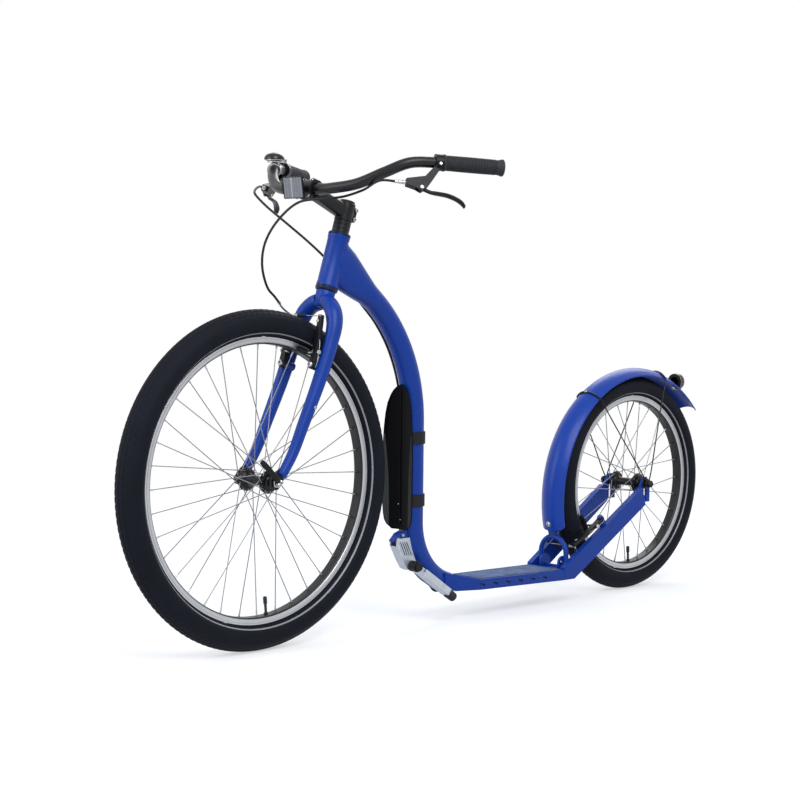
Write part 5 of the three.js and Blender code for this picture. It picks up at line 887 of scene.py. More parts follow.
def addHeadTube(rings):
    r, bore = mainTube["headRadius"], mainTube["bore"]
    height = column["headTop"] - column["headBottom"]
    half = [(bore, 0), (r - 0.6, 0), (r + 0.9, 0.8), (r + 0.9, 7), (r, 9)]
    profile = half + [(a, height - s) for a, s in half[::-1]] + half[:1]
    start = onSteering(column["headBottom"], 0)
    addPiece("head_tube", latheData(profile, start, steeringUp, 72), "bluePaint")
    # smoothed weld where the flare meets the head tube
    base, bead = onSteering(0, 0), []
    for k in range(mainTube["sides"]):
        line = [ring[k] for ring in rings[:mainTube["flareRings"]]]
        best = None
        for a, c in zip(line, line[1:]):
            da, dc = [(p - base - steeringUp * (p - base).dot(steeringUp)).length for p in (a, c)]
            if da <= r < dc:
                best = a.lerp(c, (r - da) / (dc - da))
        if best:
            bead.append(best)
    bead.append(bead[0])
    addPiece("head_tube_weld", tubeData(smoothPath(bead, 2.4), 1.5, 10), "bluePaint", smooth=60)


def addStandTab():
    # the blue tab that the stand bolts to, with its two bolts
    front = mainTube["x"] + mainTube["radius"]
    outline = [(mainTube["x"], 216), (front + 24, 200), (front + 40, 184), (mainTube["x"], 176)]
    addPiece("stand_tab", plateData(outline, -8, 8, v), "bluePaint", smooth=30, edge=1.2)
    parts = []
    for x, z in ((front + 12, 196), (front + 26, 189)):
        for side in (1, -1):
            parts.append(boltData(v(x, side * 8, z), v(0, side, 0), 4.0, 3.0))
    addPiece("stand_tab_bolts", addUp(*parts), "brightSteel")


tubeRings = addMainTube()
addHeadTube(tubeRings)
addStandTab()
print("main tube ready")


# Footboard, chain stays and hoop

board = dict(top=85.0, slope=math.radians(1.4), front=-58.0, rear=-330.0, halfWidth=50.0, height=23.0,
             spread=0.0277, slots=6, slotPitch=40.0, slotLength=15.0, slotHeight=4.5,
             slotSlant=math.radians(18), firstSlot=6.0)


def boardPoint(x, y, z):
    # a place on the footboard, which falls slightly to the rear
    a = board["slope"]
    dx, dz = x - board["front"], z - board["top"]
    rise = dx * math.sin(a) + dz * math.cos(a)
    return v(board["front"] + dx * math.cos(a) - dz * math.sin(a), y, board["top"] + rise)


def underside(x):
    return board["top"] - board["height"] - (board["front"] - x) * math.tan(board["slope"])


def addBoard():
    dress("deck", "bluePaint", 1.0)
    dress("grip_tape", "tape", 0.35)
    parts = []
    for side in (-1, 1):
        for i in range(board["slots"]):
            x = board["front"] - board["firstSlot"] - i * board["slotPitch"]
            y = board["halfWidth"] + (board["front"] - x) * board["spread"]
            ring = []
            a, b = board["slotLength"] / 2 - 0.1, board["slotHeight"] / 2 - 0.1
            for k in range(24):
                t = 2 * math.pi * k / 24
                u = math.copysign(abs(math.cos(t)) ** 0.45, math.cos(t)) * a
                w = math.copysign(abs(math.sin(t)) ** 0.7, math.sin(t)) * b
                s = board["slotSlant"]
                ring.append((u * math.cos(s) - w * math.sin(s), u * math.sin(s) + w * math.cos(s)))
            middle = board["top"] - board["height"] / 2
            near, far = side * (y - 4.6), side * (y - 1.3)
            place = lambda p, q, r: boardPoint(x + p, q, middle + r)
            parts.append(plateData(ring, near, far, place))
    addPiece("board_slot_liners", addUp(*parts), "blackPlastic")
    # low button screws that hold the tape's plate
    parts = []
    for x in (-78, -194, -310):
        for side in (-1, 1):
            place = boardPoint(x, side * 31, board["top"] + 1.5)
            parts.append(boltData(place, v(0, 0, 1), 3.6, 0.7, 0.45, 20))
    addPiece("board_screws", addUp(*parts), "blackSteel")


def addStays():
    for side in ("left", "right"):
        dress(side + "_chainstay", "bluePaint", 1.6)
    # weld lines where the stays meet the board
    parts = []
    for side in (-1, 1):
        y = side * (board["halfWidth"] + (board["front"] - board["rear"]) * board["spread"] - 7)
        top = board["top"] + (board["rear"] - board["front"]) * math.tan(board["slope"])
        low = top - board["height"]
        x = board["rear"]
        y0, y1, z0, z1 = y - 6.2, y + 6.8, low + 1, top - 1
        loop = [v(x, y0, z0), v(x, y1, z0), v(x, y1, z1), v(x, y0, z1)]
        loop = [p for a, b in zip(loop, loop[1:] + loop[:1]) for p in (a.lerp(b, k / 8) for k in range(8))]
        loop.append(loop[0])
        parts.append(beadData(loop, 1.1))
    addPiece("stay_welds", addUp(*parts), "bluePaint", smooth=60)


hoop = dict(x=-356.0, leg=38.0, foot=78.4, arch=110.0, top=154.0, tube=6.0, gussetSide=27.0,
            gussetRadius=16.0, gussetWidth=5.0, gussetRise=11.2, tabHalf=11.0, tabWidth=4.0, tabReach=4.2,
            boltAngle=-9.5, boltRadius=5.0, boltHead=3.5)
fender = dict(middle=v(-636.25, 0, 228.3), radius=303.0, front=-12.6, rear=138.5, half=33.0, crown=16.0,
              wall=2.0, lip=1.5, corner=2.5)


def onFender(radius, angle, side=0.0):
    a = math.radians(angle)
    return fender["middle"] + v(radius * math.cos(a), side, radius * math.sin(a))


def crownDrop(side):
    return fender["crown"] * (side / fender["half"]) ** 2


def addHoop():
    x, leg, foot, arch = hoop["x"], hoop["leg"], hoop["foot"], hoop["arch"]
    points = [v(x, leg, foot + (arch - foot) * k / 4) for k in range(5)]
    for k in range(1, 24):
        t = math.pi * k / 24
        points.append(v(x, math.cos(t) * leg, arch + math.sin(t) * leg))
    points += [v(x, -leg, arch - (arch - foot) * k / 4) for k in range(5)]
    parts = [tubeData(points, hoop["tube"], 24)]
    parts += [ringData(v(x, side * leg, foot + 1.0), v(0, 0, 1), hoop["tube"] + 0.5, 1.3) for side in (-1, 1)]
    addPiece("hoop_tube", addUp(*parts), "bluePaint", nodes=["rear_hoop"], smooth=60)
    parts = []
    for side in (-1, 1):
        r = hoop["gussetRadius"]
        outline = [(x - r, foot), (x + r, foot)]
        for k in range(15):
            t = math.pi * k / 14
            outline.append((x + math.cos(t) * r, foot + hoop["gussetRise"] + math.sin(t) * r))
        y = side * hoop["gussetSide"]
        parts.append(plateData(outline, y - hoop["gussetWidth"] / 2, y + hoop["gussetWidth"] / 2, v))
    parts.append(boxData((x - 3, -leg, foot), (x + 3, leg, foot + 5)))
    inner = fender["radius"] * math.cos(math.radians(hoop["tabReach"])) - fender["wall"]
    inner -= crownDrop(hoop["tabHalf"]) + bike["gap"]
    outer = inner - hoop["tabWidth"]
    tabTop = 2 * hoop["boltAngle"] - fender["front"]
    rise = hoop["top"] - hoop["tube"]
    flat = lambda p: (p.x, p.z)
    outline = [flat(onFender(inner, tabTop)), flat(onFender(inner, fender["front"])), (x + 3, rise),
               (x - 3, rise + 3), flat(onFender(outer, fender["front"])), flat(onFender(outer, tabTop))]
    parts.append(plateData(outline, -hoop["tabHalf"], hoop["tabHalf"], v))
    addPiece("hoop_plates", addUp(*parts), "bluePaint", edge=0.9)
    # bolts: one through the fender, one through each gusset
    out = onFender(1, hoop["boltAngle"]) - onFender(0, hoop["boltAngle"])
    at = onFender(fender["radius"] + 0.3, hoop["boltAngle"])
    washer = latheData([(0, -0.2), (6.4, -0.2), (6.4, 0.5), (0, 0.5)], at, out, 28)
    head = boltData(at, out, hoop["boltRadius"], hoop["boltHead"], 0.48)
    parts = [head, rodData(at - out * 8, at, 2.0, 16), washer]
    for side in (-1, 1):
        for dx, dz in ((-7, 8), (7, 14)):
            place = v(x + dx, side * (hoop["gussetSide"] + 2.4), foot + dz)
            parts.append(boltData(place, v(0, side, 0), 3.2, 2.2, 0.5, 20))
    addPiece("hoop_bolts", addUp(*parts), "brightSteel")


def fenderHalf(angle):
    # rounded corners at both ends
    left = min(angle - fender["front"], fender["rear"] - angle) / fender["corner"]
    if left >= 1:
        return fender["half"]
    return fender["half"] * lerp(0.8, 1, math.sqrt(max(0.0, 1 - (1 - left) ** 2)))


def addFender():
    # a thin curved shell with rolled edges
    steps, across = 200, 16
    rings = []
    for i in range(steps + 1):
        angle = lerp(fender["front"], fender["rear"], i / steps)
        half = fenderHalf(angle)
        low, high = [], []
        for k in range(-across, across + 1):
            y = half * k / across
            edge = abs(k) / across
            roll = fender["lip"] * clamp((edge - 0.93) / 0.07) ** 1.5
            high.append(onFender(fender["radius"] - crownDrop(y) + roll * 0.2, angle, y))
            low.append(onFender(fender["radius"] - crownDrop(y) - fender["wall"] - roll, angle, y))
        rings.append(high + low[::-1])
    addPiece("fender_shell", loftRings(rings), "blueFender", nodes=["rear_fender"], smooth=50, edge=0.5)


clips = dict(front=55.5, rear=107.0, wire=1.5, width=5.0, thickness=2.2, frontY=61.5, rearY=65.0, eyelet=8.0)


def wirePath(angle, eyeletY):
    # from the axle up beside the wheel, over the fender and down again
    lift = 2 * clips["wire"]
    over = []
    for i in range(-8, 9):
        y = i / 8 * fender["half"]
        slope = 2 * fender["crown"] * y / fender["half"] ** 2
        size = math.hypot(slope, 1)
        over.append(onFender(fender["radius"] - crownDrop(y) + lift / size, angle, y + lift * slope / size))
    edge = over[-1]
    foot = v(rearAxle.x, eyeletY, rearAxle.z)
    towards = v(edge.x - foot.x, 0, edge.z - foot.z).normalized()
    start = foot + towards * (clips["eyelet"] - clips["wire"])
    straight = foot + towards * (13 + clips["eyelet"])
    rise = start.lerp(edge, 0.75)
    bend = edge - towards * (fender["crown"] / 2)
    bend.y = edge.y + clips["wire"]
    half = [start, straight, straight.lerp(rise, 0.5), rise, bend]
    return smoothPath([mirror(p) for p in half] + over + half[::-1], 4)


def addWires():
    for name, angle, y in (("front", clips["front"], clips["frontY"]),
                           ("rear", clips["rear"], clips["rearY"])):
        parts = [tubeData(wirePath(angle, y), clips["wire"], 12)]
        for side in (-1, 1):
            middle = v(rearAxle.x, side * y, rearAxle.z)
            parts.append(sleeveData(5.3, clips["eyelet"], -1.6, 1.6, 0.8, 0.7, middle, acrossY, 36))
        addPiece(name + "_stay_wire", addUp(*parts), "blackSteel", nodes=[name + "_fender_stay"],
                 smooth=50)
        # the clip hugs the fender on both sides of the wire
        rings = []
        spread = math.degrees(clips["width"] / 2 / fender["radius"])
        for i in range(-14, 15):
            y = 33.4 * i / 14
            lean = 2 * fender["crown"] * y / fender["half"] ** 2
            size = math.hypot(lean, 1)
            low, high = 0.25, clips["thickness"] + (1.6 if abs(i) < 13 else 0.6)
            ring = []
            for share, h in ((-1, low), (-1, high - 1.2), (-0.6, high), (0.6, high), (1, high - 1.2),
                             (1, low)):
                a = spread * share
                ring.append(onFender(fender["radius"] - crownDrop(y) + h / size, angle + a,
                                     y + h * lean / size))
            rings.append(ring)
        addPiece(name + "_wire_clip", loftRings(rings), "blackPlastic", nodes=[name + "_stay_clip"],
                 smooth=40, edge=0.4)
    parts = []
    for angle in (clips["front"], clips["rear"]):
        out = onFender(1, angle) - onFender(0, angle)
        parts.append(boltData(onFender(fender["radius"] + 3.2, angle), out, 3.4, 1.6, 0.5, 20))
    addPiece("wire_clip_screws", addUp(*parts), "brightSteel")


rearNuts = dict(washerFrom=56.6, threadFrom=68.4, nutFrom=66.9, nutTo=75.9, nut=9.0, axle=4.7)


def addRearAxle():
    end = v(0, rearNuts["nutTo"], 0)
    parts = [rodData(rearAxle - end, rearAxle + end, rearNuts["axle"], 28, chamfer=0.8)]
    for k in range(12):
        for side in (-1, 1):
            y = side * (rearNuts["threadFrom"] + k * 0.6)
            parts.append(ringData(rearAxle + v(0, y, 0), acrossY, rearNuts["axle"], 0.22, 24, 6))
    addPiece("rear_axle_bar", addUp(*parts), "blackSteel", nodes=["rear_axle"], smooth=40)
    parts, nuts = [], []
    for side in (-1, 1):
        d = v(0, side, 0)
        at = rearAxle + v(0, side * rearNuts["washerFrom"], 0)
        parts.append(latheData([(5.2, 0), (12.4, 0), (13, 0.5), (13, 2.4), (12.2, 3.0), (5.2, 3.0), (5.2, 0)],
                               at, d, 40))
        at = rearAxle + v(0, side * rearNuts["nutFrom"], 0)
        nuts.append(latheData([(5.2, 0), (9.6, 0), (9.8, 0.4), (9.2, 1.5), (5.2, 1.5), (5.2, 0)], at, d, 40))
        nuts.append(hexData(at + d * 1.2, d, rearNuts["nut"], 6.0))
        nuts.append(latheData([(5.1, 7), (7.4, 7), (6.6, 8.6), (5.1, 8.6), (5.1, 7)], at, d, 32))
    addPiece("rear_washers", addUp(*parts), "blackSteel")
    addPiece("rear_nuts", addUp(*nuts), "blackSteel", edge=0.25)


rearLight = dict(angle=123.0, lift=12.0, depth=16.0)


def addRearReflector():
    middle = onFender(fender["radius"] + rearLight["lift"], rearLight["angle"])
    back = v(-1, 0, 0)
    start = middle + v(rearLight["depth"] / 2, 0, 0)
    profile = [(0, 0), (12, 0), (17, 1.6), (19.2, 4.2), (20, 8), (20, 15), (19.4, 16.6), (18.9, 16.6),
               (18.7, 15.2), (0, 15.2)]
    parts = [latheData(profile, start, back, 72)]
    addPiece("rear_reflector_cup", addUp(*parts), "lampCup")
    dress("rear_reflector_housing", "blackPlastic", 0.8)
    seat = middle - v(rearLight["depth"] / 2 + 0.2, 0, 0)
    profile = [(0, -0.4), (18.3, -0.4), (18.5, 0.6), (18.2, 1.6), (17.2, 2.6), (14, 4.0), (9, 5.2), (4, 5.8),
               (0, 5.95)]
    addPiece("rear_lens", latheData(profile, seat, back, 72), "redLens", nodes=["rear_reflector_lens"],
             smooth=40)
    parts = [ringData(seat, back, 18.9, 0.8, 72, 8), ringData(start + v(-4.2, 0, 0), back, 19.3, 0.7, 72, 8)]
    addPiece("rear_lens_rim", addUp(*parts), "brightAlloy", smooth=60)
    foot = onFender(fender["radius"] - 2.4, rearLight["angle"])
    out = onFender(0, rearLight["angle"]) - onFender(1, rearLight["angle"])
    addPiece("reflector_nut", hexData(foot, out, 5.0, 3.6, 0.4), "brightSteel", edge=0.2)


addBoard()
addStays()
addHoop()
addFender()
addWires()
addRearAxle()
addRearReflector()
print("board, stays and fender ready")


# Guard, headset cups and stand

leaf = dict(ridge=141.0, wing=10.0, wall=2.5, half=45.0, low=208.0, high=517.0, straps=(403.0, 269.0),
            strapHeight=26.0, tubeFront=130.8, rib=1.4, ribHalf=1.6,
            rivets=((-5.5, 262.0, 1.6), (0.0, 229.0, 2.2)),
            strip=dict(inner=29.0, low=214.0, high=412.0, raised=0.9))
# shares of its height and half width
leafOutline = [(0.0, 0.5), (0.012, 0.6), (0.03, 0.78), (0.06, 0.9), (0.11, 0.96), (0.18, 0.995), (0.3, 1.0),
               (0.5, 1.0), (0.6, 0.985), (0.7, 0.945), (0.8, 0.87), (0.87, 0.77), (0.93, 0.6), (0.965, 0.43),
               (0.985, 0.28), (1.0, 0.08)]


def addGuard():
    rows, columns = 110, 44
    front, back = [], []
    for i in range(rows + 1):
        share = i / rows
        half = leaf["half"] * interp(leafOutline, share)
        z = lerp(leaf["low"], leaf["high"], share)
        f, b = [], []
        for k in range(-columns, columns + 1):
            y = half * k / columns
            x = leaf["ridge"] + leaf["wing"] * abs(y / leaf["half"]) ** 1.5
            # a pressed panel inside the edge, with a raised rib up its middle
            edge = min(1 - abs(k) / columns, min(share, 1 - share) * 8)
            press = 0.7 * clamp((edge - 0.12) / 0.05)
            rib = leaf["rib"] * clamp(1.6 - abs(y) / leaf["ribHalf"]) * clamp((edge - 0.2) / 0.1)
            f.append(v(x + leaf["wall"] - press + rib, y, z))
            b.append(v(x, y, z))
        front.append(f)
        back.append(b)
    rings = [f + b[::-1] for f, b in zip(front, back)]
    addPiece("guard_leaf", loftRings(rings), "guardPlastic", nodes=["downtube_guard"], smooth=40)
    parts = []
    for z in leaf["straps"]:
        reach = leaf["strapHeight"] / 2 + 0.3 + 5
        parts.append(boxData((leaf["tubeFront"], -8, z - reach), (leaf["tubeFront"] + 3, 8, z + reach)))
        for way in (-1, 1):
            a, b = sorted((z + way * (reach - 5), z + way * reach))
            parts.append(boxData((leaf["tubeFront"], -8, a), (leaf["ridge"] + 1.2, 8, b)))
    addPiece("guard_bridges", addUp(*parts), "guardPlastic", edge=0.6)
    # ribbed strips along both sides of its lower part
    strip = leaf["strip"]
    parts = []
    for side in (-1, 1):
        rings = []
        for i in range(100):
            share = i / 99
            z = lerp(strip["low"], strip["high"], share)
            outer = leaf["half"] * interp(leafOutline, (z - leaf["low"]) / (leaf["high"] - leaf["low"])) - 0.6
            inner = lerp(strip["inner"], outer - 3, share ** 3)
            high = strip["raised"] * (1 if i % 2 else 0.35)
            ring = []
            for y, up in ((inner, -0.9), (inner, high * 0.5), (inner + 1, high), (outer - 1, high),
                          (outer, high * 0.5), (outer, -0.9)):
                x = leaf["ridge"] + leaf["wall"] + leaf["wing"] * (y / leaf["half"]) ** 1.5
                ring.append(v(x + up, side * y, z))
            rings.append(ring)
        parts.append(loftRings(rings))
    addPiece("guard_side_strips", addUp(*parts), "footRubber", smooth=50)
    parts = []
    for y, z, radius in leaf["rivets"]:
        x = leaf["ridge"] + leaf["wing"] * abs(y / leaf["half"]) ** 1.5 + leaf["wall"] - 0.7
        dome = [(0, -0.6), (1, -0.6), (1, 0.2), (0.85, 0.45), (0.5, 0.62), (0, 0.68)]
        parts.append(latheData([(r * radius, s * radius) for r, s in dome], v(x, y, z), v(1, 0, 0), 20))
    addPiece("guard_rivets", addUp(*parts), "brightSteel", smooth=50)
    for name in ("upper_guard_strap", "lower_guard_strap"):
        dress(name, "strapRubber", 0.5, 45)
    parts = []
    for z in leaf["straps"]:
        for way in (-1, 1):
            place = v(mainTube["x"] - mainTube["radius"] - 2.6, way * 4.2, z)
            parts.append(latheData([(0, -0.5), (2.2, -0.5), (2.2, 0.4), (1.4, 0.9), (0, 1.0)], place,
                                   v(-1, 0, 0), 16))
    addPiece("strap_studs", addUp(*parts), "blackSteel")


def addCups():
    inner, skirt = 14.9, 17.6
    for name, height, h, out in (("lower_headset_cup", column["headBottom"], 8.0, -1),
                                 ("upper_headset_cup", column["headTop"], 5.0, 1)):
        profile = [(inner, -9), (skirt, -9), (skirt, 0.3), (23.0, 0.3), (23.5, 0.8), (23.5, h * 0.38),
                   (22.9, h * 0.46), (22.9, h * 0.54), (23.3, h * 0.6), (22.6, h * 0.88), (21.6, h),
                   (inner, h), (inner, -9)]
        data = latheData(profile, onSteering(height, 0), steeringUp * out, 72)
        addPiece(name.replace("headset", "bearing"), data, "navyCup", nodes=[name], smooth=30)


stand = dict(pivot=v(121, 24, 129), splay=9.0, angle=217.3, length=104.0, footEnd=128.0, hubFrom=14.0,
             hubTo=34.0, bracketHalf=11.5)


def onLeg(x, y, z):
    # a place on the stand leg: x along it, y across, z out of its open face
    turned = Matrix.Rotation(math.radians(-stand["angle"]), 3, "Y") @ Matrix.Rotation(math.pi, 3, "X")
    return turned @ Matrix.Rotation(math.radians(-stand["splay"]), 3, "Z") @ v(x, y, z) + stand["pivot"]


def addStand():
    dress("stand_bracket", "castAlloy", 2.0)
    dress("stand_leg", "castAlloy", 0.9)
    # black cap over the pin's head
    at = v(stand["pivot"].x, stand["hubTo"] + 0.2, stand["pivot"].z)
    profile = [(0, 0), (9.6, 0), (9.6, 0.8), (9.1, 1.2), (9.1, 4.9), (8.6, 5.6), (4.4, 5.8), (4.0, 5.2),
               (0, 5.15)]
    addPiece("stand_pin_cap", latheData(profile, at, acrossY, 40), "blackPlastic")
    # black cover round the hub
    at = v(stand["pivot"].x, stand["hubFrom"] + 0.6, stand["pivot"].z)
    profile = [(11.15, 0), (11.7, 0.4), (11.7, 6.2), (11.3, 6.6), (11.3, 11.4), (11.7, 11.8), (11.7, 18.4),
               (10.9, 19.5), (5.4, 19.5), (5.4, 19.42), (11.15, 19.42), (11.15, 0)]
    addPiece("stand_hub_cover", latheData(profile, at, acrossY, 56), "blackPlastic", "stand")
    # slanted ribs on both sides of the bracket, with black plates between them as painted shade in the
    # grooves
    ribs, grooveShade = [], []
    for side in (-1, 1):
        at = lambda x, z: v(x, side * stand["bracketHalf"], z)
        for k in range(5):
            x = 133 + 6 * k
            ribs.append(rodData(at(x, 184), at(x - 17, 150), 1.5, 12, chamfer=0.5))
        for k in range(4):
            # black plates between the ribs: painted shade in the grooves
            x = 136 + 6 * k
            outline = [(x - 2.1, 181), (x + 1.5, 181), (x - 12.5, 153), (x - 16.1, 153)]
            a, b = sorted((side * (stand["bracketHalf"] - 1), side * (stand["bracketHalf"] + 0.5)))
            grooveShade.append(plateData(outline, a, b, v))
    addPiece("stand_bracket_ribs", addUp(*ribs), "castAlloy")
    addPiece("stand_bracket_groove_shade", addUp(*grooveShade), "blackPlastic")
    # collar and rubber foot with grip rings
    length, end = stand["length"], stand["footEnd"]
    along = (onLeg(1, 0, 0) - onLeg(0, 0, 0)).normalized()
    profile = [(0, 0.3), (10.2, 0.3), (11, 1.2)]
    for k in range(5):
        s = 4 + k * 3.6
        profile += [(11 - 0.045 * s, s), (10.2 - 0.045 * s, s + 0.7), (10.2 - 0.045 * s, s + 1.6),
                    (11 - 0.045 * s, s + 2.3)]
    profile += [(9.9, end - length - 2.2), (8.6, end - length - 0.4), (0, end - length)]
    addPiece("stand_rubber_foot", latheData(profile, onLeg(length, 0, 0), along, 48), "footRubber", "stand",
             ["stand_foot"], smooth=30)
    washer = ringData(v(stand["pivot"].x, 12.7, stand["pivot"].z), acrossY, 9.2, 0.75, 40, 8)
    addPiece("stand_spring_washer", washer, "blackSteel", smooth=60)


addGuard()
addCups()
addStand()
print("guard, cups and stand ready")


# Fork and headset

fork = dict(length=411.0, spread=56.0, offset=57.7, foot=10.0, top=15.0, taper=0.6, flat=0.92, crownLow=374.0,
            swell=4.0, pivot=248.5, pivotSide=45.0, armPlane=29.0, steerer=14.3, slot=4.8,
            blade=[(0.045, 1, 0.82), (0.16, 1, 0.58), (0.31, 1, 0.42), (0.53, 1, 0.19), (0.73, 1, 0.06),
                   (0.83, 0.97, 0.04), (0.89, 0.82, 0.06), (0.93, 0.54, 0.05), (0.95, 0.24, 0)])


def addFork():
    parts = []
    for side in (-1, 1):
        posts = []
        for h, s, o in fork["blade"]:
            posts.append(onSteering(h * fork["length"], o * fork["offset"], side * s * fork["spread"]))
        rings = []
        path = smoothPath(posts, 4)
        for i, p in enumerate(path):
            d = directionAt(path, i)
            height = (p - frontAxle).dot(steeringUp) / fork["length"]
            radius = lerp(fork["foot"], fork["top"], min(1, height / fork["taper"]))
            across = (acrossY - d * d.y).normalized()
            # the blades swell inwards under the crown
            swell = fork["swell"] * clamp((height - 0.72) / 0.16)
            p = p - across * side * swell * 0.8
            radius += swell * 0.8
            rings.append(ringAt(p, across, d.cross(across), radius * fork["flat"], 40, 1, 1 / fork["flat"]))
        # rounded foot of the blade
        first = path[0]
        d = directionAt(path, 0)
        across = (acrossY - d * d.y).normalized()
        caps = []
        for k in (0.97, 0.85, 0.6, 0.3):
            radius = fork["foot"] * math.sqrt(1 - k * k) * fork["flat"]
            caps.append(ringAt(first - d * (k * 4), across, d.cross(across), radius, 40, 1, 1.08))
        parts.append(loftRings(caps + rings))
    foot = onSteering(fork["crownLow"], 0)
    parts.append(latheData([(0, 0), (13, 0.6), (17.6, 4), (19.9, 34.6), (18.8, 36.9), (0, 37)], foot,
                           steeringUp, 64))
    parts.append(ringData(onSteering(409.5, 0), steeringUp, 18.2, 1.6, 56))
    addPiece("fork_blades", addUp(*parts), "bluePaint", "steering", ["fork"], smooth=60)
    addPiece("fork_steerer", rodData(onSteering(408, 0), onSteering(598.4, 0), fork["steerer"], 48),
             "blackAlloy", "steering")
    plates, bosses, steel = [], [], []
    for side in (-1, 1):
        outline = [(32, 37.3), (32, 52.3), (22, 62), (12, 68.5), (2, 71), (-8, 69), (-12.8, 65.7),
                   (-12.8, 62.5)]
        for t in [math.pi * k / 12 for k in range(13)]:
            outline.append((math.sin(t) * fork["slot"], fork["offset"] + math.cos(t) * fork["slot"]))
        outline += [(-12.8, 52.9), (-12.8, 49.7), (-6, 45), (8, 41.7), (20, 38.5)]
        low, high = sorted((side * 50.3, side * 56.3))
        plates.append(plateData(outline, low, high, lambda a, q, b: onSteering(a, b, q)))
        at = lambda forward, y=side * fork["pivotSide"]: onSteering(fork["pivot"], forward, y)
        bosses.append(latheData([(0, 0), (8.5, 0), (8.5, 22.4), (7.6, 24.0), (0, 24.0)], at(0),
                                steeringForward, 32))
        steel.append(boltData(at(33.8), steeringForward, 6.3, 4.0, 0.45, 30))
        steel.append(rodData(at(23), at(34), 4.0, 20))
        # eyelet bolt on the outside of the blade
        place = onSteering(166, 14, side * 67.2)
        steel.append(latheData([(0, -3), (4.6, -3), (4.6, 0.6), (0, 0.6)], place, v(0, side, 0), 28))
        steel.append(boltData(place, v(0, side, 0), 3.8, 2.6, 0.5, 24))
    addPiece("fork_dropouts", addUp(*plates), "blackAlloy", "steering", edge=0.7)
    addPiece("fork_bosses", addUp(*bosses), "bluePaint", "steering")
    addPiece("fork_bolts", addUp(*steel), "brightSteel", "steering")


def addColumn():
    profile = [(14.9, 0)]
    for i in range(3):
        a, b = i * 26 / 3, (i + 1) * 26 / 3
        profile += [(17.2, a + 0.05), (17.7, a + 0.2), (18, a + 0.6), (18, b - 0.6), (17.7, b - 0.2),
                    (17.2, b - 0.05)]
    profile += [(14.9, 26), (14.9, 0)]
    addPiece("spacer_rings", latheData(profile, onSteering(column["spacers"], 0), steeringUp, 64),
             "blackAlloy", "steering", ["headset_spacers"], smooth=30)
    profile = [(0, 0.3), (16.2, 0.3), (16.5, 0.8), (16.5, 3.2), (15.8, 4.4), (14.4, 5.0), (7.4, 5.0),
               (7.0, 4.6), (6.6, 3.4), (0, 3.4)]
    addPiece("column_cap", latheData(profile, onSteering(column["stemTop"], 0), steeringUp, 56), "blackAlloy",
             "steering", ["top_cap"], smooth=30)
    data = boltData(onSteering(column["stemTop"] + 3.0, 0), steeringUp, 5.4, 2.0, 0.5, 30)
    addPiece("cap_bolt", data, "brightSteel", "steering")
    profile = [(14.6, 0), (20.4, 0), (21.6, 0.8), (22.4, 2.6), (22.0, 3.8), (18.0, 5.0), (14.6, 5.0),
               (14.6, 0)]
    addPiece("bearing_cover", latheData(profile, onSteering(534.4 - 5.0, 0), steeringUp, 64), "blackAlloy",
             "steering", smooth=30)


stemSize = dict(middle=579.9, barHeight=591.3, reach=105.4, outer=19.7, inner=12.9, half=22.0, armHeight=16.0,
                armHalf=15.0, taper=0.85, power=0.7, boltRise=16.2, boltSide=14.67)
barMiddle = onSteering(stemSize["barHeight"], stemSize["reach"])


def aroundBar(forward, up, side=0.0):
    return barMiddle + steeringForward * forward + steeringUp * up + v(0, side, 0)


def arcShell(inner, outer, start, end, steps, shift=0.0):
    # half a ring as an outline of (forward, up)
    rows = []
    for radius, way in ((outer, 1), (inner, -1)):
        for k in range(steps + 1):
            t = math.radians(lerp(start, end, k / steps if way > 0 else 1 - k / steps))
            rows.append((math.cos(t) * radius + shift, math.sin(t) * radius))
    return rows


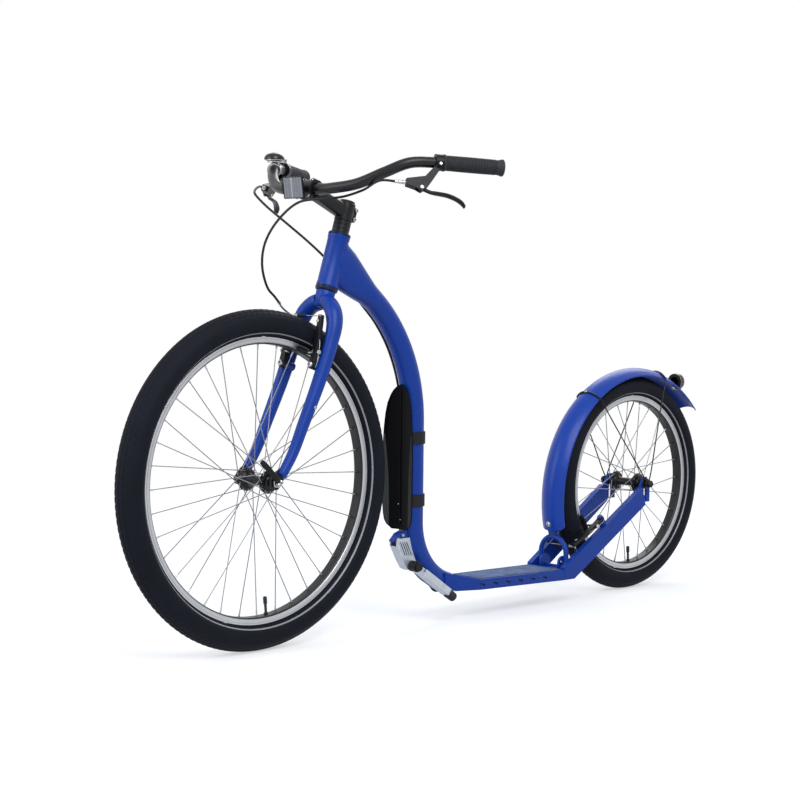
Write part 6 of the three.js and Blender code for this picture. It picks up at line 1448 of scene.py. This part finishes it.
def addStem():
    height = column["stemTop"] - column["stemBottom"]
    foot = onSteering(column["stemBottom"], 0)
    parts = [sleeveData(14.9, 18.5, 0, height, 1.1, 1.1, foot, steeringUp, 72)]
    start = onSteering(stemSize["middle"], 9.25)
    along = (barMiddle - start).normalized()
    up = acrossY.cross(along) * -1
    if up.z < 0:
        up = up * -1
    rings = []
    for k in range(25):
        way = k / 24
        half = lerp(stemSize["armHalf"], 20.0, way ** 3)
        high = stemSize["armHeight"] * lerp(1, stemSize["taper"], way)
        rings.append(ringAt(start.lerp(barMiddle, way * 0.9), acrossY, up, half, 64, stemSize["power"],
                            high / half))
    parts.append(loftRings(rings))
    addPiece("stem_body", addUp(*parts), "stemBlack", "steering", ["stem"], smooth=40)
    outline = arcShell(stemSize["inner"], stemSize["outer"], 90, 270, 36)
    parts = [plateData(outline, -stemSize["half"], stemSize["half"], lambda a, q, b: aroundBar(a, b, q))]
    for y in (-1, 1):
        parts.append(boxData((-23.5, y * 6 - 4.5, 565), (-9.2, y * 6 + 4.5, 595),
                             lambda p: onSteering(p.z, p.x, p.y)))
    addPiece("stem_clamps", addUp(*parts), "stemBlack", "steering", edge=1.1, segments=3)
    outline = arcShell(stemSize["inner"], stemSize["outer"], -83, 83, 36, 0.6)
    plate = plateData(outline, -stemSize["half"], stemSize["half"], lambda a, q, b: aroundBar(a, b, q))
    lugs, bolts = [], []
    lug = [(0, 0), (4.9, 0), (4.9, 8.4), (4.2, 9.2), (0, 9.2)]
    for way in (-1, 1):
        for side in (-1, 1):
            rise, across = way * stemSize["boltRise"], side * stemSize["boltSide"]
            lugs.append(latheData(lug, aroundBar(1.6, rise, across), steeringForward, 24))
            bolts.append(boltData(aroundBar(10.4, rise, across), steeringForward, 3.4, 2.6, 0.5, 24))
    addPiece("bar_faceplate", addUp(plate, *lugs), "stemBlack", "steering", ["stem_faceplate"], edge=0.9)
    for share in (0.25, 0.75):
        height = lerp(column["stemBottom"], column["stemTop"], share)
        at = onSteering(height, -18.6, 10.0)
        bolts.append(latheData([(0, 0), (4.0, 0), (4.0, 4.6), (3.6, 5.0), (1.9, 5.0), (1.8, 2.6), (0, 2.6)],
                               at, acrossY, 26))
        bolts.append(rodData(onSteering(height, -18.6, -10.4), onSteering(height, -18.6, -12.6), 3.4, 20,
                             chamfer=0.4))
    addPiece("stem_bolts", addUp(*bolts), "brightSteel", "steering")


bar = dict(setback=247.0, half=300.0, rise=53.0, radius=11.1, clamp=12.7, taper=20.0,
           rows=[(0, 0.03, 0), (0, 0.075, 0), (0, 0.12, 0), (0.012, 0.22, 0.03), (0.077, 0.4, 0.175),
                 (0.19, 0.56, 0.585), (0.332, 0.683, 0.95), (0.534, 0.777, 0.98)])


def barPlace(row, side=1):
    back, wide, rise = row
    return barMiddle + v(-back * bar["setback"], side * wide * bar["half"], rise * bar["rise"])


clampPlace = barPlace(bar["rows"][-1])
gripAlong = (barPlace((1, 1, 0.83)) - clampPlace).normalized()
gripSpan = (barPlace((1, 1, 0.83)) - clampPlace).length


def addBar():
    rows = [barPlace(r, -1) for r in bar["rows"][::-1]] + [barPlace(r) for r in bar["rows"]]
    path = smoothPath(rows, 6)
    tip = clampPlace + gripAlong * (gripSpan - 4.3)
    path = [mirror(tip), mirror(tip.lerp(clampPlace, 0.5))] + path + [tip.lerp(clampPlace, 0.5), tip]
    rings = []
    for p, d, side, up in alongPath(path):
        taper = (abs(p.y) - 22 - 5) / bar["taper"]
        rings.append(ringAt(p, side, up, lerp(bar["clamp"], bar["radius"], clamp(taper)), 32))
    addPiece("bar_tube", loftRings(rings), "barBlack", "steering", ["handlebar"], smooth=60)


def addGrips():
    for side, name in ((1, "left"), (-1, "right")):
        start = clampPlace + gripAlong * 8.3
        length = gripSpan - 8.7
        profile = [(11.4, 0), (16.4, 0), (17, 0.6), (17, 3.4), (16.6, 4.2), (15.6, 5.4)]
        rows = int((length - 20) / 3.1)
        for k in range(rows):
            s = 7.0 + k * 3.1
            bulge = 0.35 * math.sin(math.pi * k / rows)
            profile += [(14.4 + bulge, s), (15.3 + bulge, s + 0.45), (15.3 + bulge, s + 1.75),
                        (14.4 + bulge, s + 2.2)]
        profile += [(15.4, length - 9), (16.2, length - 6.4), (17, length - 4.6), (17, length - 1.6),
                    (16.2, length - 0.5), (15, length), (5, length), (4.4, length - 0.8), (0, length - 0.8)]
        data = sided(latheData(profile, start, gripAlong, 48), side)
        addPiece(name + "_ribbed_grip", data, "gripRubber", "steering", [name + "_grip"], smooth=30)


leverTilt = math.radians(20.4)
leverDown = (v(0, 0, -1) + gripAlong * gripAlong.z).normalized()
leverDown = Matrix.Rotation(-leverTilt, 3, gripAlong) @ leverDown
leverAxis = gripAlong.cross(leverDown)
lever = dict(drop=58.0, inset=37.0, reach=87.0, opening=27.0, width=7.0, thick=3.4, lean=0.3, hub=6.5,
             hubHalf=4.0,
             blade=[(0.02, 0.04, 0.6), (0.2, 0.26, 0.6), (0.34, 0.32, 0.95), (0.6, 0.42, 1),
                    (0.8, 0.64, 0.95), (0.92, 0.88, 1), (1, 1.18, 0.75)])


def roundTip(last, forward, rows):
    # rings that close a blade's end: (how far on, how much of the last ring)
    middle = sum(last, v(0, 0, 0)) / len(last)
    return [[middle + (p - middle) * shrink + forward * k for p in last] for k, shrink in rows]


def onLever(x, y, z, side=1):
    p = clampPlace + leverDown * x + leverAxis * y + gripAlong * z
    return p if side > 0 else mirror(p)


def addLevers():
    for side, name in ((1, "left"), (-1, "right")):
        dress(name + "_lever_perch", "leverBlack", 0.9)
        # smooth clamp band and its bolt
        parts = [sleeveData(11.6, 16.6, 0, 15.8, 1.0, 0.9, onLever(0, 0, -7.9), gripAlong, 56)]
        parts.append(rodData(onLever(9, -16.5, 0), onLever(9, -7, 0), 4.6, 24, chamfer=0.5))
        addPiece(name + "_lever_band", sided(addUp(*parts), side), "leverBlack", "steering")
        steel = [boltData(onLever(9, -16.5, 0), leverAxis * -1, 3.4, 1.6, 0.5, 24)]
        for way in (1, -1):
            pivot = onLever(lever["drop"], way * 8.0, -lever["inset"])
            steel.append(boltData(pivot, leverAxis * way, 4.2, 1.4, 0.5, 24))
        addPiece(name + "_lever_bolts", sided(addUp(*steel), side), "brightSteel", "steering")
        # blade: a smooth forged shape that swells for two fingers
        posts = [v(r, o, w) for r, o, w in lever["blade"]]
        path = smoothPath(posts, 0.018)
        rings = []
        for i, q in enumerate(path):
            middle = onLever(lever["drop"] + q.y * lever["opening"], 0,
                             -lever["inset"] + q.x * lever["reach"])
            out = (leverDown - gripAlong * lever["lean"]) * lever["thick"]
            rings.append(ringAt(middle, leverAxis, out, lever["width"] * q.z, 28, 0.8,
                                1 / (lever["width"] * q.z)))
        pivot = onLever(lever["drop"], 0, -lever["inset"])
        forward = (leverDown * lever["opening"] + gripAlong * lever["reach"]).normalized()
        rings += roundTip(rings[-1], forward, ((0.8, 0.86), (1.4, 0.6), (1.7, 0.25)))
        hub = sleeveData(2.6, lever["hub"], -lever["hubHalf"], lever["hubHalf"], 0.5, 0.5, pivot, leverAxis,
                         36)
        parts = [loftRings(rings), hub]
        addPiece(name + "_lever_blade", sided(addUp(*parts), side), "leverBlack", name + "_lever",
                 [name + "_brake_lever"], smooth=45)
        # knurled adjuster and its lock ring
        start = onLever(48, 0, -67.9)
        profile = [(0, 0.3), (2.8, 0.3), (2.8, 3.4), (4.2, 3.5), (4.6, 3.9), (4.6, 5.6), (4.2, 6.0),
                   (2.9, 6.1), (2.9, 7.0), (3.8, 7.1)]
        for k in range(5):
            s = 7.3 + k * 1.5
            profile += [(4.0, s), (4.0, s + 0.8), (3.7, s + 1.0), (3.7, s + 1.3)]
        profile += [(3.4, 15.2), (2.9, 16), (0, 16)]
        addPiece(name + "_adjuster", sided(latheData(profile, start, gripAlong * -1, 28), side),
                 "brightAlloy", "steering", [name + "_barrel_adjuster"], smooth=30)


addFork()
addColumn()
addStem()
addBar()
addGrips()
addLevers()
print("fork, stem, bar, grips and levers ready")


# Bell and front reflector

bell = dict(place=barPlace(bar["rows"][-2], -1), radius=22.0, height=14.0, wall=1.2, rise=21.2, clamp=15.0,
            half=6.0)


def addBell():
    at = lambda z, x=0.0, y=0.0: bell["place"] + v(x, y, z)
    up = v(0, 0, 1)
    outer = [(1, 0), (1.0, 0.06), (0.985, 0.2), (0.965, 0.33), (0.93, 0.46), (0.88, 0.58), (0.81, 0.7),
             (0.72, 0.8), (0.62, 0.88), (0.5, 0.945), (0.38, 0.985), (0.24, 1.0), (0.11, 1.0)]
    radius, height, wall = bell["radius"], bell["height"], bell["wall"]
    profile = [(r * radius, z * height) for r, z in outer] + [(2.4, height - wall)]
    profile += [(r * (radius - wall), z * (height - wall)) for r, z in outer[-2::-1]]
    profile.append(profile[0])
    addPiece("bell_cup", latheData(profile, at(bell["rise"]), up, 80), "bellBronze", "steering",
             ["bell_dome"], smooth=40)
    along = (barPlace(bar["rows"][-1], -1) - barPlace(bar["rows"][-3], -1)).normalized()
    band = sleeveData(11.6, bell["clamp"], -bell["half"], bell["half"], 0.6, 0.6, at(0), along, 48)
    disc = latheData([(0, 0), (14.6, 0), (15, 0.4), (15, 2.0), (14.6, 2.4), (0, 2.4)], at(15), up, 56)
    post = latheData([(0, 0), (5.2, 0), (4, 1.6), (4, 18.8), (0, 18.8)], at(15), up, 28)
    ring = latheData([(17.2, 0), (19.0, 0), (19.4, 0.5), (19.4, 1.9), (18.8, 2.4), (17.2, 2.4), (17.2, 0)],
                     at(19.2), up, 64)
    spokes = [boxData((-a, -b, 19.6), (a, b, 21.0), lambda p: at(p.z, p.x, p.y))
              for a, b in ((19, 1.6), (1.6, 19))]
    addPiece("bell_mount", addUp(band, disc, post, ring, *spokes), "brightSteel", "steering", ["bell_base"])
    end = latheData([(0, 0), (2.2, 0), (2.2, 0.8), (1.4, 1.2), (0, 1.2)], at(bell["rise"] + 15.0), up, 20)
    nut = addUp(hexData(at(bell["rise"] + 13.4), up, 4.0, 1.9, 0.4), end)
    addPiece("bell_nut", nut, "brightSteel", "steering", edge=0.2)
    dress("bell_striker", "brightSteel", 0.5)


reflector = dict(lean=math.radians(8), left=-35.0, right=23.0, low=-14.0, high=30.0, back=34.2, front=38.6,
                 wall=1.5, ribs=7, ribRise=2.2, bar=-8.0)


def addFrontReflector():
    turn = Matrix.Rotation(reflector["lean"], 3, "Y")
    place = lambda x, y, z: barMiddle + turn @ v(x, y, z)
    dress("front_reflector_bracket", "blackPlastic", 0.7)
    # thin frame round the lens
    left, right, low, high = reflector["left"], reflector["right"], reflector["low"], reflector["high"]
    back, front, wall = reflector["back"], reflector["front"], reflector["wall"]
    boxAt = lambda a, b: boxData(a, b, lambda p: place(p.x, p.y, p.z))
    rim = [boxAt((back, left, z), (front, right, z + wall)) for z in (low, high - wall)]
    rim += [boxAt((back, y, low + wall), (front, y + wall, high - wall)) for y in (left, right - wall)]
    rim.append(boxAt((back, left + 1, low + 1), (back + 1.2, right - 1, high - 1)))
    addPiece("front_reflector_frame", addUp(*rim), "blackPlastic", "steering", edge=0.5)
    # upright ribs across the lens
    rows, steps = [], reflector["ribs"] * 8
    start, end = left + wall + 0.2, right - wall - 0.2
    for k in range(steps + 1):
        rise = reflector["ribRise"] * abs(math.sin(math.pi * k / 8)) ** 0.7
        rows.append((front - 1.0 + rise, lerp(start, end, k / steps)))
    outline = rows + [(back + 1.3, end), (back + 1.3, start)]
    verts, faces, n = [], [], len(outline)
    lowEnd, highEnd = low + wall + 0.2, high - wall - 0.2
    for z, shrink in ((lowEnd, 0.8), (lowEnd + 0.8, 0.0), (highEnd - 0.8, 0.0), (highEnd, 0.8)):
        verts += [place(x - (shrink if x > back + 2 else 0), y, z) for x, y in outline]
    for r in range(3):
        for i in range(n):
            j = (i + 1) % n
            faces.append((r * n + i, r * n + j, (r + 1) * n + j, (r + 1) * n + i))
    faces += [tuple(range(n)), tuple(range(4 * n - 1, 3 * n - 1, -1))]
    addPiece("front_ribbed_lens", (verts, faces), "clearLens", "steering", ["front_reflector_lens"],
             smooth=30)
    # bright bar between its two halves
    y, x = reflector["bar"], front + 0.9
    divider = boxAt((x - 1, y - 1.3, lowEnd + 0.2), (x + 0.7, y + 1.3, highEnd - 0.2))
    addPiece("front_lens_bar", divider, "brightAlloy", "steering", edge=0.4)
    screw = boltData(place(0, -40, -15.4), turn @ v(0, 0, -1), 3.6, 3.0, 0.5, 24)
    addPiece("reflector_screw", screw, "brightSteel", "steering")


# Front axle and its quick release

quick = dict(angle=math.radians(48), pivot=67.3, length=60.0, half=6.3, thick=2.7, lobe=5.2, slot=2.7,
             rows=[(0.04, 0, 1), (0.2, 0.03, 1), (0.45, 0, 0.9), (0.8, -0.06, 1), (1, -0.12, 0.8)])


def addQuickRelease():
    out = v(math.cos(quick["angle"]), 0, math.sin(quick["angle"]))
    camAxis = v(-math.sin(quick["angle"]), 0, math.cos(quick["angle"]))
    right = v(0, -1, 0)
    rod = rodData(frontAxle - v(0, 62, 0), frontAxle + v(0, 57, 0), 4.4, 28)
    profile = [(0, 0), (8.4, 0), (9, 0.7), (9, 2.6), (8.6, 3.0), (8.3, 6.4), (7.4, 9.6), (6.0, 10.9), (0, 11)]
    nut = latheData(profile, frontAxle - v(0, 56.6, 0), right, 40)
    housing = latheData([(0, 0), (8.4, 0), (9, 0.7), (9, 4.4), (8.2, 5.4), (0, 5.5)],
                        frontAxle + v(0, 56.6, 0), acrossY, 44)
    pivot = frontAxle + v(0, quick["pivot"], 0)
    tab = boxData((-4.5, 56.6, -2.25), (4.5, quick["pivot"] + 2.4, 2.25),
                  lambda p: frontAxle + out * p.x + v(0, p.y, 0) + camAxis * p.z)
    addPiece("front_skewer", addUp(rod, housing, tab), "brightSteel", "steering", ["front_axle"])
    pin = rodData(pivot - camAxis * 6.7, pivot + camAxis * 6.7, 1.7, 16)
    addPiece("cam_pin", pin, "brightSteel", "steering")
    addPiece("skewer_nut", nut, "blackAlloy", "steering")
    posts = [pivot + out * (w * quick["length"]) + v(0, o * quick["length"], 0) for w, o, s in quick["rows"]]
    wide = [(w, s) for w, o, s in quick["rows"]]
    rings = []
    path = smoothPath(posts, 1.5)
    for i, p in enumerate(path):
        w = (p - pivot).dot(out) / quick["length"]
        half = quick["half"] * interp(wide, w)
        thick = quick["thick"] * lerp(1.0, 0.8, w)
        rings.append(ringAt(p, camAxis, acrossY, half, 32, 0.75, thick / half))
    rings += roundTip(rings[-1], out, ((1.0, 0.85), (1.8, 0.55), (2.1, 0.2)))
    blade = loftRings(rings)
    lobes = []
    for way in (-1, 1):
        a, b = sorted((way * quick["slot"], way * quick["half"]))
        lobes.append(sleeveData(1.9, quick["lobe"], a, b, 0.5, 0.5, pivot, camAxis, 36))
    addPiece("quick_lever", blade, "leverBlack", "quick_release", ["quick_release_lever"], smooth=45)
    addPiece("quick_cam", addUp(*lobes), "brightSteel", "quick_release")


addBell()
addFrontReflector()
addQuickRelease()
print("bell, reflector and quick release ready")


# Brakes: arms, pads, springs and noodles

# the arm's outline as shares of its width and length
brake = dict(width=12.0, length=104.0, half=4.2, hub=8.5, rise=27.0, padLength=54.0, padFace=16.5,
             padDepth=9.0, padHalf=4.6, holderHalf=4.0, slots=(0.2, 0.4, 0.6, 0.8), slotDepth=1.7,
             outline=[(0.6, -0.02), (0.64, 0.1), (0.62, 0.2), (0.52, 0.4), (0.34, 0.58), (0.06, 0.8),
                      (-0.25, 1), (-1.05, 1), (-0.9, 0.8), (-0.74, 0.58), (-0.58, 0.36), (-0.5, 0.2),
                      (-0.56, 0.08), (-0.6, -0.02)])
rearPivot = dict(along=171.0, up=19.0, side=49.0)


def armFrame(which, side):
    # a place on a brake arm: x away from the wheel, y along the pivot, z along the arm
    if which == "front":
        pivot = onSteering(fork["pivot"], fork["armPlane"], side * fork["pivotSide"])
        axis, along = steeringForward, steeringUp
    else:
        pivot = onStay(rearPivot["along"], rearPivot["up"], side * rearPivot["side"])
        axis, along = stayUp, stayAlong
    return lambda x, y, z: pivot + v(0, side * x, 0) + axis * y + along * z


def addBrake(which, sideName):
    side = 1 if sideName == "left" else -1
    place = armFrame(which, side)
    spread = fork["pivotSide"] if which == "front" else rearPivot["side"]
    body = "%s_%s_arm" % (sideName, which)
    name = "%s_%s_brake" % (sideName, which)
    outward, onward = v(0, side, 0), place(0, 1, 0) - place(0, 0, 0)
    outline = [(x * brake["width"], z * brake["length"]) for x, z in brake["outline"]]
    arm = plateData(outline, -brake["half"], brake["half"], place)
    hub = rodData(place(0, -4.5, 0), place(0, 4.5, 0), brake["hub"], 40, chamfer=0.7)
    addPiece(name + "_plate", addUp(arm, hub), "armBlack", body, ["%s_%s_brake_arm" % (sideName, which)],
             edge=1.1)
    steel = [rodData(place(0, -4.9, 0), place(0, 4.8, 0), 5.6, 30, chamfer=0.4)]
    rise, padFace = brake["rise"], brake["padFace"] - spread
    padBack = padFace + brake["padDepth"]
    steel.append(rodData(place(padBack - 1, 0, rise), place(12, 0, rise), 3.0, 20))
    steel.append(hexData(place(8.8, 0, rise), outward, 5.2, 3.8, 0.5))
    steel.append(rodData(place(-3.4, 0, rise), place(-10, 0, rise), 5.4, 24, 4.2, 0.3))
    steel.append(hexData(place(-7.44, brake["half"], 90), onward, 4.0, 3.0, 0.4))
    # spring wire along the outside of the arm
    spring = [place(*p) for p in ((7.5, -3.2, -4), (9.3, -3.2, 6), (8.6, -2.4, 22), (7.6, -1.2, 40),
                                  (5.4, 0, 52))]
    steel.append(tubeData(smoothPath(spring, 2.2), 0.8, 8))
    steel.append(ringData(place(0, -4.3, 0), onward, 7.2, 0.8, 32, 8))
    addPiece(name + "_hardware", addUp(*steel), "brightSteel", body, edge=0.15)
    # pad: a curved rubber block with water slots in a thin holder
    sections, count = [], 48
    for k in range(count + 1):
        t = k / count
        y = (t - 0.5) * brake["padLength"]
        depth = brake["slotDepth"] if any(abs(t - c) < 0.018 for c in brake["slots"]) else 0.0
        taper = 1.6 * clamp((abs(t - 0.5) - 0.42) / 0.08)
        face, back = padFace + 0.1 + depth + taper * 0.5, padBack - 2.6
        half = brake["padHalf"] - taper
        corners = ((face, -half), (face, half), (back, half), (back, -half))
        sections.append([place(x, y, rise + z) for x, z in corners])
    addPiece(name + "_pad", loftRings(sections), "padRubber", body, smooth=30, edge=0.4)
    sections = []
    for k in range(13):
        t = k / 12
        y = (t - 0.5) * (brake["padLength"] - 3)
        taper = 1.8 * clamp((abs(t - 0.5) - 0.38) / 0.12)
        half = brake["holderHalf"] - taper
        corners = ((padBack - 3.2, -half), (padBack - 3.2, half), (padBack, half - 1.4),
                   (padBack, 1.4 - half))
        sections.append([place(x, y, rise + z) for x, z in corners])
    addPiece(name + "_pad_holder", loftRings(sections), "armBlack", body, edge=0.5)


def beforeFrontTip(row):
    f, h, s = row
    return onSteering(348.34 + 26 * h, 36.1 + 26 * f, -fork["pivotSide"] * s)


def behindBoard(row):
    b, s, r = row
    return v(-374 - 2.5 * b, rearPivot["side"] * s, underside(-374) + board["height"] * r)


frontNoodle = [beforeFrontTip(r) for r in ((1.731, 0.538, 0.889), (1.192, 0.346, 1.022),
                                           (0.615, 0.154, 1.044), (0.154, 0.038, 0.956), (0, 0, 0.8),
                                           (0, 0, 0.556))]
rearNoodle = [behindBoard(r) for r in ((5.2, 0.6327, 0.6619), (7.2, 0.6939, 1.1619), (8, 0.7551, 1.8575),
                                       (6, 0.8163, 2.5097))]
rearNoodle += [onStay(270.84, 11.9, 49 * s) for s in (0.8163, 0.6735, 0.5102)]


def addNoodle(name, route, side, spread, body, node):
    tube = tubeData(smoothPath(route, 1.5), 2.3, 20)
    d = (route[0] - route[1]).normalized()
    collar = latheData([(0, 0), (3.1, 0), (3.4, 0.4), (3.4, 7.4), (3.0, 8), (0, 8)], route[0] - d * 6.6, d,
                       28)
    last = route[-1]
    end = latheData([(0, -1), (3.2, -1), (3.4, 0), (3.2, 2.2), (0, 2.2)], last, v(0, side, 0), 24)
    addPiece(name + "_tube", addUp(tube, collar, end), "brightSteel", body, [node], smooth=45)
    # bellows boot, then the bare wire to the other arm and its crimp
    profile = [(0, 0)]
    for k in range(9):
        s = k * 2.7
        r = lerp(4.5, 3.0, k / 8)
        profile += [(r * 0.78, s + 0.1), (r, s + 1.1), (r, s + 1.6), (r * 0.78, s + 2.6)]
    profile.append((1.2, 25.4))
    profile.append((0, 25.4))
    addPiece(name + "_boot", latheData(profile, last + v(0, -side * 1.2, 0), v(0, -side, 0), 28),
             "strapRubber", body, smooth=40)
    target = v(last.x, -side * spread, last.z)
    crimp = rodData(target + v(0, side * 0.2, 0), target + v(0, side * 5, 0), 1.2, 14, chamfer=0.2)
    wirePiece = addUp(rodData(last + v(0, -side * 24, 0), target, 0.85, 10), crimp)
    addPiece(name + "_wire", wirePiece, "brightSteel", body)


for which in ("front", "rear"):
    for sideName in ("left", "right"):
        addBrake(which, sideName)
addNoodle("front_noodle", frontNoodle, -1, fork["pivotSide"], "right_front_arm", "front_brake_noodle")
addNoodle("rear_noodle", rearNoodle, 1, rearPivot["side"], "left_rear_arm", "rear_brake_noodle")
print("brakes ready")


# Brake cables

cable = dict(radius=2.5, sides=18, angle=math.radians(55), reach=26.9, guides=(372.0, 316.0, 236.0))


def nearBar(row):
    h, f, s = row
    return onSteering(lerp(fork["length"], stemSize["barHeight"], h), f * stemSize["reach"], s * bar["half"])


headMiddle = onSteering((column["headBottom"] + column["headTop"]) / 2, 0)
tubeArcTop = tubeMiddle(0)[0]


def besideFlare(row):
    w, lift, s = row
    slope = (tubeArcTop - headMiddle).normalized()
    rise = v(-slope.z, 0, slope.x) * (lift * mainTube["flareHeight"])
    return headMiddle.lerp(tubeArcTop, w) + rise + v(0, -s * mainTube["radius"], 0)


def ferrule(place, direction):
    length, radius = 9.0, 3.3
    profile = [(0, 0), (radius - 0.4, 0), (radius, 0.4), (radius, length - 2.2), (radius - 0.5, length - 1.6),
               (radius - 0.5, length - 0.3), (radius - 0.8, length), (0, length)]
    return latheData(profile, place, direction, 24)


def addBentCable(name, path, node):
    # a housing from start to end, baked in place on no body
    piece = makePiece(name, tubeData(path, cable["radius"], cable["sides"]))
    piece.data.materials.append(finish["housing"])
    piece.data.shade_smooth()
    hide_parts(node)
    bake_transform(piece)


def addCables():
    route = [onLever(48, 0, -84.5), onLever(48, 0, -116.5)]
    route += [nearBar(r) for r in ((1.0487, 0.6339, 0.3733), (0.9485, 0.79, 0.26), (0.8723, 1.06, 0.16),
                                   (0.7736, 1.355, 0.0733), (0.53, 1.575, 0.0067), (0.2494, 1.675, -0.0267),
                                   (0.015, 1.56, -0.0533), (-0.1866, 1.225, -0.0867),
                                   (-0.2388, 0.9443, -0.1133))]
    route.append(beforeFrontTip((1.808, 0.5615, 0.8778)))
    path = smoothPath(route, 3)
    addBentCable("front_cable_housing", path, "front_brake_cable")
    addPiece("front_cable_ferrule", ferrule(onLever(48, 0, -83.2), gripAlong * -1), "brightAlloy", "steering")
    route = [onLever(48, 0, -84.5, -1), onLever(48, 0, -100.5, -1)]
    route += [nearBar(r) for r in ((1.0144, 1.0234, -0.56), (0.9349, 1.1396, -0.4933),
                                   (0.8232, 1.0197, -0.4067), (0.6695, 0.7179, -0.2733),
                                   (0.533, 0.3857, -0.1667))]
    lead = route + [besideFlare((-0.0965, -0.2494, 1.3702)), besideFlare((-0.0126, -0.1843, 1.2))]
    path = smoothPath(lead, 3)
    addBentCable("rear_cable_lead_housing", path, "rear_brake_cable_lead")
    addPiece("rear_lead_ferrule", ferrule(onLever(48, 0, -83.2, -1), mirror(gripAlong) * -1), "brightAlloy",
             "steering")
    # down the tube, under the board and up to the rear brake
    route = [besideFlare(r) for r in ((-0.0052, -0.1783, 1.1979), (0.1693, -0.0292, 1.166),
                                      (0.4206, 0.0824, 1.1489), (0.7252, 0.1581, 1.1234))]
    line = [tubeMiddle(k / 7) for k in range(8)] + [tubeMiddle(2 + k / 7) for k in range(8)]
    far, aside = cable["reach"] * math.cos(cable["angle"]), cable["reach"] * math.sin(cable["angle"])
    beside = [p + out * far - v(0, aside, 0) for p, out in line]
    route += beside[:-1]
    for a, y, d in ((0.841, -0.42, 1.5234), (0.5682, -0.4, 2.0888)):
        x = board["front"] + 88 * a
        route.append(v(x, 50 * y, underside(x) - cable["radius"] * d))
    for w, y, d in ((0.0074, -0.36, 1.7804), (0.5221, -0.16, 1.8118), (0.9632, 0.16, 2.0388)):
        x = board["front"] - 272 * w
        route.append(v(x, 50 * y, underside(x) - cable["radius"] * d))
    route += [behindBoard(r) for r in ((-4, 0.4286, -0.2294), (2.4, 0.5306, -0.0555), (5, 0.6224, 0.5966))]
    path = smoothPath(route, 3.5)
    addBentCable("rear_cable_housing", path, "rear_brake_cable")
    # small guides that hold it to the tube and the board
    guides = []
    dirOut = v(math.cos(cable["angle"]), -math.sin(cable["angle"]), 0)
    dirSide = v(math.sin(cable["angle"]), math.cos(cable["angle"]), 0)
    for z in cable["guides"]:
        middle = v(mainTube["x"], 0, z)
        place = middle + dirOut * cable["reach"]
        guides.append(sleeveData(2.55, 3.9, -4, 4, 0.3, 0.4, place, v(0, 0, 1), 24))
        guides.append(boxData((mainTube["radius"] - 0.6, -2.4, -3.4), (mainTube["radius"] + 1.0, 2.4, 3.4),
                              lambda p, m=middle: m + dirOut * p.x + dirSide * p.y + v(0, 0, p.z)))
    addPiece("cable_guides", addUp(*guides), "blackPlastic")


addCables()
print("cables ready")


# Solids that no piece replaces

slotOf = {s["node"]: s["material_slot"] for s in frame["record"]["subparts"]}
for name, obj in frame["nodes"].items():
    look = finish[slotLooks[slotOf[name]][0]]
    if not obj.material_slots:
        obj.data.materials.append(look)
    for place in obj.material_slots:
        place.material = look

print("pieces ready")
